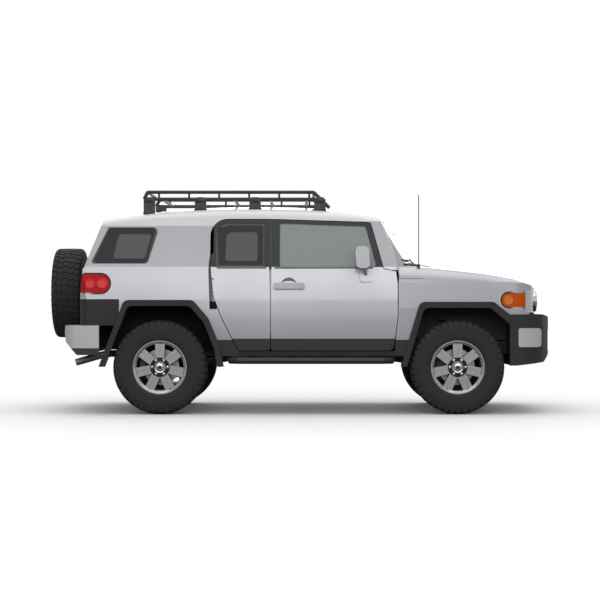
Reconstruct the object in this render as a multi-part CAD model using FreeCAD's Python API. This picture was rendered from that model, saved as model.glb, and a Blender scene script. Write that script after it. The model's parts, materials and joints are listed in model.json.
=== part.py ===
import FreeCAD, Part
import math
import os

V = FreeCAD.Vector

# Frame: millimetres, +X forward, +Y left, +Z up, ground at Z = 0.

# Wheels, tyres and axles
wheelbase = 2690.0
front_axle_x = 1418.5
half_track = 802.5
kingpin_y = 712.0
tyre_r = 424.0
tyre_w = 270.0
tread_w = 236.0
lug_depth = 13.0
lug_width = 34.0
lug_reach = 46.0
lug_count = 24
bead_r = 229.0
rim_lip_r = 246.0
rim_lip_w = 9.0
rim_wall = 11.0
rim_w = 228.0
rim_drop_r = 214.0
spoke_count = 7
spoke_root_w = 74.0
spoke_tip_w = 88.0
spoke_depth = 34.0
spoke_inset = 18.0
spoke_groove_w = 22.0
spoke_groove_depth = 9.0
hub_r = 92.0
cap_r = 48.0
cap_rise = 10.0
lug_nut_circle_r = 70.0
lug_nut_r = 11.0
lug_nut_count = 6
disc_r = 165.0
disc_w = 24.0
disc_inset = 60.0
hub_back = 12.0
sidewall_share = 0.46
lug_fill_share = 0.5
running_fit = 0.05

# Body: half widths (Y) and heights (Z) of the cabin section
sill_y = 885.0
flank_y = 903.0
belt_y = 872.0
cant_y = 738.0
roof_corner_w = 83.0
sill_z = 525.0
flank_z = 960.0
belt_z = 1334.0
cant_z = 1768.0
roof_base_z = 1708.0
roof_front_base_z = 1749.0
crown_z = 1912.0
roof_corner_share = 0.32
cant_fall_share = 0.3
corner_bulge = 13.0
wall_low = 92.0
wall_high = 36.0
header_l = 75.0
belt_ledge = 22.0
flare_out = 48.0
panel_gap = 6.5
move_gap = 5.5
overrun = 60.0
plan_ease = 9.0

# Body: stations along X
body_rear_x = -2005.0
loft_run_out = 55.0
loft_rear_x = body_rear_x - loft_run_out
loft_front_x = 1000.0
roof_fall = 226.0
roof_fall_shares = (
    (0.0, 0.85),
    (0.088, 0.61),
    (0.165, 0.376),
    (0.281, 0.15),
    (0.412, 0.027),
    (0.559, 0.0),
    (0.673, 0.035),
    (0.771, 0.124),
    (0.869, 0.327),
    (1.0, 0.72),
)
rear_corner_r = 120.0
tail_top_in = 217.0
tail_top_x = body_rear_x + tail_top_in
tail_top_z = 1785.0
tail_waist_in = 30.0
tail_waist_x = body_rear_x + tail_waist_in
tail_waist_z = 1290.0
tail_low_in = 15.0
tail_low_x = body_rear_x + tail_low_in
tail_low_z = 760.0

# Windscreen: its face is a cone, deepest at the middle
screen_foot_x = 1139.0
screen_foot_z = 1200.0
screen_foot_sweep = 260.0
screen_head_x = 703.0
screen_head_z = 1950.0
screen_head_sweep = 91.0
screen_half_w = 930.0
pillar_depth = 58.0
glass_t = 5.0
glass_inset = 7.0
glass_fit = 0.2

# Doors
split_x = -272.0
front_door_x = 877.0
front_door_low_x = 838.0
door_low_z = 576.0
door_turn_z = 1180.0
door_shoulder_x = 863.0
door_shoulder_z = 1290.0
frame_foot_x = 748.0
frame_foot_z = 1312.0
frame_head_x = 633.0
frame_head_z = 1738.0
door_top_front_z = 1742.0
door_top_rear_z = 1766.0
door_corner_r = 45.0
rear_door_x = -815.0
rear_door_waist_x = -788.0
rear_door_waist_z = 1068.0
rear_door_hip_x = -712.0
rear_door_hip_z = 872.0
rear_door_low_x = -562.0
rear_door_top_r = 150.0
hinge_in = 30.0
front_hinge_back = 45.0
rear_hinge_back = 25.0
hinge_low_back = 9.0
hinge_low_share = 0.65
hinge_round_high_z = 1304.0
hinge_round_waist_z = 950.0
strap_half = 5.0
strap_t = 16.0
eye_r = 9.0
pin_r = 5.0
pin_half = 34.0
pin_end_gap = 0.5
front_strap_lean_deg = 60.0
front_strap_l = 66.0
front_swing_deg = 68.0
rear_strap_lean_deg = 70.0
rear_strap_l = 56.0
rear_strap_end_x = -838.0
rear_swing_deg = 85.0
gate_strap_lean_deg = 65.0
gate_strap_l = 62.0
gate_swing_deg = 90.0
gate_hinge_back = 25.0
front_hinge_low_z = 790.0
front_hinge_top_z = 1110.0
front_hinge_heights = (front_hinge_low_z, front_hinge_top_z)
rear_hinge_low_z = 1120.0
rear_hinge_top_z = 1215.0
rear_hinge_heights = (rear_hinge_low_z, rear_hinge_top_z)
gate_hinge_low_z = 900.0
gate_hinge_top_z = 1150.0
front_slant_deg = 10.0
rear_slant_deg = 20.0
window_low_z = 1334.0
window_top_drop = 34.0
front_glass_rear_x = -190.0
frame_w = 44.0
rear_glass_rear_x = -768.0
rear_glass_front_x = -330.0
clad_top_z = 682.0
clad_out = 12.0
clad_short = 28.0
handle_z = 1161.0
handle_front_x = 34.0
handle_h = 56.0
handle_t = 20.0
handle_round_r = 22.0
handle_foot_l = 46.0
handle_out = 34.0
handle_l = 282.0

# Quarter windows and the line where the roof colour starts
quarter_low_z = 1361.0
quarter_high_z = 1694.0
quarter_low_front_x = -1386.0
quarter_high_front_x = -1287.0
quarter_low_in = 100.0
quarter_low_rear_x = body_rear_x + quarter_low_in
quarter_high_in = 255.0
quarter_high_rear_x = body_rear_x + quarter_high_in
gate_gap = 8.0

# Mirrors
mirror_x = 560.0
mirror_len = 125.0
mirror_low_z = 1318.0
mirror_high_z = 1512.0
mirror_in_y = 925.0
mirror_out_y = 1085.0
mirror_round_r = 38.0
mirror_foot_x = 590.0
mirror_foot_l = 105.0
mirror_foot_h = 100.0
mirror_arm_r = 20.0
mirror_foot_t = 14.0

# Tailgate and spare wheel
gate_half_w = 684.0
gate_low_z = 812.0
gate_top_z = 1748.0
gate_top_half_w = 640.0
gate_t = 84.0
gate_glass_low_z = 1300.0
gate_glass_top_z = 1690.0
gate_glass_side = 62.0
gate_corner_r = 60.0
gate_slant_deg = 14.0
spare_z = 1099.0
spare_y = 0.0
spare_stand = 328.0
spare_face_x = body_rear_x - spare_stand
spare_hub_r = 96.0

# Nose: bonnet, wings and front end
nose_rear_x = 883.0
nose_front_x = 2203.0
nose_loft_front_x = 2290.0
nose_crown_z = 1372.0
nose_fall = 330.0
nose_fall_shares = (
    (0.0, 0.0),
    (0.2252, 0.05),
    (0.4406, 0.14),
    (0.6013, 0.232),
    (0.7925, 0.45),
    (0.8842, 0.62),
    (1.0, 1.0),
)
nose_shoulder_z = 1192.0
nose_shoulder_drop = 46.0
nose_y = 901.0
nose_corner_w = 130.0
nose_corner_drop = 34.0
nose_skin = 22.0
nose_corner_x = 1930.0
nose_cheek_x = 2118.0
nose_cheek_y = 740.0
bonnet_y = 655.0
bonnet_rear_x = 1176.0
bonnet_break_deg = 25.0
bonnet_lip_z = 1128.0
bonnet_hinge_x = 1110.0
bonnet_hinge_z = 1326.0
bonnet_arm_y = 640.0
bonnet_arm_w = 12.0
bonnet_arm_end_x = 1225.0
bonnet_arm_end_z = 1308.0

# Wheel arches, outlined as shares of the arch's own width and height
front_arch_rear_x = 944.0
front_arch_front_x = 1890.0
front_arch_top_z = 962.0
rear_arch_rear_x = -1786.0
rear_arch_front_x = -740.0
rear_arch_top_z = 979.0
arch_low_z = 380.0
front_arch_shares = (
    (0.0, 0.0),
    (0.18, 1.0),
    (0.81, 1.0),
    (1.0, 0.745),
    (1.0, 0.0),
)
rear_arch_shares = (
    (0.0, 0.0),
    (0.215, 1.0),
    (0.75, 1.0),
    (0.872, 0.75),
    (0.962, 0.36),
    (1.0, 0.0),
)
arch_round_r = 60.0
flare_w = 54.0
flare_low_z = 430.0
flare_skin = 16.0

# Lamps, grille and bumpers
lamp_low_z = 918.0
lamp_high_z = 1120.0
lamp_in_y = 452.0
lamp_depth = 110.0
lamp_rear_x = 2040.0
amber_rear_x = 1817.0
amber_front_x = 2034.0
amber_low_z = 968.0
amber_high_z = 1096.0
grille_half_w = 446.0
grille_low_z = 925.0
grille_high_z = 1118.0
grille_x = 2196.0
grille_t = 46.0
grille_rim = 20.0
grille_bar_h = 13.0
grille_bars = 5
grille_post_w = 12.0
grille_posts = 11
bumper_x = 2333.0
bumper_rear_x = 1888.0
bumper_top_z = 902.0
bumper_lip_z = 868.0
bumper_low_z = 470.0
bumper_y = 935.0
bumper_wall = 24.0
bumper_cheek_x = 2200.0
bumper_cheek_y = 800.0
bumper_chin_x = 2215.0
insert_rear_x = 1965.0
insert_front_x = 2185.0
insert_low_z = 607.0
insert_high_z = 778.0
insert_t = 16.0
fog_r = 52.0
intake_half_w = 470.0
intake_low_z = 560.0
intake_high_z = 760.0
tail_lamp_l = 279.0
tail_lamp_x = body_rear_x + tail_lamp_l
tail_lamp_low_z = 1096.0
tail_lamp_high_z = 1266.0
tail_lamp_in_y = 706.0
tail_lamp_t = 34.0
rear_bumper_out = 135.0
rear_bumper_x = body_rear_x - rear_bumper_out
rear_bumper_l = 320.0
rear_bumper_front_x = rear_bumper_x + rear_bumper_l
rear_bumper_top_z = 802.0
rear_bumper_low_z = 595.0
rear_bumper_step_z = 652.0
rear_bumper_y = 925.0
rear_bumper_wall = 26.0
rear_bumper_corner_r = 110.0
step_half_w = 478.0
corner_clad_top_z = 1040.0
corner_clad_front_x = -1640.0

# Rock rails, roof rack and small outer pieces
rail_r = 31.0
rail_y = 930.0
rail_z = 486.0
rail_rear_x = -640.0
rail_front_x = 830.0
rail_bracket_w = 60.0
rail_brackets = 4
rack_r = 16.0
rack_y = 630.0
rack_top_z = 2022.0
rack_low_z = 1958.0
rack_rear_x = -1440.0
rack_front_x = 215.0
rack_bars = 5
rack_foot_l = 105.0
rack_foot_w = 46.0
rack_posts = 6
rack_foot_rear_x = -1390.0
rack_foot_mid_x = -920.0
rack_foot_door_x = -420.0
rack_foot_front_x = 175.0
rack_foot_places = (rack_foot_rear_x, rack_foot_mid_x, rack_foot_door_x, rack_foot_front_x)
aerial_x = 1072.0
aerial_y = -790.0
aerial_r = 4.0
aerial_base_r = 14.0
aerial_base_h = 165.0
aerial_high_z = 1985.0

# Chassis
rail_in_y = 350.0
rail_out_y = 425.0
frame_low_z = 530.0
frame_high_z = 650.0
frame_wall = 10.0
frame_front_x = 2120.0
kick_low_z = 640.0
kick_high_z = 740.0
kick_rear_x = -1700.0
kick_front_x = -840.0
kick_run = 190.0
cross_r = 38.0
floor_z = 700.0
floor_t = 24.0
frame_rear_x = tail_low_x + gate_gap + floor_t
cargo_z = 830.0
cargo_front_x = -640.0
floor_y = 790.0
bulkhead_x = 900.0
bulkhead_t = 30.0
bulkhead_high_z = 1290.0
engine_l = 620.0
engine_w = 470.0
engine_low_z = 600.0
engine_high_z = 1140.0
engine_rear_x = 1080.0
gearbox_r = 118.0
transfer_w = 150.0
gearbox_rear_x = 150.0
transfer_l = 260.0
shaft_r = 34.0
axle_r = 46.0
diff_r = 150.0
diff_l = 190.0
spring_r = 58.0
damper_r = 27.0
arm_t = 32.0
arm_spread = 175.0
bush_share = 0.9
ball_r = 24.0
strut_back = 60.0
strut_y = 525.0
coil_r = 38.0
flange_r = 46.0
flange_l = 30.0
arm_end_w = 100.0
lower_arm_z = 268.0
upper_arm_z = 586.0
arm_in_y = 395.0
knuckle_w = 62.0
spindle_r = 30.0
spindle_l = 66.0
stud_r = 14.0
arm_gap = 0.5
caliper_w = 14.0
caliper_lap = 24.0
caliper_len = 62.0
caliper_h = 130.0
flange_t = 16.0
spring_y = 490.0
pad_t = 12.0
link_r = 22.0
link_y = 388.0
link_front_x = -720.0
tower_z = 850.0
tower_w = 150.0
mount_r = 36.0
mount_rear_in = 245.0
mount_hip_x = -900.0
mount_mid_x = -420.0
mount_door_x = 260.0
mount_dash_x = 860.0
mount_places = (body_rear_x + mount_rear_in, mount_hip_x, mount_mid_x, mount_door_x, mount_dash_x)
cross_rear_in = 85.0
cross_rear_x = body_rear_x + cross_rear_in
cross_axle_x = -1500.0
cross_hip_x = -1120.0
cross_front_x = 2080.0
cross_places = (cross_rear_x, cross_axle_x, cross_hip_x, cross_front_x)
cradle_x = 400.0
cradle_l = 90.0
cradle_low_z = 446.0
cradle_t = 30.0
hitch_w = 62.0
hitch_wall = 6.0
hitch_z = 590.0
hitch_short = 5.0
hitch_rear_x = rear_bumper_x + hitch_short
hitch_pin_in = 30.0
hitch_pin_x = hitch_rear_x + hitch_pin_in
hitch_pin_r = 8.0
hitch_gap = 6.0
gearbox_z = 600.0
front_diff_z = 410.0
tank_front_x = -420.0
exhaust_z = 540.0
muffler_x = -120.0
exhaust_out_y = 700.0
exhaust_out = 50.0
exhaust_tip_x = body_rear_x - exhaust_out
exhaust_tip_z = 462.0
tunnel_w = 400.0
tunnel_z = 790.0
tunnel_rear_x = -100.0
inner_sill_w = 46.0
seat_fit = 0.2
liner_gap = 20.0
liner_t = 14.0
liner_low_z = 560.0
wheel_box_y = 600.0
apron_y = 430.0
apron_low_z = 660.0
apron_high_z = 1110.0
support_w = 46.0
tank_l = 640.0
tank_w = 300.0
tank_h = 210.0
exhaust_r = 32.0
muffler_r = 95.0
muffler_l = 520.0

# Interior
seat_x = 60.0
seat_y = 370.0
seat_w = 480.0
seat_l = 500.0
cushion_z = 1010.0
cushion_t = 150.0
back_t = 130.0
back_h = 520.0
back_lean_deg = 18.0
head_w = 260.0
head_h = 170.0
head_t = 110.0
head_gap = 30.0
bench_x = -760.0
bench_w = 1150.0
dash_front_x = 870.0
dash_rear_x = 560.0
dash_low_z = 950.0
dash_high_z = 1270.0
console_w = 220.0
console_high_z = 960.0
console_rear_x = -120.0
dash_mount_w = 500.0
helm_x = 410.0
helm_z = 1165.0
helm_r = 188.0
helm_rim_r = 15.0
helm_lean_deg = 24.0
helm_hub_r = 68.0
helm_hub_t = 34.0
helm_column_r = 26.0
helm_spindle_r = 10.0

rear_axle_x = front_axle_x - wheelbase


def block(x0, x1, y0, y1, z0, z1):
    """Box between two corners."""
    return Part.makeBox(x1 - x0, y1 - y0, z1 - z0, V(x0, y0, z0))


def rod(start, end, r):
    """Cylinder from one point to another."""
    run = end.sub(start)
    return Part.makeCylinder(r, run.Length, start, run)


def both(shape):
    """A shape and its mirror on the other side of the vehicle."""
    return [shape, shape.mirror(V(0, 0, 0), V(0, 1, 0))]


def mirrored(shape):
    """The same shape on the other side of the vehicle."""
    return shape.mirror(V(0, 0, 0), V(0, 1, 0))


def place(axis, u, v, w):
    """Point with u, v in the drawing plane and w along the extruded axis."""
    if axis == "y":
        return V(u, w, v)
    if axis == "x":
        return V(w, u, v)
    return V(u, v, w)


def outline(points, axis, w):
    """Closed wire through the points; a third value rounds that corner."""
    count = len(points)
    corners = []
    for i, p in enumerate(points):
        here = V(p[0], p[1], 0)
        r = p[2] if len(p) > 2 else 0
        if r == 0:
            corners.append((here,))
            continue
        before = V(points[i - 1][0], points[i - 1][1], 0).sub(here).normalize()
        q = points[(i + 1) % count]
        after = V(q[0], q[1], 0).sub(here).normalize()
        half = before.getAngle(after) / 2
        reach = r / math.tan(half)
        middle = before.add(after).normalize().multiply(r / math.sin(half) - r)
        start = here.add(V(before).multiply(reach))
        end = here.add(V(after).multiply(reach))
        corners.append((start, here.add(middle), end))
    edges = []
    for i, corner in enumerate(corners):
        at = [place(axis, c.x, c.y, w) for c in corner]
        if len(at) == 3:
            edges.append(Part.Arc(at[0], at[1], at[2]).toShape())
        q = corners[(i + 1) % count][0]
        nxt = place(axis, q.x, q.y, w)
        if at[-1].sub(nxt).Length > 0.001:
            edges.append(Part.makeLine(at[-1], nxt))
    return Part.Wire(edges)


def slab(points, axis, lo, hi):
    """Drawn outline extruded along an axis from lo to hi."""
    face = Part.Face(outline(points, axis, lo))
    return face.extrude(place(axis, 0, 0, hi - lo))


def loft(wires, ruled=False):
    """Solid through closed wires."""
    return Part.makeLoft(wires, True, ruled)


def pipe(points, r, bend):
    """Round bar along a path with rounded bends."""
    bodies = []
    start = points[0]
    for i in range(1, len(points) - 1):
        here = points[i]
        back = points[i - 1].sub(here).normalize()
        on = points[i + 1].sub(here).normalize()
        half = back.getAngle(on) / 2
        reach = bend / math.tan(half)
        a = here.add(V(back).multiply(reach))
        b = here.add(V(on).multiply(reach))
        m = here.add(back.add(on).normalize().multiply(bend / math.sin(half) - bend))
        bodies.append(Part.makeLine(start, a))
        bodies.append(Part.Arc(a, m, b).toShape())
        start = b
    bodies.append(Part.makeLine(start, points[-1]))
    path = Part.Wire(bodies)
    ring = Part.Wire(Part.makeCircle(r, points[0], points[1].sub(points[0])))
    return path.makePipeShell([ring], True, True)


def as_is(shape):
    """The shape itself, for the left side, where the right side is mirrored."""
    return shape


def biggest(shape):
    """The largest solid of a boolean's result."""
    return max(shape.Solids, key=lambda s: s.Volume)


def fused(shapes):
    """Several overlapping shapes as one."""
    body = shapes[0].multiFuse(shapes[1:])
    return body.removeSplitter()


# Body form


def side_y(z):
    """Half width of the leaning upper side at a height."""
    return belt_y - (z - belt_z) * (belt_y - cant_y) / (cant_z - belt_z)


def cabin_form(low, high, lift=0):
    """Sides of the cabin from sill to roof, inset below and above the belt."""
    ledge = belt_ledge if low > high else 0
    foot = V(loft_rear_x, sill_y - low, sill_z)
    flank = V(loft_rear_x, flank_y - low, flank_z)
    belt = V(loft_rear_x, belt_y - low, belt_z - ledge + lift)
    top = V(loft_rear_x, side_y(crown_z) - high, crown_z)
    edges = [Part.Arc(foot, flank, belt).toShape()]
    if ledge:
        inner_belt = V(loft_rear_x, belt_y - high, belt_z + lift)
        edges += [Part.makeLine(belt, inner_belt), Part.makeLine(inner_belt, top)]
    else:
        edges.append(Part.makeLine(belt, top))
    other = [e.mirror(V(0, 0, 0), V(0, 1, 0)) for e in edges]
    edges.append(Part.makeLine(top, V(top.x, -top.y, top.z)))
    edges.append(Part.makeLine(foot, V(foot.x, -foot.y, foot.z)))
    face = Part.Face(Part.Wire(Part.__sortEdges__(edges + other)))
    return face.extrude(V(screen_foot_x + overrun - loft_rear_x, 0, 0))


def roof_section(x, share, inset):
    """Cross-section of the roof at one station, down to where it starts."""
    fall = roof_fall * share
    top = crown_z - fall - inset
    rail = V(x, side_y(cant_z - fall * cant_fall_share) - inset, cant_z - fall * cant_fall_share)
    shoulder = V(x, rail.y - roof_corner_w, top - (top - rail.z) * roof_corner_share)
    bulge = V(
        x,
        (rail.y + shoulder.y) / 2 + corner_bulge,
        (rail.z + shoulder.z) / 2 + corner_bulge,
    )
    foot = V(x, side_y(roof_base_z) - inset, roof_base_z - (overrun if inset else 0))
    edges = [Part.makeLine(foot, rail), Part.Arc(rail, bulge, shoulder).toShape()]
    other = [e.mirror(V(0, 0, 0), V(0, 1, 0)) for e in edges]
    edges.append(Part.Arc(shoulder, V(x, 0, top), V(x, -shoulder.y, shoulder.z)).toShape())
    edges.append(Part.makeLine(V(x, -foot.y, foot.z), foot))
    return Part.Wire(Part.__sortEdges__(edges + other))


def roof_form(inset):
    """Form of the roof above its base line, or the same form inset."""
    span = loft_front_x - loft_rear_x
    wires = [
        roof_section(loft_rear_x + span * u, share, inset) for u, share in roof_fall_shares
    ]
    return loft(wires)


def tail_profile(inset):
    """Side view of the cabin, from its rear face to past the windscreen."""
    return slab(
        [
            (tail_low_x + inset, sill_z - overrun),
            (body_rear_x + inset, (tail_low_z + tail_waist_z) / 2, rear_corner_r),
            (tail_waist_x + inset, tail_waist_z, rear_corner_r),
            (tail_top_x + inset, tail_top_z, overrun),
            (tail_top_x + rear_corner_r + inset, crown_z + overrun),
            (screen_foot_x + overrun, crown_z + overrun),
            (screen_foot_x + overrun, sill_z - overrun),
        ],
        "y",
        -flank_y - 2 * overrun,
        flank_y + 2 * overrun,
    )


def tail_plan(inset, out=0):
    """Plan view of the cabin's rear, with rounded corners."""
    y = flank_y + plan_ease + out - inset
    x = body_rear_x - out + inset
    r = rear_corner_r - inset / 2
    return slab(
        [
            (x, -y, r),
            (x, y, r),
            (screen_foot_x + overrun, y),
            (screen_foot_x + overrun, -y),
        ],
        "z",
        sill_z - overrun,
        crown_z + overrun,
    )


def screen_form(back):
    """Everything behind the windscreen's face, moved back by an inset."""
    wires = []
    rise = screen_head_z - screen_foot_z
    sink = (screen_foot_z - sill_z + 2 * overrun) / rise
    low_x = screen_foot_x + (screen_foot_x - screen_head_x) * sink
    low_sweep = screen_foot_sweep + (screen_foot_sweep - screen_head_sweep) * sink
    for x, z, sweep in (
        (low_x, sill_z - 2 * overrun, low_sweep),
        (screen_head_x, screen_head_z, screen_head_sweep),
    ):
        a = V(x - sweep - back, -screen_half_w, z)
        b = V(x - back, 0, z)
        c = V(x - sweep - back, screen_half_w, z)
        d = V(loft_rear_x - overrun, screen_half_w, z)
        e = V(loft_rear_x - overrun, -screen_half_w, z)
        wires.append(
            Part.Wire(
                [
                    Part.Arc(a, b, c).toShape(),
                    Part.makeLine(c, d),
                    Part.makeLine(d, e),
                    Part.makeLine(e, a),
                ]
            )
        )
    return loft(wires, True)


def nose_section(x, share, inset):
    """Cross-section of the nose at one station."""
    top = nose_crown_z - nose_fall * share - inset
    shoulder_z = min(nose_shoulder_z, top - nose_shoulder_drop)
    y = nose_y - inset
    corner = V(x, y - nose_corner_w, top - nose_corner_drop)
    shoulder = V(x, y, shoulder_z)
    bulge = V(
        x,
        (corner.y + shoulder.y) / 2 + nose_corner_w / 6,
        (corner.z + shoulder.z) / 2 + nose_corner_w / 9,
    )
    waist = V(x, y, flank_z)
    lean = (flank_y - sill_y) / (flank_z - sill_z)
    foot = V(x, y - lean * (flank_z - sill_z + overrun), sill_z - overrun)
    edges = [
        Part.makeLine(foot, waist),
        Part.makeLine(waist, shoulder),
        Part.Arc(shoulder, bulge, corner).toShape(),
    ]
    other = [e.mirror(V(0, 0, 0), V(0, 1, 0)) for e in edges]
    roof = Part.Arc(corner, V(x, 0, top), V(x, -corner.y, corner.z)).toShape()
    base = Part.makeLine(V(x, -foot.y, foot.z), foot)
    return Part.Wire(Part.__sortEdges__(edges + [roof] + other + [base]))


def nose_plan(inset, rear_x=nose_rear_x):
    """Plan view of the nose, curved round the front corners."""
    y = nose_y - inset + overrun
    side = nose_y - inset
    a = V(nose_corner_x, -side, 0)
    b = V(nose_cheek_x - inset, -nose_cheek_y, 0)
    c = V(nose_front_x - inset, 0, 0)
    d = V(nose_cheek_x - inset, nose_cheek_y, 0)
    e = V(nose_corner_x, side, 0)
    mid = V(
        (a.x + b.x) / 2 + nose_corner_w / 4,
        (a.y + b.y) / 2 - nose_corner_w / 4,
        0,
    )
    edges = [
        Part.makeLine(V(rear_x, -y, 0), V(nose_corner_x, -y, 0)),
        Part.makeLine(V(nose_corner_x, -y, 0), a),
        Part.Arc(a, mid, b).toShape(),
        Part.Arc(b, c, d).toShape(),
        Part.Arc(d, V(mid.x, -mid.y, 0), e).toShape(),
        Part.makeLine(e, V(nose_corner_x, y, 0)),
        Part.makeLine(V(nose_corner_x, y, 0), V(rear_x, y, 0)),
        Part.makeLine(V(rear_x, y, 0), V(rear_x, -y, 0)),
    ]
    wire = Part.Wire(Part.__sortEdges__(edges))
    wire.translate(V(0, 0, sill_z - 2 * overrun))
    return Part.Face(wire).extrude(V(0, 0, crown_z))


def nose_form(inset):
    """Outer form of the bonnet and wings, or the same form inset."""
    span = nose_loft_front_x - nose_rear_x
    wires = [nose_section(nose_rear_x + span * sx, share, inset) for sx, share in nose_fall_shares]
    return loft(wires).common(nose_plan(inset))


def arch_points(shares, rear_x, front_x, top_z, grow=0):
    """Outline of a wheel arch, grown outward."""
    span = front_x - rear_x + 2 * grow
    rise = top_z + grow - arch_low_z
    points = [(rear_x - grow + span * u, arch_low_z + rise * v, arch_round_r) for u, v in shares]
    for end, inner in ((0, 1), (-1, -2)):
        x, z = points[end][:2]
        run = 2 * overrun / (points[inner][1] - z)
        points[end] = (x - (points[inner][0] - x) * run, z - 2 * overrun)
    return points


def front_arch(grow=0):
    """Opening of the two front wheel arches."""
    points = arch_points(front_arch_shares, front_arch_rear_x, front_arch_front_x, front_arch_top_z, grow)
    return slab(points, "y", -flank_y - 3 * overrun, flank_y + 3 * overrun)


def rear_arch(grow=0):
    """Opening of the two rear wheel arches."""
    points = arch_points(rear_arch_shares, rear_arch_rear_x, rear_arch_front_x, rear_arch_top_z, grow)
    return slab(points, "y", -flank_y - 3 * overrun, flank_y + 3 * overrun)


def region(points, lo=-flank_y - 3 * overrun, hi=flank_y + 3 * overrun):
    """Side-view outline carried through the whole width."""
    return slab(points, "y", lo, hi)


def grown(points, gap):
    """Side-view outline grown outward by a gap, carried through the width."""
    wire = outline(points, "y", -flank_y - 3 * overrun)
    face = Part.Face(wire.makeOffset2D(gap))
    return face.extrude(V(0, 2 * flank_y + 6 * overrun, 0))


def left_half():
    """Everything on the left of the centre plane."""
    return block(
        body_rear_x - 2 * overrun,
        bumper_x + overrun,
        0,
        flank_y + 3 * overrun,
        0,
        crown_z + 2 * overrun,
    )


# Side outlines shared by doors, body and glass

front_door_points = [
    (split_x + panel_gap / 2, door_low_z, door_corner_r / 2),
    (front_door_low_x, door_low_z, door_corner_r),
    (front_door_x, (door_low_z + door_turn_z) / 2),
    (front_door_x, door_turn_z),
    (door_shoulder_x, door_shoulder_z, door_corner_r / 4),
    (frame_foot_x, frame_foot_z, door_corner_r / 2),
    (frame_head_x, frame_head_z, door_corner_r / 2),
    (split_x + panel_gap / 2, door_top_rear_z),
]
rear_door_points = [
    (split_x - panel_gap / 2, door_low_z, door_corner_r / 2),
    (rear_door_low_x, door_low_z, door_corner_r),
    (rear_door_hip_x, rear_door_hip_z, rear_door_top_r),
    (rear_door_waist_x, rear_door_waist_z, rear_door_top_r),
    (rear_door_x, belt_z),
    (rear_door_x, door_top_rear_z, rear_door_top_r),
    (split_x - panel_gap / 2, door_top_rear_z),
]
front_window_points = [
    (front_glass_rear_x, window_low_z, door_corner_r / 2),
    (frame_foot_x - 1.4 * frame_w, window_low_z, door_corner_r / 2),
    (frame_head_x - frame_w, frame_head_z - window_top_drop, door_corner_r / 2),
    (front_glass_rear_x, door_top_rear_z - window_top_drop, door_corner_r / 2),
]
rear_window_points = [
    (rear_glass_front_x, window_low_z, door_corner_r / 2),
    (rear_glass_rear_x, window_low_z, door_corner_r / 2),
    (rear_glass_rear_x, door_top_rear_z - window_top_drop, rear_door_top_r - frame_w),
    (rear_glass_front_x, door_top_rear_z - window_top_drop, door_corner_r / 2),
]
quarter_window_points = [
    (quarter_low_front_x, quarter_low_z, door_corner_r),
    (quarter_low_rear_x, quarter_low_z, door_corner_r / 2),
    (quarter_high_rear_x, quarter_high_z, door_corner_r / 2),
    (quarter_high_front_x, quarter_high_z, door_corner_r),
]


class Body:
    """Shells that several panels are cut from."""

    def __init__(self):
        self.tool = tail_profile(0).common(tail_plan(0)).common(screen_form(0))
        self.outer = cabin_form(0, 0).common(self.tool)
        self.inner = cabin_form(wall_low, wall_high).common(tail_profile(gate_t))
        self.shell = self.outer.cut(self.inner)
        self.half_shell = self.shell.common(left_half())
        self.pane = cabin_form(glass_inset, glass_inset).cut(
            cabin_form(glass_inset + glass_t, glass_inset + glass_t)
        )
        self.nose = nose_form(0)
        self.nose_shell = self.nose.cut(nose_form(nose_skin))
        self.front_arch = front_arch()
        self.rear_arch = rear_arch()


def turned(x, y, profile):
    """Solid turned about a vertical axis from (radius, z) points."""
    at = [V(x + r, y, z) for r, z in profile]
    wire = Part.makePolygon([V(x, y, at[0].z)] + at + [V(x, y, at[-1].z), V(x, y, at[0].z)])
    return Part.Face(wire).revolve(V(x, y, 0), V(0, 0, 1), 360)


front_hinge_x = front_door_x - front_hinge_back
rear_hinge_x = rear_door_x + rear_hinge_back
door_hinge_y = flank_y - hinge_in
gate_hinge_x = body_rear_x + hinge_in
gate_hinge_y = -(gate_half_w - gate_hinge_back)
front_clip_r = math.hypot(front_hinge_back, hinge_in)
rear_clip_r = math.hypot(rear_hinge_back, hinge_in)
gate_clip_r = math.hypot(gate_hinge_back, hinge_in)


def front_round(gap):
    """Round of the front door about its hinge, slimmer toward the sill."""
    low_r = math.hypot(hinge_low_back, hinge_in * hinge_low_share)
    profile = [
        (low_r + gap, sill_z),
        (low_r + gap, door_low_z),
        (front_clip_r + gap, (door_low_z + door_turn_z) / 2),
        (front_clip_r + gap, hinge_round_high_z),
    ]
    return turned(front_hinge_x, door_hinge_y, profile)


def rear_round(gap):
    """Round of the rear door about its hinge, from its waist up."""
    profile = [(rear_clip_r + gap, hinge_round_waist_z), (rear_clip_r + gap, crown_z)]
    return turned(rear_hinge_x, door_hinge_y, profile)


def hip_relief():
    """Hollow in the rear door's edge below its round, so that it turns clear of the body side."""
    mid_x = (rear_door_hip_x + rear_door_waist_x) / 2
    mid_z = (rear_door_hip_z + rear_door_waist_z) / 2
    profile = [
        (math.hypot(x - rear_hinge_x - panel_gap, hinge_in) + move_gap, z)
        for x, z in ((rear_door_hip_x, rear_door_hip_z), (mid_x, mid_z))
    ]
    return turned(rear_hinge_x, door_hinge_y, profile)


def gate_round(gap):
    """Round of the tailgate about its hinge."""
    profile = [(gate_clip_r + gap, rear_bumper_top_z - gate_gap), (gate_clip_r + gap, crown_z)]
    return turned(gate_hinge_x, gate_hinge_y, profile)


def past_hinge(x, y, side, keep):
    """Material past a door's hinge axis and outside its round."""
    reach = 4 * front_clip_r
    far_x = x + side * reach
    return block(min(x, far_x), max(x, far_x), y - reach, y + reach, 0, crown_z).cut(keep)


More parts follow.
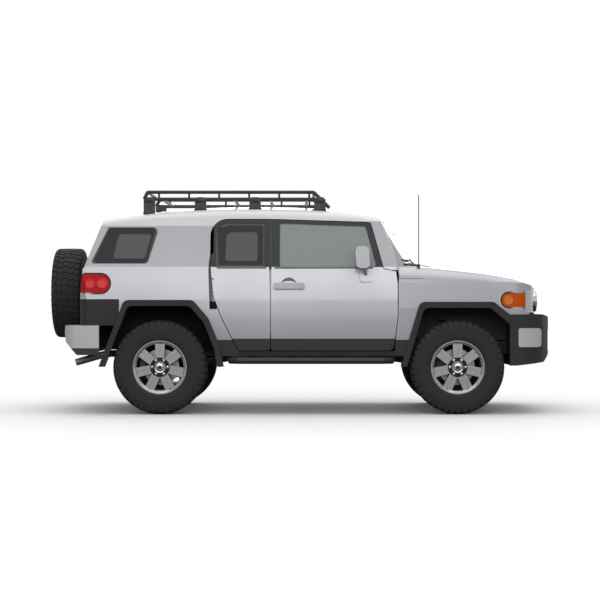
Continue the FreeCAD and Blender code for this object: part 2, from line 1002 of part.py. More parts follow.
def strap(start, run, length, half, low, high):
    """Flat bar from a point along a direction in plan."""
    side = V(-run.y, run.x, 0)
    end = start.add(V(run).multiply(length))
    corners = [start.add(V(side).multiply(half)), end.add(V(side).multiply(half))]
    corners += [end.sub(V(side).multiply(half)), start.sub(V(side).multiply(half))]
    return slab([(c.x, c.y) for c in corners], "z", low, high)


def hinge_strap(axis, past, inward, lean_deg, length, z):
    """Hinge strap with its eye and pin, fixed to the body."""
    lean = math.radians(lean_deg)
    run = V(past).multiply(math.cos(lean)).add(V(inward).multiply(math.sin(lean)))
    low = z - strap_t / 2
    high = z + strap_t / 2
    eye = Part.makeCylinder(eye_r, strap_t, V(axis.x, axis.y, low))
    pin = Part.makeCylinder(pin_r, 2 * pin_half, V(axis.x, axis.y, z - pin_half))
    return [strap(axis, run, length, strap_half, low, high), eye, pin]


def hinge_slot(axis, past, inward, lean_deg, length, swing_deg, z):
    """Space a hinge strap needs inside the door as the door swings."""
    low = z - strap_t / 2 - move_gap
    high = z + strap_t / 2 + move_gap
    tools = [
        Part.makeCylinder(eye_r + move_gap, high - low, V(axis.x, axis.y, low)),
        Part.makeCylinder(
            pin_r + running_fit, 2 * (pin_half + pin_end_gap), V(axis.x, axis.y, z - pin_half - pin_end_gap)
        ),
    ]
    steps = math.ceil(swing_deg / rear_slant_deg)
    for i in range(steps + 1):
        lean = math.radians(lean_deg - swing_deg * i / steps)
        run = V(past).multiply(math.cos(lean)).add(V(inward).multiply(math.sin(lean)))
        tools.append(strap(axis, run, length, strap_half + move_gap, low, high))
    return tools


front_axis = V(front_hinge_x, door_hinge_y, 0)
rear_axis = V(rear_hinge_x, door_hinge_y, 0)
gate_axis = V(gate_hinge_x, gate_hinge_y, 0)


def front_door_slots():
    """Slots and pin bores of the front door's two hinges."""
    tools = []
    for z in front_hinge_heights:
        tools += hinge_slot(
            front_axis, V(1, 0, 0), V(0, -1, 0), front_strap_lean_deg, front_strap_l, front_swing_deg, z
        )
    return tools


def front_door_straps():
    """Hinge straps from the bulkhead to the front door's axis."""
    lean = math.radians(front_strap_lean_deg)
    parts = []
    for z in front_hinge_heights:
        parts += hinge_strap(front_axis, V(1, 0, 0), V(0, -1, 0), front_strap_lean_deg, front_strap_l, z)
        x = front_axis.x + front_strap_l * math.cos(lean)
        y = front_axis.y - front_strap_l * math.sin(lean)
        parts.append(
            block(
                x - strap_half,
                bulkhead_x,
                y - strap_half,
                y + strap_half,
                z - strap_t / 2,
                z + strap_t / 2,
            )
        )
    return parts


def rear_door_slots():
    """Slots and pin bores of the rear door's two hinges."""
    tools = []
    for z in rear_hinge_heights:
        tools += hinge_slot(
            rear_axis, V(-1, 0, 0), V(0, -1, 0), rear_strap_lean_deg, rear_strap_l, rear_swing_deg, z
        )
    return tools


def rear_door_straps():
    """Hinge straps from the body side to the rear door's axis."""
    lean = math.radians(rear_strap_lean_deg)
    parts = []
    for z in rear_hinge_heights:
        parts += hinge_strap(rear_axis, V(-1, 0, 0), V(0, -1, 0), rear_strap_lean_deg, rear_strap_l, z)
        x = rear_axis.x - rear_strap_l * math.cos(lean)
        y = rear_axis.y - rear_strap_l * math.sin(lean)
        parts.append(
            block(
                rear_strap_end_x,
                x + strap_half,
                y - strap_half,
                y + strap_half,
                z - strap_t / 2,
                z + strap_t / 2,
            )
        )
    return parts


def gate_strap(z):
    """One hinge strap of the tailgate, from the right corner post."""
    return hinge_strap(gate_axis, V(0, -1, 0), V(1, 0, 0), gate_strap_lean_deg, gate_strap_l, z)


def gate_slots():
    """Slots and pin bores of the tailgate's two hinges."""
    tools = []
    for z in (gate_hinge_low_z, gate_hinge_top_z):
        tools += hinge_slot(
            gate_axis, V(0, -1, 0), V(1, 0, 0), gate_strap_lean_deg, gate_strap_l, gate_swing_deg, z
        )
    return tools


def edge_trim(x, angle_deg, side):
    """Trim that follows the leaning side of the body: one wedge per height band."""
    lean = (belt_y - cant_y) / (cant_z - belt_z)
    slope = math.tan(math.radians(angle_deg))
    wires = []
    for z, y in (
        (belt_z, belt_y),
        (cant_z + overrun, belt_y - (cant_z + overrun - belt_z) * lean),
    ):
        deep = wall_high + overrun
        wires.append(
            Part.makePolygon(
                [
                    V(x, y, z),
                    V(x - side * overrun, y, z),
                    V(x - side * overrun, y - deep, z),
                    V(x + side * deep * slope, y - deep, z),
                    V(x, y, z),
                ]
            )
        )
    upper = loft(wires, True)
    deep = wall_low + overrun
    lower = slab(
        [
            (x, flank_y),
            (x - side * overrun, flank_y),
            (x - side * overrun, flank_y - deep),
            (x + side * deep * slope, flank_y - deep),
        ],
        "z",
        sill_z,
        belt_z,
    )
    return [lower, upper]


def front_doors(body):
    """Front doors: full-depth shells with their windows cut."""
    ahead = block(front_hinge_x - clad_short, bumper_x, 0, flank_y + overrun, 0, crown_z)
    band = cladding(front_door_points).cut(ahead)
    door = fused([body.half_shell.common(region(front_door_points)), band])
    door = door.cut(region(front_window_points))
    door = door.cut(edge_trim(split_x + panel_gap / 2, front_slant_deg, 1))
    door = door.cut(past_hinge(front_hinge_x, door_hinge_y, 1, front_round(0)))
    return biggest(door.cut(front_door_slots()))


def rear_doors(body):
    """Rear doors, hinged at their rear edge."""
    door = fused([body.half_shell.common(region(rear_door_points)), cladding(rear_door_points)])
    door = door.cut([region(rear_window_points), hip_relief()])
    door = door.cut(edge_trim(split_x - panel_gap / 2, rear_slant_deg, -1))
    door = door.cut(past_hinge(rear_hinge_x, door_hinge_y, -1, rear_round(0)))
    return biggest(door.cut(rear_door_slots()))


def side_glass(body, points):
    """Pane set in a side window's opening."""
    shrunk = grown(points, -glass_fit)
    return biggest(body.pane.common(shrunk).common(left_half()))


def door_clearance():
    """Space round both doors that the body panels stay out of."""
    return [
        grown(front_door_points, panel_gap),
        grown(rear_door_points, panel_gap),
        front_round(move_gap),
        rear_round(move_gap),
    ]


def gate_opening(gap):
    """Plan wedge and height of the tailgate, grown by a gap."""
    slope = math.tan(math.radians(gate_slant_deg))
    deep = 4 * rear_corner_r
    y = gate_half_w + gap
    wedge = slab(
        [
            (body_rear_x - overrun, -y - overrun * slope),
            (body_rear_x - overrun, y + overrun * slope),
            (body_rear_x + deep, y - deep * slope),
            (body_rear_x + deep, -y + deep * slope),
        ],
        "z",
        gate_low_z - gap,
        gate_top_z + gap,
    )
    return wedge


def quarter_panels(body):
    """Body sides behind the doors, with the corner posts beside the tailgate."""
    zone = region(
        [
            (body_rear_x - overrun, corner_clad_top_z),
            (corner_clad_front_x, corner_clad_top_z),
            (corner_clad_front_x, sill_z),
            (rear_door_low_x, sill_z),
            (split_x, sill_z),
            (split_x, roof_base_z),
            (body_rear_x - overrun, roof_base_z),
        ]
    )
    sill_zone = region(
        [
            (rear_door_low_x, sill_z - overrun),
            (split_x, sill_z - overrun),
            (split_x, door_low_z - panel_gap),
            (rear_door_low_x, door_low_z - panel_gap),
        ]
    )
    front_of_split = block(
        rear_door_x + 2.5 * rear_door_top_r,
        front_door_x,
        -flank_y,
        flank_y + overrun,
        sill_z,
        crown_z + overrun,
    )
    tools = door_clearance() + [
        body.rear_arch,
        region(quarter_window_points),
        gate_opening(gate_gap),
        sill_zone,
        front_of_split,
        tail_lamp_pocket(),
        mirrored(gate_round(move_gap)),
    ]
    panel = biggest(body.half_shell.common(zone).cut(tools))
    return biggest(fused([panel] + rear_door_straps()))


def tail_lamp_pocket(grow=0):
    """Space that a tail lamp takes at the corner of the body."""
    return slab(
        [
            (body_rear_x - overrun, tail_lamp_low_z - grow),
            (tail_lamp_x + grow, tail_lamp_low_z - grow, (tail_lamp_high_z - tail_lamp_low_z) / 2.2),
            (tail_lamp_x + grow, tail_lamp_high_z + grow, (tail_lamp_high_z - tail_lamp_low_z) / 2.2),
            (body_rear_x - overrun, tail_lamp_high_z + grow),
        ],
        "y",
        tail_lamp_in_y - grow,
        flank_y + overrun,
    )


def tail_lamps(body):
    """Corner lamps that wrap from the body side to the rear."""
    deep = cabin_form(tail_lamp_t, tail_lamp_t).common(tail_profile(tail_lamp_t))
    deep = deep.common(tail_plan(tail_lamp_t))
    return biggest(body.outer.cut(deep).common(tail_lamp_pocket(-glass_fit)))


def roof_panel(body):
    """Roof skin with its side bands, the front header and the rear lip."""
    tool = tail_profile(gate_t).common(screen_form(header_l))
    skin = roof_form(0).common(body.tool).cut(roof_form(wall_high).common(tool))
    front = block(
        frame_head_x - panel_gap,
        screen_foot_x + overrun,
        -flank_y,
        flank_y,
        roof_base_z - overrun,
        roof_front_base_z,
    )
    doors = door_clearance()
    return biggest(skin.cut([gate_opening(gate_gap), front] + doors + [mirrored(d) for d in doors[2:]]))


def pillars(body):
    """Windscreen pillars beside the glass."""
    post = body.outer.cut(cabin_form(pillar_depth, pillar_depth)).common(left_half())
    zone = region(
        [
            (frame_head_x - overrun, door_shoulder_z),
            (screen_foot_x + overrun, door_shoulder_z),
            (screen_foot_x + overrun, roof_front_base_z),
            (frame_head_x - overrun, roof_front_base_z),
        ]
    )
    behind = block(
        frame_head_x - 2 * overrun, frame_head_x - panel_gap, 0, flank_y, door_shoulder_z, crown_z
    )
    post = post.common(zone).cut(door_clearance() + [body.nose, behind])
    return biggest(post)


def windscreen(body):
    """Curved windscreen between the pillars, the roof and the cowl."""
    pane = screen_form(glass_inset).cut(screen_form(glass_inset + glass_t))
    inner = cabin_form(pillar_depth + glass_fit, pillar_depth + glass_fit)
    band = block(
        frame_head_x - overrun,
        screen_foot_x + overrun,
        -flank_y,
        flank_y,
        door_shoulder_z,
        roof_front_base_z,
    )
    return biggest(pane.common(inner).common(band).cut(body.nose))


def centre_pillars():
    """Posts behind the gap between the front and rear doors."""
    low = wall_low + move_gap
    high = wall_high + move_gap
    post = cabin_form(low, high, move_gap).cut(cabin_form(low + pillar_depth, high + pillar_depth))
    head_z = door_top_rear_z + panel_gap
    foot_z = floor_z + floor_t
    post = post.common(block(split_x - frame_w, split_x + frame_w, 0, flank_y, foot_z, head_z))
    head = cabin_form(wall_high - panel_gap, wall_high - panel_gap).cut(
        cabin_form(low + pillar_depth, high + pillar_depth)
    )
    head = head.common(
        block(split_x - frame_w, split_x + frame_w, 0, flank_y, head_z, head_z + frame_w / 2)
    )
    return biggest(fused([post, head.cut(roof_form(0).cut(roof_form(wall_high)))]))


def sills(body):
    """Outer sills under the doors."""
    low_form = cabin_form(0, 0).cut(cabin_form(wall_low, wall_low)).common(left_half())
    zone = region(
        [
            (rear_door_low_x, sill_z - overrun),
            (nose_rear_x, sill_z - overrun),
            (nose_rear_x, door_low_z - panel_gap),
            (rear_door_low_x, door_low_z - panel_gap),
        ]
    )
    return biggest(low_form.common(zone))


def corner_claddings(body):
    """Dark corner pieces between the body side and the rear bumper."""
    zone = region(
        [
            (body_rear_x - overrun, rear_bumper_top_z),
            (corner_clad_front_x, rear_bumper_top_z),
            (corner_clad_front_x, corner_clad_top_z),
            (body_rear_x - overrun, corner_clad_top_z),
        ]
    )
    tools = [
        body.rear_arch,
        gate_opening(gate_gap),
        gate_opening(gate_gap).translated(V(0, 0, -2 * gate_gap)),
        mirrored(gate_round(move_gap)),
    ]
    skin = body.half_shell.common(zone).cut(tools)
    return biggest(skin)


def tailgate(body):
    """Rear door with its window cut, as deep as the real one."""
    gate = body.shell.common(gate_opening(0))
    gate = gate.common(
        block(
            body_rear_x - overrun,
            tail_top_x + gate_t + overrun,
            -flank_y,
            flank_y,
            gate_low_z,
            gate_top_z,
        )
    )
    window = gate_window(0)
    reach = 4 * gate_clip_r
    past = block(
        gate_hinge_x - reach,
        gate_hinge_x + reach,
        gate_hinge_y - reach,
        gate_hinge_y,
        0,
        gate_glass_low_z,
    ).cut(gate_round(0))
    return biggest(gate.cut([window, past] + gate_slots()))


def gate_window(shrink):
    """Opening of the tailgate's window, seen from the rear."""
    y = gate_half_w - gate_glass_side - shrink
    top_y = gate_top_half_w - 2 * gate_glass_side - shrink
    return slab(
        [
            (-y, gate_glass_low_z + shrink, gate_corner_r),
            (y, gate_glass_low_z + shrink, gate_corner_r),
            (top_y, gate_glass_top_z - shrink, gate_corner_r),
            (-top_y, gate_glass_top_z - shrink, gate_corner_r),
        ],
        "x",
        body_rear_x - overrun,
        tail_top_x + gate_t + 2 * overrun,
    )


def gate_glass():
    """Pane in the tailgate's window."""
    pane = tail_profile(glass_inset).cut(tail_profile(glass_inset + glass_t))
    return biggest(pane.common(gate_window(glass_fit)))


def flares(body):
    """Wide wheel-arch flares with their legs."""
    made = []
    side = block(
        body_rear_x - overrun,
        rear_door_low_x,
        sill_y - flare_skin,
        flank_y + flare_out,
        flare_low_z,
        rear_arch_top_z + flare_w,
    )
    ring = slab(
        arch_points(rear_arch_shares, rear_arch_rear_x, rear_arch_front_x, rear_arch_top_z, flare_w),
        "y",
        0,
        flank_y + 2 * flare_out,
    )
    rear = side.common(ring).cut([body.rear_arch, grown(rear_door_points, panel_gap), cabin_form(0, 0)])
    made.append(biggest(rear))
    plank = block(
        nose_rear_x - overrun,
        bumper_rear_x,
        nose_y - nose_skin - flare_skin,
        nose_y + flare_out,
        flare_low_z,
        front_arch_top_z + flare_w,
    )
    ring = slab(
        arch_points(front_arch_shares, front_arch_rear_x, front_arch_front_x, front_arch_top_z, flare_w),
        "y",
        0,
        flank_y + 2 * flare_out,
    )
    front = plank.common(ring).cut([body.front_arch, grown(front_door_points, panel_gap), body.nose])
    made.append(biggest(front))
    return made


def bonnet_zone(gap):
    """Space of the bonnet, grown by a gap; its rear face leans forward going down."""
    high = nose_crown_z + overrun
    low = bonnet_lip_z - gap
    lean = math.tan(math.radians(bonnet_break_deg))
    shift = gap / math.cos(math.radians(bonnet_break_deg))
    return slab(
        [
            (bonnet_rear_x - shift - (high - nose_crown_z) * lean, high),
            (bonnet_rear_x - shift + (nose_crown_z - low) * lean, low),
            (nose_front_x + overrun, low),
            (nose_front_x + overrun, high),
        ],
        "y",
        -bonnet_y - gap,
        bonnet_y + gap,
    )


def bonnet(body):
    """Bonnet skin with its two hinge arms."""
    skin = biggest(body.nose_shell.common(bonnet_zone(0)))
    arms = []
    for side in (-1, 1):
        low = side * bonnet_arm_y - bonnet_arm_w / 2
        high = side * bonnet_arm_y + bonnet_arm_w / 2
        axis = V(bonnet_hinge_x, low, bonnet_hinge_z)
        arms.append(Part.makeCylinder(eye_r, bonnet_arm_w, axis, V(0, 1, 0)))
        arms.append(
            slab(
                [
                    (bonnet_hinge_x, bonnet_hinge_z + strap_half),
                    (bonnet_hinge_x, bonnet_hinge_z - eye_r),
                    (bonnet_arm_end_x, bonnet_arm_end_z - eye_r),
                    (bonnet_arm_end_x, bonnet_arm_end_z + eye_r),
                ],
                "y",
                low,
                high,
            )
        )
    bore = Part.makeCylinder(
        pin_r + running_fit, 2 * bonnet_y, V(bonnet_hinge_x, -bonnet_y, bonnet_hinge_z), V(0, 1, 0)
    )
    return biggest(fused([skin] + arms).cut(bore))


def bonnet_pin():
    """Hinge pin of the bonnet, held by the left front wing."""
    low = bonnet_arm_y - bonnet_arm_w / 2
    return rod(
        V(bonnet_hinge_x, low, bonnet_hinge_z),
        V(bonnet_hinge_x, bonnet_y + panel_gap + overrun / 2, bonnet_hinge_z),
        pin_r,
    )


def bonnet_arm_space():
    """Notch that the cowl leaves for a bonnet hinge arm."""
    return block(
        bonnet_hinge_x - eye_r - move_gap,
        bonnet_rear_x + overrun,
        bonnet_arm_y - bonnet_arm_w / 2 - move_gap,
        bonnet_y + overrun,
        bonnet_lip_z,
        nose_crown_z + overrun,
    )


def wings(body):
    """Front wings with the ledge beside the bonnet."""
    zone = region(
        [
            (front_door_x + panel_gap, sill_z),
            (bumper_rear_x, sill_z),
            (bumper_rear_x, bumper_top_z),
            (nose_front_x + overrun, bumper_top_z),
            (nose_front_x + overrun, nose_crown_z + overrun),
            (front_door_x + panel_gap, nose_crown_z + overrun),
        ]
    )
    tools = [
        bonnet_zone(panel_gap),
        body.front_arch,
        lamp_zone(0),
        amber_zone(0),
        front_round(move_gap),
        block(
            nose_rear_x - overrun,
            nose_front_x + overrun,
            -bonnet_y,
            bonnet_y - overrun / 2,
            sill_z - 2 * overrun,
            nose_crown_z + overrun,
        ),
    ]
    tools.append(cowl_zone())
    skin = biggest(body.nose_shell.common(zone).common(left_half()).cut(tools))
    foot = cabin_form(0, 0).cut(cabin_form(nose_skin, nose_skin)).common(
        block(
            front_door_low_x,
            front_door_x + 2 * panel_gap,
            0,
            flank_y,
            door_low_z - panel_gap,
            front_arch_top_z,
        )
    )
    foot = foot.cut([front_round(move_gap), grown(front_door_points, panel_gap)])
    wing = fused([skin, biggest(foot), bonnet_pin()])
    return biggest(wing.cut(wheel_sweep()))


def cowl_zone():
    """Space of the cowl between the bonnet and the windscreen."""
    return block(
        nose_rear_x - overrun,
        bonnet_rear_x + overrun,
        -bonnet_y - panel_gap,
        bonnet_y + panel_gap,
        door_shoulder_z - overrun,
        nose_crown_z + overrun,
    ).cut(bonnet_zone(panel_gap))


def cowl(body):
    """Cowl panel under the windscreen."""
    return biggest(body.nose_shell.common(cowl_zone()).cut([screen_form(0)] + both(bonnet_arm_space())))


def lamp_zone(shrink):
    """Space of one headlamp, seen from the front."""
    return slab(
        [
            (lamp_in_y + shrink, lamp_low_z + shrink),
            (nose_y + overrun, lamp_low_z + shrink),
            (nose_y + overrun, lamp_high_z - shrink),
            (lamp_in_y + shrink, lamp_high_z - shrink),
        ],
        "x",
        lamp_rear_x + shrink,
        nose_front_x + overrun,
    )


def amber_zone(shrink):
    """Space of one amber side lamp, seen from the side."""
    high = amber_high_z - amber_low_z
    return slab(
        [
            (amber_rear_x + shrink, amber_low_z + shrink, high / 2.2),
            (amber_front_x - shrink, amber_low_z + shrink),
            (amber_front_x - shrink, amber_high_z - shrink),
            (amber_rear_x + shrink, amber_high_z - shrink, high / 2.2),
        ],
        "y",
        nose_cheek_y,
        nose_y + overrun,
    )


def headlamps(body):
    """Headlamps at the front corners."""
    lamp = body.nose.cut(nose_form(lamp_depth)).common(lamp_zone(glass_fit))
    return biggest(lamp)


def amber_lamps(body):
    """Amber side lamps between headlamp and wheel arch."""
    lamp = body.nose.cut(nose_form(nose_skin)).common(amber_zone(glass_fit))
    return biggest(lamp)


def grille():
    """Radiator grille: a rim filled with bars and posts."""
    rim = block(
        grille_x - grille_t, grille_x, -grille_half_w, grille_half_w, grille_low_z, grille_high_z
    )
    hole = block(
        grille_x - grille_t - 1,
        grille_x + overrun,
        -grille_half_w + grille_rim,
        grille_half_w - grille_rim,
        grille_low_z + grille_rim,
        grille_high_z - grille_rim,
    )
    parts = [rim.cut(hole)]
    high = grille_high_z - grille_low_z - 2 * grille_rim
    for i in range(grille_bars):
        z = grille_low_z + grille_rim + high * (i + 1) / (grille_bars + 1)
        parts.append(
            block(
                grille_x - 0.8 * grille_t,
                grille_x - 0.1 * grille_t,
                -grille_half_w + grille_rim,
                grille_half_w - grille_rim,
                z - grille_bar_h / 2,
                z + grille_bar_h / 2,
            )
        )
    wide = 2 * (grille_half_w - grille_rim)
    for i in range(grille_posts):
        y = -grille_half_w + grille_rim + wide * (i + 1) / (grille_posts + 1)
        parts.append(
            block(
                grille_x - 0.9 * grille_t,
                grille_x - 0.5 * grille_t,
                y - grille_post_w / 2,
                y + grille_post_w / 2,
                grille_low_z + grille_rim,
                grille_high_z - grille_rim,
            )
        )
    return fused(parts)


def bumper_form(inset):
    """Outer form of the front bumper, or the same form inset."""
    side = slab(
        [
            (bumper_rear_x - overrun, bumper_low_z + inset - overrun / 2),
            (bumper_rear_x + overrun, bumper_low_z + inset - overrun / 2),
            (bumper_chin_x - inset, bumper_low_z + inset),
            (bumper_x - inset, intake_low_z + inset, overrun),
            (bumper_x - inset, bumper_lip_z - inset, overrun / 3),
            (bumper_cheek_x, bumper_top_z - inset),
            (bumper_rear_x - overrun, bumper_top_z - inset),
        ],
        "y",
        -bumper_y - overrun,
        bumper_y + overrun,
    )
    y = bumper_y - inset
    a = V(bumper_rear_x, -y, 0)
    b = V(insert_rear_x, -y, 0)
    c = V(bumper_cheek_x - inset, -bumper_cheek_y, 0)
    d = V(bumper_x - inset, 0, 0)
    mid = V((b.x + c.x) / 2 + overrun / 2, (b.y + c.y) / 2 - overrun / 2, 0)
    edges = [
        Part.makeLine(V(bumper_rear_x, y, 0), a),
        Part.makeLine(a, b),
        Part.Arc(b, mid, c).toShape(),
        Part.Arc(c, d, V(c.x, -c.y, 0)).toShape(),
        Part.Arc(V(c.x, -c.y, 0), V(mid.x, -mid.y, 0), V(b.x, y, 0)).toShape(),
        Part.makeLine(V(b.x, y, 0), V(bumper_rear_x, y, 0)),
    ]
    face = Part.Face(Part.Wire(Part.__sortEdges__(edges)))
    return side.common(face.extrude(V(0, 0, crown_z)))


def wheel_sweep():
    """Space that the steered front wheels sweep through."""
    r = math.hypot(tyre_r, half_track + tyre_w / 2 - kingpin_y) + move_gap
    return [Part.makeSphere(r, V(front_axle_x, side * kingpin_y, tyre_r)) for side in (-1, 1)]


def front_bumper(body):
    """Front bumper shell with its intake and fog-lamp pockets."""
    shell = bumper_form(0).cut(bumper_form(bumper_wall))
    intake = slab(
        [
            (-intake_half_w, intake_low_z, overrun / 2),
            (intake_half_w, intake_low_z, overrun / 2),
            (intake_half_w - overrun / 2, intake_high_z, overrun / 2),
            (-intake_half_w + overrun / 2, intake_high_z, overrun / 2),
        ],
        "x",
        bumper_chin_x - overrun,
        bumper_x + overrun,
    )
    behind_grille = block(
        bumper_rear_x - overrun,
        grille_x - grille_t,
        -lamp_in_y,
        lamp_in_y,
        intake_high_z,
        bumper_top_z + overrun,
    )
    tools = [intake, behind_grille] + wheel_sweep() + both(insert_zone(0))
    return biggest(shell.cut(tools))


def insert_zone(shrink):
    """Space of a bumper insert."""
    return slab(
        [
            (insert_rear_x + shrink, insert_low_z + shrink, overrun / 3),
            (insert_front_x - shrink, insert_low_z + shrink, overrun / 2),
            (insert_front_x - shrink, insert_high_z - shrink, overrun / 2),
            (insert_rear_x + shrink, insert_high_z - shrink, overrun / 3),
        ],
        "y",
        intake_half_w + overrun,
        bumper_y + overrun,
    )


def bumper_inserts():
    """Pale inserts at the bumper's corners, with the fog lamps' openings."""
    skin = bumper_form(glass_fit).cut(bumper_form(insert_t))
    hole = rod(
        V(bumper_rear_x, bumper_cheek_y - overrun, (insert_low_z + insert_high_z) / 2),
        V(bumper_x + overrun, bumper_cheek_y - overrun, (insert_low_z + insert_high_z) / 2),
        fog_r,
    )
    return biggest(skin.common(insert_zone(glass_fit)).cut(hole))


def rear_bumper_form(inset):
    """Outer form of the rear bumper, or the same form inset."""
    y = rear_bumper_y - inset
    x = rear_bumper_x + inset
    plan = slab(
        [
            (x, -y, rear_bumper_corner_r),
            (x, y, rear_bumper_corner_r),
            (rear_bumper_front_x, y),
            (rear_bumper_front_x, -y),
        ],
        "z",
        rear_bumper_low_z - overrun + inset,
        rear_bumper_top_z - inset,
    )
    side = slab(
        [
            (rear_bumper_front_x, rear_bumper_low_z + inset - overrun),
            (rear_bumper_x + 2 * overrun, rear_bumper_low_z + inset - overrun),
            (x + overrun / 4, rear_bumper_low_z + overrun + inset, overrun / 2),
            (x, rear_bumper_top_z - overrun, overrun / 3),
            (x + overrun / 6, rear_bumper_top_z - inset),
            (rear_bumper_front_x, rear_bumper_top_z - inset),
        ],
        "y",
        -rear_bumper_y - overrun,
        rear_bumper_y + overrun,
    )
    return plan.common(side)


def rear_bumper(body):
    """Rear bumper: low step in the middle, tall ends."""
    shell = rear_bumper_form(0).cut(rear_bumper_form(rear_bumper_wall))
    dip = block(
        rear_bumper_x - overrun,
        rear_bumper_front_x + overrun,
        -step_half_w,
        step_half_w,
        rear_bumper_step_z,
        rear_bumper_top_z + overrun,
    )
    below = block(
        rear_bumper_x + 3 * overrun,
        rear_bumper_front_x + overrun,
        rear_bumper_wall - rear_bumper_y,
        rear_bumper_y - rear_bumper_wall,
        0,
        rear_bumper_low_z + rear_bumper_wall,
    )
    receiver = block(
        rear_bumper_x - overrun,
        rear_bumper_front_x,
        -hitch_w / 2 - hitch_gap,
        hitch_w / 2 + hitch_gap,
        0,
        hitch_z + hitch_w / 2 + hitch_gap / 2,
    )
    ends = shell.cut([dip, body.rear_arch, below, receiver])
    step = block(
        rear_bumper_x + rear_bumper_wall,
        tail_low_x + gate_gap,
        -step_half_w - overrun / 2,
        step_half_w + overrun / 2,
        rear_bumper_step_z - rear_bumper_wall,
        rear_bumper_step_z,
    )
    return fused([biggest(ends), step])


# Wheels


def ring_of(points):
    """Solid turned about the Y axis from (radius, y) points."""
    wire = Part.makePolygon([V(0, y, r) for r, y in points + points[:1]])
    return Part.Face(wire).revolve(V(0, 0, 0), V(0, 1, 0), 360)


def tyre():
    """Tyre about the origin, its axle along Y, with lugs on both shoulders."""
    bead = rim_w / 2 - rim_lip_w
    half = tyre_w / 2
    tread = tread_w / 2
    base_r = tyre_r - lug_depth
    body = ring_of(
        [
            (bead_r, -bead),
            (rim_lip_r + glass_fit, -bead),
            (rim_lip_r + lug_depth, -half + lug_depth),
            (bead_r + (tyre_r - bead_r) * sidewall_share, -half),
            (base_r - lug_depth, -tread - lug_depth / 4),
            (base_r, -tread + lug_depth),
            (base_r, tread - lug_depth),
            (base_r - lug_depth, tread + lug_depth / 4),
            (bead_r + (tyre_r - bead_r) * sidewall_share, half),
            (rim_lip_r + lug_depth, half - lug_depth),
            (rim_lip_r + glass_fit, bead),
            (bead_r, bead),
        ]
    )
    lugs = []
    step = 360 / lug_count
    for i in range(lug_count):
        for side, turn in ((1, 0), (-1, step / 2)):
            lug = slab(
                [
                    (side * (tread - lug_reach), base_r - lug_depth / 2),
                    (side * (tread + lug_depth / 5), base_r - 1.6 * lug_depth),
                    (side * (tread - lug_depth / 3), tyre_r),
                    (side * (tread - lug_reach), tyre_r),
                ],
                "x",
                -lug_width,
                lug_width,
            )
            trim = block(
                -lug_width * lug_fill_share, lug_width * lug_fill_share, -half, half, 0, 2 * tyre_r
            )
            lug = lug.common(trim)
            lug.rotate(V(0, 0, 0), V(0, 1, 0), step * i + turn)
            lugs.append(lug)
    keep = Part.makeCylinder(tyre_r, tyre_w, V(0, -half, 0), V(0, 1, 0))
    return biggest(body.fuse(Part.makeCompound(lugs).common(keep)).removeSplitter())


def rim(with_disc):
    """Seven-spoke rim about the origin, outer face toward +Y."""
    lip = rim_w / 2
    bead = lip - rim_lip_w
    seat = bead_r - glass_fit
    barrel = ring_of(
        [
            (rim_drop_r, -lip),
            (rim_lip_r, -lip),
            (rim_lip_r, -bead - glass_fit),
            (seat, -bead - glass_fit),
            (seat, bead + glass_fit),
            (rim_lip_r, bead + glass_fit),
            (rim_lip_r, lip),
            (rim_lip_r - rim_wall, lip),
            (rim_drop_r, lip - spoke_inset),
        ]
    )
    face = lip - spoke_inset
    spokes = []
    for i in range(spoke_count):
        spoke = slab(
            [
                (-spoke_root_w / 2, hub_r * 0.7),
                (spoke_root_w / 2, hub_r * 0.7),
                (spoke_tip_w / 2, rim_drop_r + rim_wall / 2),
                (-spoke_tip_w / 2, rim_drop_r + rim_wall / 2),
            ],
            "y",
            face - spoke_depth,
            face,
        )
        groove = slab(
            [
                (-spoke_groove_w / 2, hub_r * 1.12),
                (spoke_groove_w / 2, hub_r * 1.12),
                (spoke_groove_w / 2, rim_drop_r + overrun, 0),
                (-spoke_groove_w / 2, rim_drop_r + overrun, 0),
            ],
            "y",
            face - spoke_groove_depth,
            face + overrun,
        )
        spoke = spoke.cut(groove)
        spoke.rotate(V(0, 0, 0), V(0, 1, 0), 360 / spoke_count * i)
        spokes.append(spoke)
    hub = Part.makeCylinder(hub_r, spoke_depth + hub_back, V(0, face - spoke_depth - hub_back, 0), V(0, 1, 0))
    cap = Part.makeCylinder(cap_r, cap_rise + spoke_depth, V(0, face - spoke_depth, 0), V(0, 1, 0))
    parts = [barrel, hub, cap] + spokes
    for i in range(lug_nut_count):
        nut = Part.makeCylinder(
            lug_nut_r, 2 * spoke_groove_depth, V(0, face - spoke_groove_depth, lug_nut_circle_r), V(0, 1, 0)
        )
        nut.rotate(V(0, 0, 0), V(0, 1, 0), 360 / lug_nut_count * (i + 0.5))
        parts.append(nut)
    if with_disc:
        back = disc_inset - disc_w
        neck_l = face - spoke_depth + disc_inset
        neck = Part.makeCylinder(hub_r * 0.8, neck_l, V(0, -disc_inset, 0), V(0, 1, 0))
        parts.append(neck)
        parts.append(Part.makeCylinder(disc_r, disc_w, V(0, -disc_inset, 0), V(0, 1, 0)))
    whole = fused(parts)
    if with_disc:
        bore = Part.makeCylinder(
            spindle_r + running_fit, disc_inset + spindle_l, V(0, -disc_inset, 0), V(0, 1, 0)
        )
        whole = whole.cut(bore)
    return biggest(whole)


def at_wheel(shape, x, side):
    """Wheel piece put at one corner of the vehicle, outer face outboard."""
    piece = shape.copy() if side > 0 else mirrored(shape)
    piece.translate(V(x, side * half_track, tyre_r))
    return piece


def spare(shape):
    """Wheel piece put on the tailgate, outer face to the rear."""
    piece = shape.copy()
    piece.rotate(V(0, 0, 0), V(0, 0, 1), 90)
    piece.translate(V(spare_face_x + tyre_w / 2, spare_y, spare_z))
    return piece


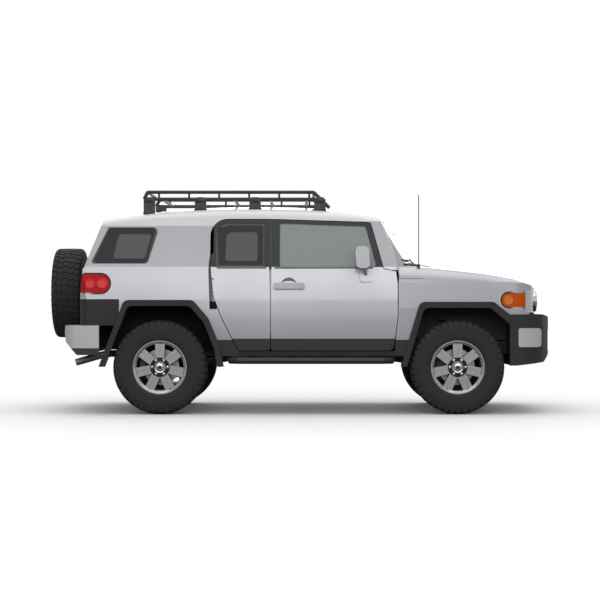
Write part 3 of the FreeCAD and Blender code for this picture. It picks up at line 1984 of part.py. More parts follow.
def spare_carrier(body):
    """Carrier between the tailgate's skin and the spare rim's hub."""
    face = spare_face_x + tyre_w / 2 - (rim_w / 2 - spoke_inset - spoke_depth) + hub_back
    stem = rod(V(face, spare_y, spare_z), V(tail_waist_x + gate_t / 2, spare_y, spare_z), spare_hub_r)
    arms = [
        block(
            face + hub_back,
            tail_waist_x + gate_t / 2,
            spare_y - spare_hub_r * 2,
            spare_y + spare_hub_r * 2,
            spare_z + rise - spare_hub_r / 3,
            spare_z + rise + spare_hub_r / 3,
        )
        for rise in (-spare_hub_r * 0.6, spare_hub_r * 0.6)
    ]
    return fused([stem] + arms).cut(body.outer)


# Suspension and chassis


def knuckle():
    """Left front knuckle: kingpin post, spindle and brake caliper."""
    x = front_axle_x
    w = knuckle_w / 2
    low = lower_arm_z + arm_t / 2 + arm_gap
    high = upper_arm_z - arm_t / 2 - arm_gap
    back = half_track - disc_inset - move_gap
    post = block(x - w, x + w, kingpin_y - w, min(kingpin_y + w, back), low, high)
    ears = [
        Part.makeCylinder(stud_r, arm_t * 1.2 + arm_gap, V(x, kingpin_y, low), V(0, 0, -1)),
        Part.makeCylinder(stud_r, arm_t * 1.2 + arm_gap, V(x, kingpin_y, high), V(0, 0, 1)),
    ]
    hub = rod(V(x, kingpin_y - w, tyre_r), V(x, half_track - disc_inset + spindle_l, tyre_r), spindle_r)
    return biggest(fused([post, hub] + ears + caliper(x)))


def caliper(x):
    """Brake caliper behind the disc's rear edge, open where the disc runs."""
    slot = move_gap
    inner = half_track - disc_inset - slot
    outer = half_track - disc_inset + disc_w + slot
    depth = caliper_w
    bodyc = block(
        x - disc_r - caliper_lap,
        x - disc_r + caliper_len,
        inner - depth,
        outer + depth,
        tyre_r - caliper_h / 2,
        tyre_r + caliper_h / 2,
    )
    disc = Part.makeCylinder(
        disc_r + slot, disc_w + 2 * slot, V(x, half_track - disc_inset - slot, tyre_r), V(0, 1, 0)
    )
    lug = block(
        x - disc_r,
        x,
        inner - depth,
        inner,
        tyre_r - caliper_h / 4,
        tyre_r + caliper_h / 4,
    )
    return [bodyc.cut(disc), lug]


def arm(z, inner_y):
    """One wishbone of the left front suspension."""
    x = front_axle_x
    legs = []
    for side in (-1, 1):
        legs.append(
            slab(
                [
                    (x + side * (arm_spread - arm_end_w / 5), inner_y),
                    (x + side * (arm_spread + arm_end_w / 5), inner_y),
                    (x + side * ball_r * 0.9, kingpin_y),
                    (x - side * ball_r / 3, kingpin_y),
                ],
                "z",
                z - arm_t / 2,
                z + arm_t / 2,
            )
        )
    end = Part.makeCylinder(ball_r, arm_t, V(x, kingpin_y, z - arm_t / 2), V(0, 0, 1))
    bore = Part.makeCylinder(stud_r + running_fit, 2 * arm_t, V(x, kingpin_y, z - arm_t), V(0, 0, 1))
    bush = rod(
        V(x - arm_spread - arm_end_w / 2, inner_y, z),
        V(x + arm_spread + arm_end_w / 2, inner_y, z),
        arm_t * 0.7,
    )
    return biggest(fused(legs + [end, bush]).cut(bore))


def front_suspension():
    """Wishbones and coil-over dampers of the front axle."""
    lower = arm(lower_arm_z, arm_in_y)
    upper = arm(upper_arm_z, rail_out_y + arm_t)
    foot = V(front_axle_x - strut_back, strut_y, lower_arm_z)
    head = V(front_axle_x - strut_back, strut_y, tower_z)
    strut = rod(foot, head, damper_r)
    coil = rod(V(foot.x, foot.y, tyre_r + 2 * damper_r), V(foot.x, foot.y, tower_z - damper_r), coil_r)
    cross = slab(
        [
            (front_axle_x - arm_spread, arm_in_y),
            (front_axle_x + arm_spread, arm_in_y),
            (front_axle_x + ball_r / 2, kingpin_y),
            (front_axle_x - ball_r / 2, kingpin_y),
        ],
        "z",
        lower_arm_z - arm_t / 2,
        lower_arm_z + arm_t / 2,
    ).common(block(foot.x - arm_spread, foot.x + 2 * arm_spread, foot.y - coil_r, foot.y + coil_r, 0, tyre_r))
    low = fused([lower, cross, strut, coil])
    return both(biggest(low)) + both(upper)


def rear_axle():
    """Live rear axle: tube, differential, flanges, calipers and spindles."""
    x = rear_axle_x
    back = half_track - disc_inset - move_gap
    tube = rod(V(x, -back, tyre_r), V(x, back, tyre_r), axle_r)
    pumpkin = Part.makeSphere(diff_r, V(x, 0, tyre_r)).common(
        block(x - diff_r, x + diff_r, -diff_l / 2, diff_l / 2, 0, 2 * tyre_r)
    )
    nose = rod(V(x, 0, tyre_r), V(x + diff_r * 1.5, 0, tyre_r), axle_r * 1.1)
    ends = []
    for side in (-1, 1):
        ends.append(
            rod(V(x, side * (back - flange_t), tyre_r), V(x, side * back, tyre_r), axle_r * 1.7)
        )
        ends.append(
            rod(
                V(x, side * (back - flange_t), tyre_r),
                V(x, side * (half_track - disc_inset + spindle_l), tyre_r),
                spindle_r,
            )
        )
        pad = block(
            x - spring_r,
            x + spring_r,
            side * spring_y - spring_r,
            side * spring_y + spring_r,
            tyre_r,
            tyre_r + axle_r + pad_t,
        )
        ends.append(pad)
        for piece in caliper(x):
            ends.append(piece if side > 0 else mirrored(piece))
    return biggest(fused([tube, pumpkin, nose] + ends))


def rear_suspension(axle):
    """Rear coil springs, dampers and trailing links."""
    made = []
    top = kick_low_z + (kick_high_z - kick_low_z) / 2
    for side in (-1, 1):
        foot_z = tyre_r + axle_r + pad_t
        made.append(
            Part.makeCylinder(spring_r * 0.9, top - foot_z - pad_t, V(rear_axle_x, side * spring_y, foot_z))
        )
        made.append(
            rod(
                V(rear_axle_x + axle_r + link_r, side * link_y, tyre_r - axle_r / 2),
                V(link_front_x, side * link_y, frame_low_z - link_r),
                link_r,
            )
        )
        damper = rod(
            V(rear_axle_x - axle_r - damper_r, side * (spring_y + spring_r), tyre_r),
            V(rear_axle_x - 2 * spring_r, side * (rail_out_y + damper_r), kick_high_z - damper_r),
            damper_r,
        )
        made.append(biggest(damper.cut(axle)))
    return made


def rail_points():
    """Side view of one frame rail, kicked up over the rear axle."""
    h = frame_high_z - frame_low_z
    return [
        (frame_rear_x, kick_low_z - h / 3),
        (kick_rear_x, kick_low_z - h / 3, 2 * overrun),
        (kick_rear_x + kick_run, kick_high_z - h, 2 * overrun),
        (kick_front_x - kick_run, kick_high_z - h, 2 * overrun),
        (kick_front_x, frame_low_z, 2 * overrun),
        (frame_front_x, frame_low_z),
        (frame_front_x, frame_high_z),
        (kick_front_x + h / 2, frame_high_z, 2 * overrun),
        (kick_front_x - kick_run + h / 2, kick_high_z, 2 * overrun),
        (kick_rear_x + kick_run - h / 3, kick_high_z, 2 * overrun),
        (kick_rear_x - h / 3, kick_low_z + 2 * h / 3, 2 * overrun),
        (frame_rear_x, kick_low_z + 2 * h / 3),
    ]


def frame_rails():
    """Frame rails with their body mounts, towers, spring seats and hangers."""
    parts = [slab(rail_points(), "y", rail_in_y, rail_out_y)]
    for x in mount_places:
        low = frame_high_z - frame_wall
        high = floor_z
        if x < cargo_front_x:
            low = kick_low_z
            high = cargo_z - floor_t
        parts.append(Part.makeCylinder(mount_r, high - low, V(x, (rail_in_y + rail_out_y) / 2, low)))
    parts.append(bracket(front_axle_x, arm_in_y, lower_arm_z, frame_low_z + frame_wall))
    tower = block(
        front_axle_x - strut_back - tower_w / 2,
        front_axle_x - strut_back + tower_w / 2,
        rail_out_y - frame_wall,
        strut_y + coil_r,
        tower_z,
        tower_z + frame_wall,
    )
    leg = block(
        front_axle_x - strut_back - tower_w / 2,
        front_axle_x - strut_back + tower_w / 2,
        rail_out_y - frame_wall,
        rail_out_y,
        frame_low_z + frame_wall,
        tower_z + frame_wall,
    )
    seat = block(
        rear_axle_x - spring_r,
        rear_axle_x + spring_r,
        rail_out_y - frame_wall,
        spring_y + spring_r,
        kick_low_z + (kick_high_z - kick_low_z) / 2 - pad_t,
        kick_high_z - frame_wall,
    )
    cradle_post = block(
        cradle_x - cradle_l / 2,
        cradle_x + cradle_l / 2,
        rail_in_y,
        rail_out_y,
        cradle_low_z + cradle_t,
        frame_low_z + frame_wall,
    )
    return both(biggest(fused(parts + [tower, leg, seat, cradle_post])))


def cross_tube(x):
    """Cross member between the rails, raised with them over the rear axle."""
    z = (frame_low_z + frame_high_z) / 2
    if kick_rear_x < x < kick_front_x - kick_run / 2:
        z = kick_high_z - (frame_high_z - frame_low_z) / 2
    return rod(V(x, -rail_in_y, z), V(x, rail_in_y, z), cross_r)


def cross_members():
    """Cross tubes, gearbox cradle and front beam between the rails."""
    cradle = block(
        cradle_x - cradle_l / 2,
        cradle_x + cradle_l / 2,
        -rail_out_y,
        rail_out_y,
        cradle_low_z,
        cradle_low_z + cradle_t,
    )
    beam = block(
        frame_front_x,
        bumper_x,
        -rail_out_y - overrun / 2,
        rail_out_y + overrun / 2,
        frame_low_z + frame_wall,
        frame_high_z - frame_wall,
    ).common(bumper_form(bumper_wall + glass_fit))
    return [cross_tube(x) for x in cross_places] + [cradle, biggest(beam)]


def hitch_receiver():
    """Square receiver tube behind the rear cross tube, with its pin hole."""
    tube = block(
        hitch_rear_x, cross_rear_x, -hitch_w / 2, hitch_w / 2, hitch_z - hitch_w / 2, hitch_z + hitch_w / 2
    )
    inner = hitch_w / 2 - hitch_wall
    socket = block(
        hitch_rear_x - hitch_wall, cross_rear_x + hitch_wall, -inner, inner, hitch_z - inner, hitch_z + inner
    )
    pin = rod(V(hitch_pin_x, -hitch_w, hitch_z), V(hitch_pin_x, hitch_w, hitch_z), hitch_pin_r)
    return biggest(tube.cut([socket, pin, cross_tube(cross_rear_x)]))


def bracket(x, y, z, top):
    """Hangers of a wishbone's bushes under the frame."""
    parts = []
    for out in (-1, 1):
        near = x + out * (arm_spread + arm_end_w / 2)
        far = near + out * frame_wall * 2
        parts.append(block(min(near, far), max(near, far), y - arm_t, y + arm_t * bush_share, z - arm_t, top))
    return Part.makeCompound(parts)


def powertrain():
    """Engine block with its mounts, gearbox and transfer case."""
    w = engine_w / 2
    block_points = [
        (-w * 0.55, engine_low_z, overrun / 2),
        (w * 0.55, engine_low_z, overrun / 2),
        (w, engine_low_z + engine_w / 2, overrun),
        (w * 0.8, engine_high_z, overrun / 2),
        (-w * 0.8, engine_high_z, overrun / 2),
        (-w, engine_low_z + engine_w / 2, overrun),
    ]
    engine = slab(block_points, "x", engine_rear_x, engine_rear_x + engine_l)
    box_z = gearbox_z
    gearbox = rod(V(gearbox_rear_x, 0, box_z), V(engine_rear_x + overrun, 0, box_z), gearbox_r)
    transfer = block(
        gearbox_rear_x - transfer_l / 2,
        gearbox_rear_x + transfer_l / 2,
        -gearbox_r,
        transfer_w * 1.5,
        box_z - gearbox_r,
        box_z + gearbox_r * 0.7,
    )
    foot = block(
        cradle_x - cradle_l / 3,
        cradle_x + cradle_l / 3,
        -gearbox_r / 2,
        gearbox_r / 2,
        cradle_low_z + cradle_t,
        box_z,
    )
    arms = [
        block(
            engine_rear_x + engine_l / 2 - overrun / 2,
            engine_rear_x + engine_l / 2 + overrun / 2,
            -rail_in_y,
            rail_in_y,
            engine_low_z,
            frame_high_z - frame_wall,
        ),
    ]
    return biggest(fused([engine, gearbox, transfer, foot] + arms))


def driveline():
    """Propeller shafts, front differential and its half shafts."""
    x = front_axle_x
    rear_x = gearbox_rear_x - transfer_l / 2
    nose_x = rear_axle_x + diff_r * 1.5
    rear = fused(
        [
            rod(V(rear_x, 0, gearbox_z), V(rear_x - flange_l, 0, gearbox_z), flange_r),
            rod(V(rear_x - flange_l / 2, 0, gearbox_z), V(nose_x + flange_l / 2, 0, tyre_r), shaft_r),
            rod(V(nose_x + flange_l, 0, tyre_r), V(nose_x, 0, tyre_r), flange_r),
        ]
    )
    case = Part.makeSphere(diff_r * 0.75, V(x, 0, front_diff_z)).common(
        block(x - diff_r, x + diff_r, -diff_l / 2, diff_l / 2, 0, 2 * tyre_r)
    )
    front_x = gearbox_rear_x + transfer_l / 2
    front_z = gearbox_z - gearbox_r / 2
    front = fused(
        [
            rod(V(front_x, transfer_w, front_z), V(front_x + flange_l, transfer_w, front_z), shaft_r),
            rod(
                V(front_x + flange_l / 2, transfer_w, front_z),
                V(x - diff_r * 0.6, transfer_w, front_diff_z),
                shaft_r * 0.8,
            ),
        ]
    )
    bridge = rod(V(x - diff_r * 0.6, transfer_w, front_diff_z), V(x, 0, front_diff_z), shaft_r)
    halves = [
        rod(V(x, 0, front_diff_z), V(x, side * (kingpin_y - knuckle_w - move_gap), tyre_r), shaft_r / 2)
        for side in (-1, 1)
    ]
    hangers = block(
        x - frame_wall,
        x + frame_wall,
        -rail_in_y,
        rail_in_y,
        front_diff_z + diff_r * 0.6,
        frame_low_z + frame_wall * 3,
    )
    return [biggest(rear), biggest(fused([case, front, bridge, hangers] + halves))]


def fuel_tank():
    """Fuel tank between the left rail and the rear propeller shaft."""
    z0 = frame_low_z - overrun
    tank = slab(
        [
            (tank_front_x - tank_l, z0, overrun / 2),
            (tank_front_x, z0, overrun / 2),
            (tank_front_x, z0 + tank_h, overrun / 2),
            (tank_front_x - tank_l, z0 + tank_h, overrun / 2),
        ],
        "y",
        rail_in_y - glass_fit - tank_w,
        rail_in_y - glass_fit,
    )
    return tank


def exhaust():
    """Exhaust pipe and silencer on the right, out behind the rear wheel."""
    y = -rail_in_y + muffler_r
    pipe_run = pipe(
        [
            V(engine_rear_x, y, exhaust_z),
            V(rear_axle_x + 2 * diff_r, y, exhaust_z),
            V(rear_axle_x, y, tyre_r + axle_r + exhaust_r * 2.2),
            V(rear_axle_x - 2 * diff_r, y, exhaust_z),
            V(rear_axle_x - 3.4 * diff_r, -exhaust_out_y, exhaust_z),
            V(exhaust_tip_x, -exhaust_out_y, exhaust_tip_z),
        ],
        exhaust_r,
        exhaust_r * 2,
    )
    muffler = rod(V(muffler_x - muffler_l, y, exhaust_z), V(muffler_x, y, exhaust_z), muffler_r)
    return biggest(fused([pipe_run, muffler]))


def body_floor(body):
    """Floor pan with tunnel, bulkhead, inner sills and rear wheel boxes."""
    inside = cabin_form(wall_low + seat_fit, wall_high + seat_fit)
    y = floor_y
    tail_x = tail_low_x + gate_t + gate_gap
    front = block(cargo_front_x, bulkhead_x, -y, y, floor_z, floor_z + floor_t)
    tunnel_out = block(
        tunnel_rear_x, bulkhead_x, -tunnel_w / 2, tunnel_w / 2, floor_z, tunnel_z
    )
    tunnel_in = block(
        tunnel_rear_x - overrun,
        bulkhead_x + 2 * overrun,
        -tunnel_w / 2 + floor_t,
        tunnel_w / 2 - floor_t,
        floor_z - overrun,
        tunnel_z - floor_t,
    )
    step = block(cargo_front_x - floor_t, cargo_front_x, -y, y, floor_z, cargo_z)
    cargo = block(tail_x, cargo_front_x, -y - overrun, y + overrun, cargo_z - floor_t, cargo_z)
    rear_wall = block(
        tail_x - gate_t,
        tail_x - gate_t + floor_t,
        seat_fit - step_half_w,
        step_half_w - seat_fit,
        rear_bumper_step_z - rear_bumper_wall,
        gate_low_z - gate_gap,
    )
    rear_link = block(
        tail_x - gate_t,
        tail_x + overrun / 2,
        seat_fit - step_half_w,
        step_half_w - seat_fit,
        gate_low_z - gate_gap - floor_t,
        gate_low_z - gate_gap,
    )
    riser = block(
        tail_x,
        tail_x + overrun / 2,
        seat_fit - step_half_w,
        step_half_w - seat_fit,
        gate_low_z - gate_gap - floor_t,
        cargo_z,
    )
    bulkhead = block(
        nose_rear_x + seat_fit, bulkhead_x + bulkhead_t, -nose_y, nose_y, floor_z, bulkhead_high_z
    ).common(nose_form(nose_skin + seat_fit))
    front_mouth = block(
        nose_rear_x - overrun,
        bulkhead_x + 2 * overrun,
        -tunnel_w / 2 + floor_t,
        tunnel_w / 2 - floor_t,
        floor_z - overrun,
        tunnel_z - floor_t,
    )
    inner_sills = both(
        block(
            cargo_front_x - floor_t,
            nose_rear_x,
            floor_y - inner_sill_w,
            floor_y,
            sill_z,
            floor_z + floor_t,
        )
    )
    bulkhead = bulkhead.cut(both(front_round(move_gap)))
    parts = [front, tunnel_out, step, cargo, rear_wall, rear_link, riser, bulkhead] + inner_sills
    whole = fused(parts).cut([tunnel_in, front_mouth])
    keep = fused([inside, block(bulkhead_x - overrun, nose_front_x, -nose_y, nose_y, 0, crown_z)])
    whole = whole.common(keep)
    arch_in = slab(
        arch_points(rear_arch_shares, rear_arch_rear_x, rear_arch_front_x, rear_arch_top_z, liner_gap),
        "y",
        wheel_box_y,
        flank_y + overrun,
    )
    arch_out = slab(
        arch_points(
            rear_arch_shares,
            rear_arch_rear_x,
            rear_arch_front_x,
            rear_arch_top_z,
            liner_gap + liner_t,
        ),
        "y",
        wheel_box_y - liner_t,
        flank_y + overrun,
    )
    above = block(tail_x, cargo_front_x + overrun, 0, flank_y, cargo_z - floor_t, crown_z)
    boxes = arch_out.common(inside).common(above)
    whole = fused([whole] + both(boxes))
    whole = whole.cut(both(arch_in))
    straps = [p for s in front_door_straps() for p in both(s)]
    return biggest(fused([biggest(whole)] + straps))


def inner_wings(body, frame):
    """Inner wings, front wheel liners and the radiator support."""
    x0 = bulkhead_x + bulkhead_t + seat_fit
    x1 = grille_x - grille_t - seat_fit
    apron = block(x0, x1, apron_y - liner_t, apron_y, apron_low_z, apron_high_z)
    ring = slab(
        arch_points(
            front_arch_shares,
            front_arch_rear_x,
            front_arch_front_x,
            front_arch_top_z,
            liner_gap + liner_t,
        ),
        "y",
        apron_y - liner_t,
        nose_y - nose_skin - seat_fit,
    ).cut(
        slab(
            arch_points(
                front_arch_shares,
                front_arch_rear_x,
                front_arch_front_x,
                front_arch_top_z,
                liner_gap,
            ),
            "y",
            0,
            nose_y + overrun,
        )
    )
    ring = ring.common(block(x0, bumper_rear_x + 2 * liner_gap, 0, nose_y, liner_low_z, crown_z))
    ring = ring.common(nose_form(nose_skin + seat_fit))
    post = block(
        x1 - support_w,
        x1,
        lamp_in_y - support_w,
        lamp_in_y - seat_fit,
        frame_high_z + seat_fit,
        bonnet_lip_z - 2 * panel_gap,
    )
    sides = [apron, ring, post]
    bars = [
        block(x1 - support_w, x1, -lamp_in_y + support_w / 2, lamp_in_y - support_w / 2, z, z + support_w)
        for z in (frame_high_z + seat_fit, bonnet_lip_z - 2 * panel_gap - support_w)
    ]
    radiator = block(
        x1 - 1.6 * support_w,
        x1 - 0.4 * support_w,
        -lamp_in_y + support_w,
        lamp_in_y - support_w,
        frame_high_z + support_w / 2,
        bonnet_lip_z - support_w,
    )
    parts = bars + [radiator]
    for s in sides:
        parts += both(s)
    whole = fused(parts)
    return biggest(whole.cut(wheel_sweep() + frame))


# Outer pieces


def mirror_left():
    """Door mirror: head, arm and the foot that lies on the door's skin."""
    half = mirror_len / 2
    head = slab(
        [
            (mirror_x - half, mirror_low_z, mirror_round_r),
            (mirror_x + half, mirror_low_z, mirror_round_r),
            (mirror_x + half * 0.8, mirror_high_z, mirror_round_r),
            (mirror_x - half, mirror_high_z, mirror_round_r / 2),
        ],
        "y",
        mirror_in_y,
        mirror_out_y,
    )
    foot = cabin_form(-mirror_foot_t, -mirror_foot_t).cut(cabin_form(0, 0)).common(
        block(
            mirror_foot_x - mirror_foot_l / 2,
            mirror_foot_x + mirror_foot_l / 2,
            0,
            flank_y + overrun,
            belt_z - mirror_foot_h - overrun / 2,
            belt_z - overrun / 2,
        )
    )
    start = V(mirror_foot_x, belt_y, belt_z - mirror_foot_h / 2 - overrun / 2)
    end = V(mirror_x, mirror_in_y + mirror_round_r, mirror_low_z + mirror_round_r)
    stem = rod(start, end, mirror_arm_r).cut(cabin_form(0, 0))
    return biggest(fused([head, foot, stem]))


def handle(front_x):
    """Flat bar handle with two feet on the door's skin."""
    low = handle_z - handle_h / 2
    high = handle_z + handle_h / 2
    rear_x = front_x - handle_l
    out_y = flank_y + handle_out
    bar = slab(
        [
            (rear_x, low, handle_round_r),
            (front_x, low, handle_round_r),
            (front_x, high, handle_round_r),
            (rear_x, high, handle_round_r),
        ],
        "y",
        out_y - handle_t,
        out_y,
    )
    feet = [
        block(
            x,
            x + handle_foot_l,
            flank_y - overrun / 2,
            out_y - handle_t / 2,
            low + handle_t / 2,
            high - handle_t / 2,
        )
        for x in (rear_x + handle_t / 2, front_x - handle_foot_l - handle_t / 2)
    ]
    return fused([bar] + feet).cut(cabin_form(overrun / 30, overrun / 30))


def cladding(points):
    """Thickened lower band of a door."""
    band = cabin_form(-clad_out, -clad_out).cut(cabin_form(overrun / 30, overrun / 30))
    zone = block(-bumper_x, bumper_x, 0, flank_y + overrun, sill_z, clad_top_z)
    return band.common(zone).common(region(points))


def rock_rail():
    """Tube rail along the left sill with its brackets to the frame."""
    rail = pipe(
        [
            V(rail_rear_x, rail_y - 2 * rail_r, rail_z),
            V(rail_rear_x + 3 * rail_r, rail_y, rail_z),
            V(rail_front_x - 3 * rail_r, rail_y, rail_z),
            V(rail_front_x, rail_y - 2 * rail_r, rail_z),
        ],
        rail_r,
        1.5 * rail_r,
    )
    inner = rod(
        V(rail_rear_x + rail_r, rail_y - 4 * rail_r, rail_z),
        V(rail_front_x - rail_r, rail_y - 4 * rail_r, rail_z),
        rail_r * 0.8,
    )
    arms = []
    run = rail_front_x - rail_rear_x
    for i in range(rail_brackets):
        x = rail_rear_x + run * (i + 0.5) / rail_brackets
        low = rail_z - rail_r / 2
        foot = block(
            x - rail_bracket_w / 2, x + rail_bracket_w / 2, rail_in_y, rail_y, low, low + rail_r
        )
        post = block(
            x - rail_bracket_w / 2,
            x + rail_bracket_w / 2,
            rail_in_y,
            rail_out_y,
            low,
            frame_low_z - seat_fit,
        )
        arms += [foot, post]
    return biggest(fused([rail, inner] + arms))


def roof_rack(body):
    """Roof rack: two tiers of rails, uprights, cross bars and feet."""
    parts = []
    y = rack_y
    skin = roof_form(0)
    for side in (-1, 1):
        top = pipe(
            [
                V(rack_rear_x, side * y, rack_low_z),
                V(rack_rear_x + 2 * rack_r, side * y, rack_top_z),
                V(rack_front_x - 6 * rack_r, side * y, rack_top_z),
                V(rack_front_x + 3 * rack_r, side * y, rack_low_z - 5 * rack_r),
            ],
            rack_r,
            1.6 * rack_r,
        )
        low = rod(
            V(rack_rear_x, side * y, rack_low_z), V(rack_front_x, side * y, rack_low_z), rack_r
        )
        parts += [top, low]
        for i in range(rack_posts):
            x = rack_rear_x + (rack_front_x - rack_rear_x) * (i + 0.5) / rack_posts
            parts.append(rod(V(x, side * y, rack_low_z), V(x, side * y, rack_top_z), rack_r * 0.6))
        for x in rack_foot_places:
            foot = block(
                x - rack_foot_l / 2,
                x + rack_foot_l / 2,
                side * y - rack_foot_w / 2,
                side * y + rack_foot_w / 2,
                crown_z - 2 * overrun,
                rack_low_z,
            )
            parts.append(foot)
    for i in range(rack_bars):
        x = rack_rear_x + (rack_front_x - rack_rear_x) * (i + 0.5) / rack_bars
        parts.append(rod(V(x, -y, rack_low_z), V(x, y, rack_low_z), rack_r * 0.8))
    for x, z in ((rack_rear_x + 2 * rack_r, rack_top_z), (rack_front_x - 6 * rack_r, rack_top_z)):
        parts.append(rod(V(x, -y, z), V(x, y, z), rack_r * 0.9))
    return biggest(fused(parts).cut(skin))


def aerial(body):
    """Rod aerial on the right front wing."""
    base = rod(
        V(aerial_x, aerial_y, nose_shoulder_z),
        V(aerial_x, aerial_y, nose_shoulder_z + aerial_base_h),
        aerial_base_r,
    )
    mast = rod(
        V(aerial_x, aerial_y, nose_shoulder_z), V(aerial_x, aerial_y, aerial_high_z), aerial_r
    )
    return biggest(fused([base, mast]).cut(body.nose))


# Interior


def seat(x, y, w, head_count):
    """Seat on its base: cushion, raked back and head rests."""
    base_z = floor_z + floor_t if x > cargo_front_x else cargo_z
    parts = [
        block(
            x - seat_l * 0.4,
            x + seat_l * 0.35,
            y - w * 0.35,
            y + w * 0.35,
            base_z,
            cushion_z - cushion_t + overrun / 4,
        )
    ]
    parts.append(
        slab(
            [
                (x - seat_l / 2, cushion_z - cushion_t, overrun / 2),
                (x + seat_l / 2, cushion_z - cushion_t + overrun / 3, overrun / 2),
                (x + seat_l / 2, cushion_z, overrun),
                (x - seat_l / 2, cushion_z - overrun / 3, overrun / 4),
            ],
            "y",
            y - w / 2,
            y + w / 2,
        )
    )
    back = slab(
        [
            (x - seat_l / 2 - back_t / 2, cushion_z - cushion_t / 2, overrun / 3),
            (x - seat_l / 2 + back_t / 2, cushion_z - cushion_t / 2, overrun / 3),
            (x - seat_l / 2 + back_t / 2.4, cushion_z + back_h, overrun / 2),
            (x - seat_l / 2 - back_t / 3, cushion_z + back_h, overrun / 2),
        ],
        "y",
        y - w / 2,
        y + w / 2,
    )
    heads = []
    for i in range(head_count):
        hy = y + w * ((i + 0.5) / head_count - 0.5)
        heads.append(
            block(
                x - seat_l / 2 - head_t / 2,
                x - seat_l / 2 + head_t / 2,
                hy - head_w / 2,
                hy + head_w / 2,
                cushion_z + back_h + head_gap,
                cushion_z + back_h + head_gap + head_h,
            )
        )
        heads.append(
            block(
                x - seat_l / 2 - head_t / 8,
                x - seat_l / 2 + head_t / 8,
                hy - head_w / 4,
                hy + head_w / 4,
                cushion_z + back_h - overrun,
                cushion_z + back_h + head_gap + overrun / 4,
            )
        )
    leaned = fused([back] + heads)
    leaned.rotate(V(x - seat_l / 2, 0, cushion_z), V(0, 1, 0), -back_lean_deg)
    return biggest(fused(parts + [leaned]))


def dashboard(body):
    """Dashboard with the steering column's stub and the centre console."""
    form = cabin_form(wall_low + 2 * move_gap, wall_low + 2 * move_gap)
    dash = slab(
        [
            (dash_front_x, dash_low_z),
            (dash_front_x, bulkhead_high_z - panel_gap),
            (dash_rear_x + overrun, dash_high_z, overrun),
            (dash_rear_x, dash_high_z - 2 * overrun, overrun / 2),
            (dash_rear_x + overrun, dash_low_z, overrun / 2),
        ],
        "y",
        -nose_y,
        nose_y,
    ).common(form)
    console = block(
        console_rear_x, dash_front_x, -console_w / 2, console_w / 2, tunnel_z, console_high_z
    )
    mount = block(
        dash_front_x - overrun, nose_rear_x, -dash_mount_w, dash_mount_w, dash_low_z, dash_high_z - overrun
    )
    lean = math.radians(helm_lean_deg)
    start = V(
        helm_x + (helm_rim_r + move_gap + helm_hub_t) * math.cos(lean),
        seat_y,
        helm_z - (helm_rim_r + move_gap + helm_hub_t) * math.sin(lean),
    )
    run = dash_front_x - overrun - start.x
    column = rod(start, V(start.x + run, seat_y, start.z - run * math.tan(lean)), helm_column_r)
    spindle_end = V(start.x + helm_hub_t, seat_y, start.z - helm_hub_t * math.tan(lean))
    spindle = rod(V(helm_x, seat_y, helm_z), spindle_end, helm_spindle_r)
    return biggest(fused([dash, console, column, mount, spindle]))


def steering_wheel():
    """Steering wheel: rim, hub and three spokes, on its leaning axis."""
    rim_ring = Part.makeTorus(helm_r - helm_rim_r, helm_rim_r, V(0, 0, 0), V(1, 0, 0))
    hub = rod(V(-helm_hub_t / 2, 0, 0), V(helm_hub_t, 0, 0), helm_hub_r)
    spokes = []
    for angle in (90, 180, 270):
        spoke = block(-helm_rim_r / 2, helm_rim_r / 2, -helm_rim_r, helm_rim_r, 0, helm_r - helm_rim_r)
        spoke.rotate(V(0, 0, 0), V(1, 0, 0), angle)
        spokes.append(spoke)
    bore = rod(V(-seat_fit, 0, 0), V(2 * helm_hub_t, 0, 0), helm_spindle_r + running_fit)
    whole = fused([rim_ring, hub] + spokes).cut(bore)
    whole.rotate(V(0, 0, 0), V(0, 1, 0), helm_lean_deg)
    whole.translate(V(helm_x, seat_y, helm_z))
    return biggest(whole)


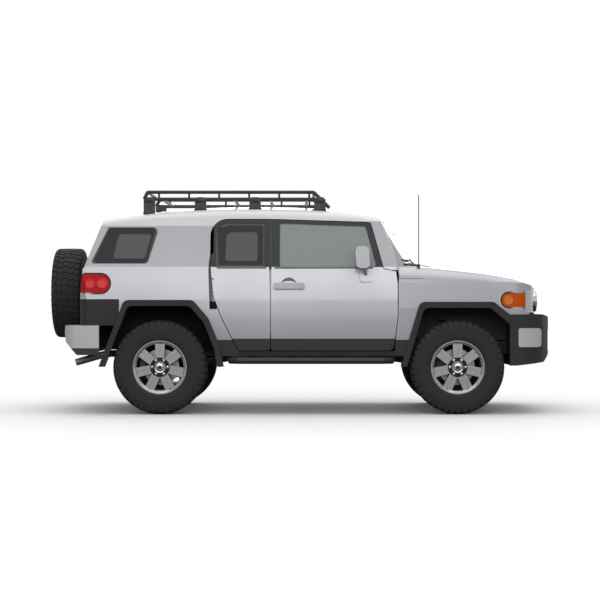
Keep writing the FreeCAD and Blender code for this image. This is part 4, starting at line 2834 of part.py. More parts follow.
def build():
    """Every node of the vehicle with its solids."""
    body = Body()
    nodes = {}
    nodes["frame_rails"] = frame_rails()
    nodes["cross_members"] = cross_members()
    nodes["hitch_receiver"] = [hitch_receiver()]
    nodes["body_floor"] = [body_floor(body)]
    nodes["inner_wings"] = [inner_wings(body, nodes["frame_rails"] + nodes["cross_members"])]
    quarter = quarter_panels(body)
    nodes["quarter_panels"] = [quarter, fused([mirrored(quarter)] + gate_strap(gate_hinge_top_z))]
    nodes["roof_panel"] = [roof_panel(body)]
    nodes["pillars"] = both(pillars(body)) + both(centre_pillars())
    nodes["sills"] = both(sills(body))
    nodes["windscreen"] = [windscreen(body)]
    nodes["quarter_glass"] = both(side_glass(body, quarter_window_points))
    nodes["front_wings"] = both(wings(body))
    nodes["cowl"] = [cowl(body)]
    nodes["bonnet"] = [bonnet(body)]
    nodes["grille"] = [grille()]
    nodes["headlamps"] = both(headlamps(body))
    nodes["side_lamps"] = both(amber_lamps(body))
    nodes["front_bumper"] = [front_bumper(body)]
    nodes["bumper_inserts"] = both(bumper_inserts())
    nodes["rear_bumper"] = [rear_bumper(body)]
    corner = corner_claddings(body)
    nodes["corner_claddings"] = [corner, fused([mirrored(corner)] + gate_strap(gate_hinge_low_z))]
    nodes["arch_flares"] = [s for f in flares(body) for s in both(f)]
    nodes["rock_rails"] = both(rock_rail())
    nodes["roof_rack"] = [roof_rack(body)]
    nodes["tail_lamps"] = both(tail_lamps(body))
    nodes["tailgate"] = [biggest(fused([tailgate(body), spare_carrier(body)]))]
    nodes["tailgate_glass"] = [gate_glass()]
    front_door = fused([front_doors(body), handle(handle_front_x)])
    rear_door = rear_doors(body)
    for side, name in ((1, "left"), (-1, "right")):
        turn = as_is if side > 0 else mirrored
        nodes["front_door_" + name] = [turn(biggest(front_door))]
        nodes["rear_door_" + name] = [turn(biggest(rear_door))]
        nodes["front_door_glass_" + name] = [turn(side_glass(body, front_window_points))]
        nodes["rear_door_glass_" + name] = [turn(side_glass(body, rear_window_points))]
        nodes["mirror_" + name] = [turn(mirror_left())]
        nodes["knuckle_" + name] = [turn(knuckle())]
    tyre_shape = tyre()
    rim_shape = rim(True)
    for name, x, side in (
        ("front_left", front_axle_x, 1),
        ("front_right", front_axle_x, -1),
        ("rear_left", rear_axle_x, 1),
        ("rear_right", rear_axle_x, -1),
    ):
        nodes["tyre_" + name] = [at_wheel(tyre_shape, x, side)]
        nodes["rim_" + name] = [at_wheel(rim_shape, x, side)]
    nodes["spare_tyre"] = [spare(tyre_shape)]
    nodes["spare_rim"] = [spare(rim(False))]
    nodes["front_suspension"] = front_suspension()
    axle = rear_axle()
    nodes["rear_axle"] = [axle]
    nodes["rear_suspension"] = rear_suspension(axle)
    nodes["powertrain"] = [powertrain()]
    nodes["driveline"] = driveline()
    nodes["fuel_tank"] = [fuel_tank()]
    nodes["exhaust"] = [exhaust()]
    nodes["seats"] = [
        seat(seat_x, seat_y, seat_w, 1),
        seat(seat_x, -seat_y, seat_w, 1),
        seat(bench_x, 0, bench_w, 2),
    ]
    nodes["dashboard"] = [dashboard(body)]
    nodes["steering_wheel"] = [steering_wheel()]
    nodes["aerial"] = [aerial(body)]
    return nodes


def save(nodes):
    """Write each node's solids to its own file."""
    os.makedirs("parts", exist_ok=True)
    for name, shapes in nodes.items():
        shape = shapes[0] if len(shapes) == 1 else Part.makeCompound(shapes)
        shape.exportStep("parts/" + name + ".step")


if __name__ == "__main__":
    save(build())
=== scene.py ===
import json
import logging
import math
from dataclasses import dataclass
from enum import Enum

import bmesh
import bpy
from mathutils import Matrix, Vector


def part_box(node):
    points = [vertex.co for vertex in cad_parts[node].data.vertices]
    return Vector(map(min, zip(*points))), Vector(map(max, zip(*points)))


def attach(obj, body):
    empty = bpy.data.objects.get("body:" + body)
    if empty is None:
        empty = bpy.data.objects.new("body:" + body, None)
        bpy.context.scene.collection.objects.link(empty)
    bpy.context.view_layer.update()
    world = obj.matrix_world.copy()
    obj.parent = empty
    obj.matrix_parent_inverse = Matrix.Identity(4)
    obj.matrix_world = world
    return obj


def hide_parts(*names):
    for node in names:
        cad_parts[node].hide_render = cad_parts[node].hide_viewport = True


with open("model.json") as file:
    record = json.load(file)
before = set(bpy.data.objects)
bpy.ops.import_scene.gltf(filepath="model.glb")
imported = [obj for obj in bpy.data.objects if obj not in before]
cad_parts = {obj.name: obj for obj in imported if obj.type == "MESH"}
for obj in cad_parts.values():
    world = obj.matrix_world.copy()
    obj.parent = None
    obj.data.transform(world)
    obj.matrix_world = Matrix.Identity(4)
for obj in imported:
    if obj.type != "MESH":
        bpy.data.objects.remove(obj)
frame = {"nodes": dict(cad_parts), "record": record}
LOG = logging.getLogger("off_road_car")

Point = tuple[float, float, float]
Flat = tuple[float, float]
Line = tuple[Flat, ...]
Corners = tuple[Point, ...]
Row = tuple[float, ...]
Tree = bpy.types.NodeTree
Socket = bpy.types.NodeSocket
AHEAD = (1.0, 0.0, 0.0)
BACK = (-1.0, 0.0, 0.0)
ORIGIN = (0.0, 0.0, 0.0)
SIDES = ((1, "left"), (-1, "right"))


# Colours, patterns and nodes


def linear(hex_colour: str) -> tuple[float, float, float, float]:
    """Turns an sRGB hex colour into linear light.

    Args:
        hex_colour: the colour, such as "#B4B5BA".

    Returns:
        Red, green, blue and an alpha of 1.
    """
    parts = [int(hex_colour[i:i + 2], 16) / 255 for i in (1, 3, 5)]
    light = [p / 12.92 if p <= 0.04045 else ((p + 0.055) / 1.055) ** 2.4 for p in parts]
    return (light[0], light[1], light[2], 1.0)


def per_metre(mark_mm: float) -> float:
    """Returns the scale of a pattern whose marks are mark_mm apart."""
    return 1000.0 / mark_mm


def add_node(tree: Tree, kind: str, settings: dict[str, object],
             inputs: dict[str | int, object]) -> bpy.types.Node:
    """Adds one node with its settings, values and links.

    Args:
        tree: the node tree that gets the node.
        kind: the node's type name.
        settings: the node's own settings by name.
        inputs: for each input, its value or the output that feeds it.

    Returns:
        The new node.
    """
    node = tree.nodes.new(kind)
    for name, value in settings.items():
        setattr(node, name, value)
    for name, value in inputs.items():
        if isinstance(value, Socket):
            tree.links.new(value, node.inputs[name])
        else:
            node.inputs[name].default_value = value
    return node


def joined(tree: Tree, operation: str, first: object, second: object) -> Socket:
    """Returns the output of an operation on two values or outputs."""
    return add_node(tree, "ShaderNodeMath", {"operation": operation}, {0: first, 1: second}).outputs[0]


def mixed(tree: Tree, share: Socket, first: object, second: object) -> Socket:
    """Returns the output of two colours mixed, with the share that the second one has."""
    return add_node(tree, "ShaderNodeMix", {"data_type": "RGBA"}, {0: share, 6: first, 7: second}).outputs[2]


class Marks(Enum):
    """The small marks that the making of a surface leaves on it."""

    GRAIN = "grain of a mould or a casting"
    BRUSHED = "long fine lines"
    WEAVE = "crossing threads"
    FLAKE = "flakes in a paint"
    PRISMS = "ribs of a lamp lens"


@dataclass(frozen=True)
class Surface:
    """What one finish gives the shader: values, or outputs of nodes."""

    colour: object
    roughness: object
    metallic: object
    coat: object
    height: object
    depth_mm: float


@dataclass(frozen=True)
class Coating:
    """What a piece is made of or painted with. Each kind draws its own nodes."""

    name: str

    def material(self) -> bpy.types.Material:
        """Returns the material, made on first use."""
        made = bpy.data.materials.get(self.name)
        if made is None:
            made = bpy.data.materials.new(self.name)
            made.use_nodes = True
            made.node_tree.nodes.clear()
            self.draw(
                made.node_tree, add_node(made.node_tree, "ShaderNodeTexCoord", {}, {}).outputs["Object"])
        return made

    def draw(self, tree: Tree, place: Socket) -> None:
        """Draws the nodes from the coordinates in metres to the output."""
        raise NotImplementedError


@dataclass(frozen=True)
class Finish(Coating):
    """A solid surface: the colours it varies between, its gloss and its marks."""

    colour: str
    second: str
    roughness: float
    metallic: float = 0.0
    coat: float = 0.0
    marks: Marks = Marks.GRAIN
    mark_mm: float = 6.0
    depth_mm: float = 0.15
    patch_mm: float = 320.0
    spread: float = 0.07
    sheen: float = 0.0
    specular: float = 0.5
    ior: float = 1.5
    coat_roughness: float = 0.04
    low_tint: str = ""
    low_tint_top_m: float = 0.62

    def height(self, tree: Tree, place: Socket) -> Socket:
        """Makes the pattern of the surface's marks.

        Args:
            tree: the node tree.
            place: the coordinates that the pattern lies in, in metres.

        Returns:
            The output that holds the marks' height.
        """
        scale = per_metre(self.mark_mm)
        if self.marks is Marks.BRUSHED:
            drawn = add_node(tree, "ShaderNodeMapping", {}, {"Vector": place, "Scale": (0.04, 1.0, 1.0)})
            return add_node(tree, "ShaderNodeTexNoise", {},
                            {"Vector": drawn.outputs[0], "Scale": scale, "Detail": 3.0}).outputs[0]
        if self.marks is Marks.WEAVE:
            threads = [
                add_node(tree, "ShaderNodeTexWave", {"bands_direction": way},
                         {"Vector": place, "Scale": scale / 6.283, "Distortion": 0.6}).outputs["Fac"]
                for way in ("X", "Z")
            ]
            return joined(tree, "MAXIMUM", *threads)
        if self.marks is Marks.FLAKE:
            return add_node(
                tree, "ShaderNodeTexVoronoi", {}, {"Vector": place, "Scale": scale}).outputs["Distance"]
        if self.marks is Marks.PRISMS:
            return add_node(tree, "ShaderNodeTexWave", {"bands_direction": "Z", "wave_profile": "TRI"},
                            {"Vector": place, "Scale": scale / 6.283}).outputs["Fac"]
        return add_node(tree, "ShaderNodeTexNoise", {},
                        {"Vector": place, "Scale": scale, "Detail": 2.0, "Roughness": 0.6}).outputs[0]

    def surface(self, tree: Tree, place: Socket) -> Surface:
        """Builds the finish's colour, gloss and marks.

        Args:
            tree: the node tree.
            place: the coordinates in metres.

        Returns:
            The values and outputs for the shader.
        """
        patches = add_node(
            tree, "ShaderNodeTexNoise", {},
            {"Vector": place, "Scale": per_metre(self.patch_mm), "Detail": 5.0}).outputs[0]
        share = add_node(
            tree, "ShaderNodeMapRange", {}, {"Value": patches, "From Min": 0.32, "From Max": 0.68}).outputs[0]
        colour = mixed(tree, share, linear(self.colour), linear(self.second))
        # Toward the bottom the colour is mixed in patches with a second colour: dust on the chassis, trim,
        # tyres and other dull parts, and on the silver paint a plain darkening toward the bottom.
        if self.low_tint:
            height = add_node(tree, "ShaderNodeSeparateXYZ", {}, {0: place}).outputs[2]
            low = add_node(
                tree, "ShaderNodeMapRange", {},
                {"Value": height, "From Min": self.low_tint_top_m, "From Max": 0.0, "To Max": 0.5}).outputs[0]
            colour = mixed(tree, joined(tree, "MULTIPLY", low, share), colour, linear(self.low_tint))
        roughness = add_node(
            tree, "ShaderNodeMapRange", {},
            {
                "Value": patches, "From Min": 0.3, "From Max": 0.7,
                "To Min": max(0.02, self.roughness - self.spread),
                "To Max": min(1.0, self.roughness + self.spread)}).outputs[0]
        return Surface(colour, roughness, self.metallic, self.coat, self.height(tree, place), self.depth_mm)

    def draw(self, tree: Tree, place: Socket) -> None:
        """Draws the whole surface."""
        self.shade(tree, self.surface(tree, place))

    def shade(self, tree: Tree, look: Surface) -> None:
        """Joins a surface to the shader and the output.

        Args:
            tree: the node tree.
            look: the surface's values and outputs.
        """
        bump = add_node(tree, "ShaderNodeBump", {},
                        {"Height": look.height, "Distance": look.depth_mm / 1000.0, "Strength": 0.6})
        shader = add_node(
            tree, "ShaderNodeBsdfPrincipled", {},
            {
                "Base Color": look.colour, "Roughness": look.roughness, "Metallic": look.metallic,
                "Coat Weight": look.coat, "Coat Roughness": self.coat_roughness, "IOR": self.ior,
                "Specular IOR Level": self.specular, "Sheen Weight": self.sheen, "Normal": bump.outputs[0]})
        add_node(tree, "ShaderNodeOutputMaterial", {}, {"Surface": shader.outputs[0]})


@dataclass(frozen=True)
class BandedFinish(Coating):
    """A panel in three finishes, one above the other: cladding, paint and a window frame, or on a handle cup
    painted light below painted shade.
    """

    low: Finish
    middle: Finish
    high: Finish
    low_top_m: float
    high_low_m: float

    def blend(self, tree: Tree, mask: Socket, a: Surface, b: Surface) -> Surface:
        """Mixes two surfaces by a mask.

        Args:
            tree: the node tree.
            mask: 0 where the first surface shows, and 1 where the second does.
            a: the first surface.
            b: the second surface.

        Returns:
            The mixed surface.
        """
        colour = mixed(tree, mask, a.colour, b.colour)
        numbers = [
            add_node(tree, "ShaderNodeMix", {}, {0: mask, 2: first, 3: second}).outputs[0] for first,
            second in (
                (a.roughness, b.roughness), (a.metallic, b.metallic), (a.coat, b.coat), (a.height, b.height))]
        return Surface(colour, *numbers, max(a.depth_mm, b.depth_mm))

    def draw(self, tree: Tree, place: Socket) -> None:
        """Draws the three bands.

        Args:
            tree: the node tree.
            place: the coordinates in metres.
        """
        height = add_node(tree, "ShaderNodeSeparateXYZ", {}, {0: place}).outputs[2]
        above = [joined(tree, "GREATER_THAN", height, edge) for edge in (self.low_top_m, self.high_low_m)]
        look = self.blend(tree, above[0], self.low.surface(tree, place), self.middle.surface(tree, place))
        look = self.blend(tree, above[1], look, self.high.surface(tree, place))
        self.middle.shade(tree, look)


@dataclass(frozen=True)
class LinedFinish(BandedFinish):
    """A painted panel, coated dark where it faces the wheels, with its high finish along its foot."""

    half_m: float = 0.862
    lining_top_m: float = 1.02

    def draw(self, tree: Tree, place: Socket) -> None:
        """Draws the paint, the lining and the foot.

        Args:
            tree: the node tree.
            place: the coordinates in metres.
        """
        axes = add_node(tree, "ShaderNodeSeparateXYZ", {}, {0: place}).outputs
        across = add_node(tree, "ShaderNodeMath", {"operation": "ABSOLUTE"}, {0: axes[1]}).outputs[0]
        within = joined(tree, "LESS_THAN", across, self.half_m)
        below = joined(tree, "LESS_THAN", axes[2], self.lining_top_m)
        lined = joined(tree, "MULTIPLY", within, below)
        look = self.blend(tree, lined, self.middle.surface(tree, place), self.low.surface(tree, place))
        foot = joined(tree, "LESS_THAN", axes[2], self.low_top_m)
        look = self.blend(tree, foot, look, self.high.surface(tree, place))
        self.middle.shade(tree, look)


@dataclass(frozen=True)
class Glazing(Coating):
    """Safety glass: it lets tinted light through, mirrors more at a slant, and has a pale diffuse layer mixed
    in as painted reflection.
    """

    tint: str
    second: str
    painted_reflection: str = "#A2ACA6"
    painted_reflection_share: float = 0.3
    shine: float = 1.0
    roughness: float = 0.015
    wave_mm: float = 420.0

    def draw(self, tree: Tree, place: Socket) -> None:
        """Draws the glass.

        Args:
            tree: the node tree.
            place: the coordinates in metres.
        """
        waves = add_node(
            tree, "ShaderNodeTexNoise", {}, {"Vector": place, "Scale": per_metre(self.wave_mm)}).outputs[0]
        tint = mixed(tree, waves, linear(self.tint), linear(self.second))
        bump = add_node(tree, "ShaderNodeBump", {}, {"Height": waves, "Distance": 0.0006, "Strength": 0.4})
        clear = add_node(tree, "ShaderNodeBsdfTransparent", {}, {"Color": tint})
        mirror = add_node(tree, "ShaderNodeBsdfGlossy", {},
                          {"Roughness": self.roughness, "Normal": bump.outputs[0],
                           "Color": (self.shine, self.shine, self.shine, 1.0)})
        slant = add_node(tree, "ShaderNodeFresnel", {}, {"IOR": 1.5, "Normal": bump.outputs[0]})
        # A diffuse layer in a pale colour, mixed into the pane as painted reflection of the bright
        # surroundings.
        reflection_layer = add_node(tree, "ShaderNodeBsdfDiffuse", {}, {"Color": linear(self.painted_reflection)})
        body = add_node(
            tree, "ShaderNodeMixShader", {}, {0: self.painted_reflection_share, 1: clear.outputs[0], 2: reflection_layer.outputs[0]})
        pane = add_node(
            tree, "ShaderNodeMixShader", {}, {0: slant.outputs[0], 1: body.outputs[0], 2: mirror.outputs[0]})
        add_node(tree, "ShaderNodeOutputMaterial", {}, {"Surface": pane.outputs[0]})


# Finishes of the car

# Silver metallic enamel under lacquer: bright, with a wet gloss, and darker toward the bottom below 0.9 m.
SILVER_PAINT = Finish(
    "silver_metallic_enamel", "#B4B5BA", "#ACADB2", 0.36, metallic=0.35, coat=0.8, marks=Marks.FLAKE,
    mark_mm=2.2, depth_mm=0.01, patch_mm=900.0, spread=0.03, low_tint="#8E8A84", low_tint_top_m=0.9)
# White enamel of the roof: flat and clean.
WHITE_PAINT = Finish(
    "white_enamel", "#E8E8E8", "#DFE0E0", 0.3, coat=0.7, marks=Marks.FLAKE, mark_mm=2.5, depth_mm=0.01,
    patch_mm=900.0, spread=0.03)
# Moulded polypropylene of flares and cladding: matt black, greyed by weather.
DARK_TRIM = Finish(
    "moulded_polypropylene", "#2A2A2D", "#313235", 0.62, mark_mm=5.0, depth_mm=0.25, patch_mm=260.0,
    spread=0.08, specular=0.32, low_tint="#4A4743", low_tint_top_m=0.6)
# Satin-painted bumper corners: softer than the body's gloss.
PALE_TRIM = Finish(
    "satin_painted_abs", "#C6C6C6", "#BEBFC1", 0.42, metallic=0.1, coat=0.3, mark_mm=3.0, depth_mm=0.04,
    patch_mm=500.0, spread=0.04)
# Powder-coated steel tube of the rack: slightly pebbled.
BLACK_STEEL = Finish(
    "powder_coated_steel", "#1E1F21", "#26272A", 0.42, mark_mm=2.4, depth_mm=0.2, patch_mm=180.0, spread=0.08,
    low_tint="#5A564F", low_tint_top_m=0.6)
# Waxed chassis steel: dull, dusty low down.
CHASSIS_STEEL = Finish(
    "waxed_chassis_steel", "#232426", "#2E2D2C", 0.62, metallic=0.2, mark_mm=9.0, depth_mm=0.35,
    patch_mm=120.0, low_tint="#6A6258", low_tint_top_m=0.75)
# Vulcanised tyre rubber: matt black, browned at the ground.
TYRE_RUBBER = Finish(
    "vulcanised_rubber", "#2C2C2E", "#323233", 0.72, mark_mm=3.5, depth_mm=0.3, patch_mm=90.0, specular=0.3,
    low_tint="#453F38", low_tint_top_m=0.12)
# Machined and lacquered aluminium of the wheels.
RIM_ALLOY = Finish(
    "lacquered_aluminium", "#B2B2B2", "#A3A3A4", 0.3, metallic=0.75, coat=0.4, marks=Marks.BRUSHED,
    mark_mm=1.6, depth_mm=0.02, patch_mm=160.0, spread=0.06)
# Sand-cast iron of hubs, axle and engine.
CAST_METAL = Finish(
    "sand_cast_iron", "#5C5C5E", "#4A4847", 0.6, metallic=0.7, mark_mm=4.0, depth_mm=0.5, patch_mm=70.0,
    low_tint="#6A6258", low_tint_top_m=0.6)
# Aluminised exhaust steel: pale grey, browned by heat.
EXHAUST_STEEL = Finish(
    "aluminised_steel", "#8B8782", "#6F665C", 0.45, metallic=0.85, mark_mm=6.0, depth_mm=0.1, patch_mm=140.0,
    marks=Marks.BRUSHED, low_tint="#6A6258", low_tint_top_m=0.6)
# Woven seat fabric with a nap.
SEAT_CLOTH = Finish(
    "woven_polyester", "#3E4045", "#34363A", 0.9, marks=Marks.WEAVE, mark_mm=7.0, depth_mm=0.5,
    patch_mm=150.0, sheen=0.3)
# Injection-moulded cabin plastic with leather grain.
CABIN_PLASTIC = Finish("grained_abs", "#3B3C3E", "#444547", 0.62, mark_mm=4.5, depth_mm=0.3, patch_mm=220.0)
# Blow-moulded fuel tank: black and waxy.
TANK_PLASTIC = Finish(
    "blow_moulded_polyethylene", "#1F2021", "#292A2A", 0.5, mark_mm=12.0, depth_mm=0.4, patch_mm=160.0,
    low_tint="#6A6258", low_tint_top_m=0.7)
# Red polycarbonate tail lens, ribbed.
RED_LENS = Finish(
    "red_polycarbonate", "#C8000A", "#B00008", 0.34, coat=0.04, specular=0.1, marks=Marks.PRISMS, mark_mm=9.0,
    depth_mm=0.3, patch_mm=60.0, spread=0.04)
# Amber polycarbonate side lens, ribbed.
AMBER_LENS = Finish(
    "amber_polycarbonate", "#DC5A00", "#C64C00", 0.3, coat=0.06, specular=0.14, marks=Marks.PRISMS,
    mark_mm=8.0, depth_mm=0.3, patch_mm=60.0, spread=0.04)
# Polycarbonate headlamp body.
CLEAR_LENS = Finish(
    "clear_polycarbonate", "#C9CCD0", "#B7BABF", 0.08, metallic=0.3, coat=1.0, marks=Marks.PRISMS,
    mark_mm=14.0, depth_mm=0.4, patch_mm=60.0, spread=0.03)
# Laminated glass, faintly green, half of it a pale diffuse layer as painted reflection.
CLEAR_GLASS = Glazing("tinted_safety_glass", "#B4BDB8", "#ADB6B1", "#C2CBC7", 0.5)
# Smoke-grey glass of the rear windows, with a grey diffuse layer mixed in as painted reflection.
DARK_GLASS = Glazing("privacy_glass", "#6A6B6C", "#626364", "#747676", 0.56)
# Silvered mirror glass.
MIRROR_GLASS = Finish(
    "silvered_mirror_glass", "#C4C8CA", "#BCC0C3", 0.03, metallic=1.0, mark_mm=40.0, depth_mm=0.01,
    patch_mm=200.0, spread=0.01)
# The pressed cup behind a handle, drawn as a thin dish whose hollow is painted: painted shade above, and
# painted light below where it faces the sky.
CUP_PAINTED_SHADE = Finish(
    "enamel_in_painted_cup_shade", "#7C7D82", "#75767B", 0.4, metallic=0.3, coat=0.6, marks=Marks.FLAKE, mark_mm=2.2,
    depth_mm=0.01, patch_mm=300.0, spread=0.03)
CUP_PAINTED_LIGHT = Finish(
    "enamel_in_painted_cup_light", "#C3C4C9", "#BCBDC2", 0.34, metallic=0.3, coat=0.8, marks=Marks.FLAKE, mark_mm=2.2,
    depth_mm=0.01, patch_mm=300.0, spread=0.03)
CUP_PAINTED_SHADING = BandedFinish("handle_cup_painted_shade_and_light", CUP_PAINTED_LIGHT, CUP_PAINTED_SHADE, CUP_PAINTED_SHADE, 1.158, 9.0)
DOOR_BANDS = BandedFinish("door_panel_finishes", DARK_TRIM, SILVER_PAINT, DARK_TRIM, 0.6825, 1.33)
# Sprayed underseal inside the wheel arches: pebbled and dull.
UNDERSEAL = Finish(
    "sprayed_underseal", "#141415", "#1B1B1B", 0.85, mark_mm=7.0, depth_mm=0.6, patch_mm=120.0, specular=0.15)
QUARTER_PAINT = LinedFinish("quarter_panel_finishes", UNDERSEAL, SILVER_PAINT, DARK_TRIM, 0.6725, 9.0)
WING_PAINT = LinedFinish("wing_finishes", UNDERSEAL, SILVER_PAINT, DARK_TRIM, 0.6725, 9.0, 0.835, 0.98)
# The rear bumper's pale shell on its dark valance.
BUMPER_BANDS = BandedFinish("rear_bumper_finishes", DARK_TRIM, PALE_TRIM, PALE_TRIM, 0.597, 9.0)
# Chromed headlamp rings and wheel nuts.
CHROME = Finish(
    "bright_chrome_plate", "#D2D3D5", "#C4C5C8", 0.08, metallic=1.0, mark_mm=30.0, depth_mm=0.02,
    patch_mm=60.0, spread=0.03)
# Reflecting bowl of a lamp, with a pressed pattern.
LAMP_BOWL = Finish(
    "aluminised_reflector", "#B9BBBE", "#8E9093", 0.18, metallic=0.9, marks=Marks.PRISMS, mark_mm=9.0,
    depth_mm=0.5, patch_mm=30.0, spread=0.05)
# Red and amber optics: brighter where the bulb sits.
BRIGHT_RED = Finish(
    "red_optic", "#F00A12", "#DC0610", 0.3, coat=0.08, marks=Marks.PRISMS, mark_mm=5.0, depth_mm=0.4,
    patch_mm=30.0, specular=0.3)
BRIGHT_AMBER = Finish(
    "amber_optic", "#F07E12", "#E2700A", 0.3, coat=0.1, marks=Marks.PRISMS, mark_mm=5.0, depth_mm=0.4,
    patch_mm=30.0, specular=0.3)
# Painted shade in the wheels' recesses: a dark grey laid in the hub well, the spokes' pockets and the barrel.
WHEEL_PAINTED_SHADE = Finish(
    "painted_shade_on_cast_aluminium", "#2A2A2B", "#1E1E1F", 0.6, metallic=0.3, mark_mm=3.0, depth_mm=0.1,
    patch_mm=50.0, specular=0.25)
# White reflective sheet of the blank number plates.
PLATE_SHEET = Finish(
    "reflective_sheet", "#DFE0DC", "#D6D7D3", 0.4, coat=0.3, mark_mm=2.0, depth_mm=0.03, patch_mm=120.0,
    spread=0.04)
# Almost clear glass of a lamp, with a faint pale diffuse layer as painted reflection.
LAMP_GLASS = Glazing("lamp_glass", "#E6EAEC", "#DDE2E4", "#C8CCCE", 0.08)

SLOT_FINISHES: dict[str, Coating] = {
    "body_paint": SILVER_PAINT, "roof_paint": WHITE_PAINT, "dark_trim": DARK_TRIM, "pale_trim": PALE_TRIM,
    "black_steel": BLACK_STEEL, "chassis_steel": CHASSIS_STEEL, "clear_glass": CLEAR_GLASS,
    "dark_glass": DARK_GLASS, "lamp_clear": CLEAR_LENS, "lamp_amber": AMBER_LENS, "lamp_red": RED_LENS,
    "tyre_rubber": TYRE_RUBBER, "rim_alloy": RIM_ALLOY, "cast_metal": CAST_METAL,
    "exhaust_steel": EXHAUST_STEEL, "seat_cloth": SEAT_CLOTH, "cabin_plastic": CABIN_PLASTIC,
    "tank_plastic": TANK_PLASTIC}


# Meshes


class Shaper:
    """Collects the faces of one piece, in metres, and turns them into an object."""

    def __init__(self) -> None:
        """Starts an empty mesh."""
        self.mesh = bmesh.new()

    def block(self, low: Point, high: Point, round_m: float = 0.004, turn: Matrix | None = None) -> None:
        """Adds a block with rounded edges.

        Args:
            low: its lowest corner.
            high: its highest corner.
            round_m: the radius of its edges.
            turn: a turn and shift given to it afterwards.
        """
        part = bmesh.new()
        bmesh.ops.create_cube(part, size=1.0)
        size = Vector(high) - Vector(low)
        middle = (Vector(high) + Vector(low)) / 2
        bmesh.ops.transform(
            part, matrix=Matrix.Translation(middle) @ Matrix.Diagonal((*size, 1.0)), verts=part.verts)
        if round_m > 0:
            bmesh.ops.bevel(part, geom=list(part.edges), offset=min(round_m, min(size) * 0.45), segments=3,
                            profile=0.5, affect="EDGES")
        self.take(part, turn)

    def prism(self, outline: list[Flat] | Line, axis: str, low: float, high: float, round_m: float = 0.003,
              turn: Matrix | None = None) -> None:
        """Adds a prism: an outline drawn out along an axis, with rounded ends.

        Args:
            outline: its corners in the other two axes, in order.
            axis: "x", "y" or "z".
            low: where it starts on that axis.
            high: where it ends.
            round_m: the radius of its end edges.
            turn: a turn and shift given to it afterwards.
        """
        part = bmesh.new()
        spot = {
            "x": lambda u, v, w: (w, u, v),
            "y": lambda u, v, w: (u, w, v),
            "z": lambda u, v, w: (u, v, w),
        }[axis]
        first = [part.verts.new(spot(u, v, low)) for u, v in outline]
        last = [part.verts.new(spot(u, v, high)) for u, v in outline]
        caps = [part.faces.new(first), part.faces.new(list(reversed(last)))]
        for i in range(len(outline)):
            j = (i + 1) % len(outline)
            part.faces.new((first[j], first[i], last[i], last[j]))
        bmesh.ops.recalc_face_normals(part, faces=part.faces)
        if round_m > 0:
            edges = [e for cap in caps for e in cap.edges]
            bmesh.ops.bevel(
                part, geom=edges, offset=min(round_m, abs(high - low) * 0.45), segments=2, profile=0.5,
                affect="EDGES")
        self.take(part, turn)

    def tube(self, points: list[Point], radius: float, sides: int = 16, closed: bool = False,
             turn: Matrix | None = None) -> None:
        """Adds a round bar or tube along a line of points.

        Args:
            points: the line's points.
            radius: the bar's radius.
            sides: how many sides it has.
            closed: whether the line runs back to its start.
            turn: a turn and shift given to it afterwards.
        """
        part = bmesh.new()
        line = [Vector(p) for p in points]
        rings = []
        side = None
        for i, spot in enumerate(line):
            after = line[(i + 1) % len(line)] if closed or i + 1 < len(line) else spot
            before = line[i - 1] if closed or i else spot
            run = (after - before).normalized()
            if side is None:
                side = run.orthogonal().normalized()
            side = (side - run * side.dot(run)).normalized()
            over = run.cross(side)
            rings.append([part.verts.new(spot + radius * (math.cos(a) * side + math.sin(a) * over))
                          for a in (2 * math.pi * k / sides for k in range(sides))])
        pairs = list(zip(rings, rings[1:])) + ([(rings[-1], rings[0])] if closed else [])
        for one, two in pairs:
            for k in range(sides):
                part.faces.new((one[k], one[(k + 1) % sides], two[(k + 1) % sides], two[k]))
        if not closed:
            part.faces.new(list(reversed(rings[0])))
            part.faces.new(rings[-1])
        bmesh.ops.recalc_face_normals(part, faces=part.faces)
        self.take(part, turn)

    def lathe(self, profile: list[Flat] | Line, centre: Point, axis: str, steps: int = 48,
              turn: Matrix | None = None) -> None:
        """Adds a turned form: a profile of (along the axis, radius) spun about an axis.

        Args:
            profile: its points, from one end to the other.
            centre: the point on the axis that "along" counts from.
            axis: "x", "y" or "z".
            steps: how many steps it takes round.
            turn: a turn and shift given to it afterwards.
        """
        part = bmesh.new()
        spot = {
            "x": lambda w, a, b: (w, a, b),
            "y": lambda w, a, b: (b, w, a),
            "z": lambda w, a, b: (a, b, w),
        }[axis]
        rings = []
        for along, radius in profile:
            if radius < 1e-6:
                rings.append([part.verts.new(Vector(centre) + Vector(spot(along, 0.0, 0.0)))])
                continue
            rings.append(
                [
                    part.verts.new(
                        Vector(centre) + Vector(spot(along, radius * math.cos(a), radius * math.sin(a))))
                    for a in (2 * math.pi * k / steps for k in range(steps))])
        for one, two in zip(rings, rings[1:]):
            for k in range(steps):
                j = (k + 1) % steps
                corners = [one[k % len(one)], one[j % len(one)], two[j % len(two)], two[k % len(two)]]
                unique = list(dict.fromkeys(corners))
                if len(unique) > 2:
                    part.faces.new(unique)
        bmesh.ops.recalc_face_normals(part, faces=part.faces)
        self.take(part, turn)

    def loft(self, loops: list[list[Point]], ends: bool = False) -> None:
        """Adds a skin between closed loops of as many points each.

        Args:
            loops: the loops, in order.
            ends: whether the first and the last loop are closed with faces.
        """
        part = bmesh.new()
        rows = [[part.verts.new(spot) for spot in loop] for loop in loops]
        count = len(loops[0])
        for one, two in zip(rows, rows[1:]):
            for k in range(count):
                j = (k + 1) % count
                part.faces.new((one[k], one[j], two[j], two[k]))
        if ends:
            part.faces.new(rows[0])
            part.faces.new(list(reversed(rows[-1])))
        self.take(part, None)

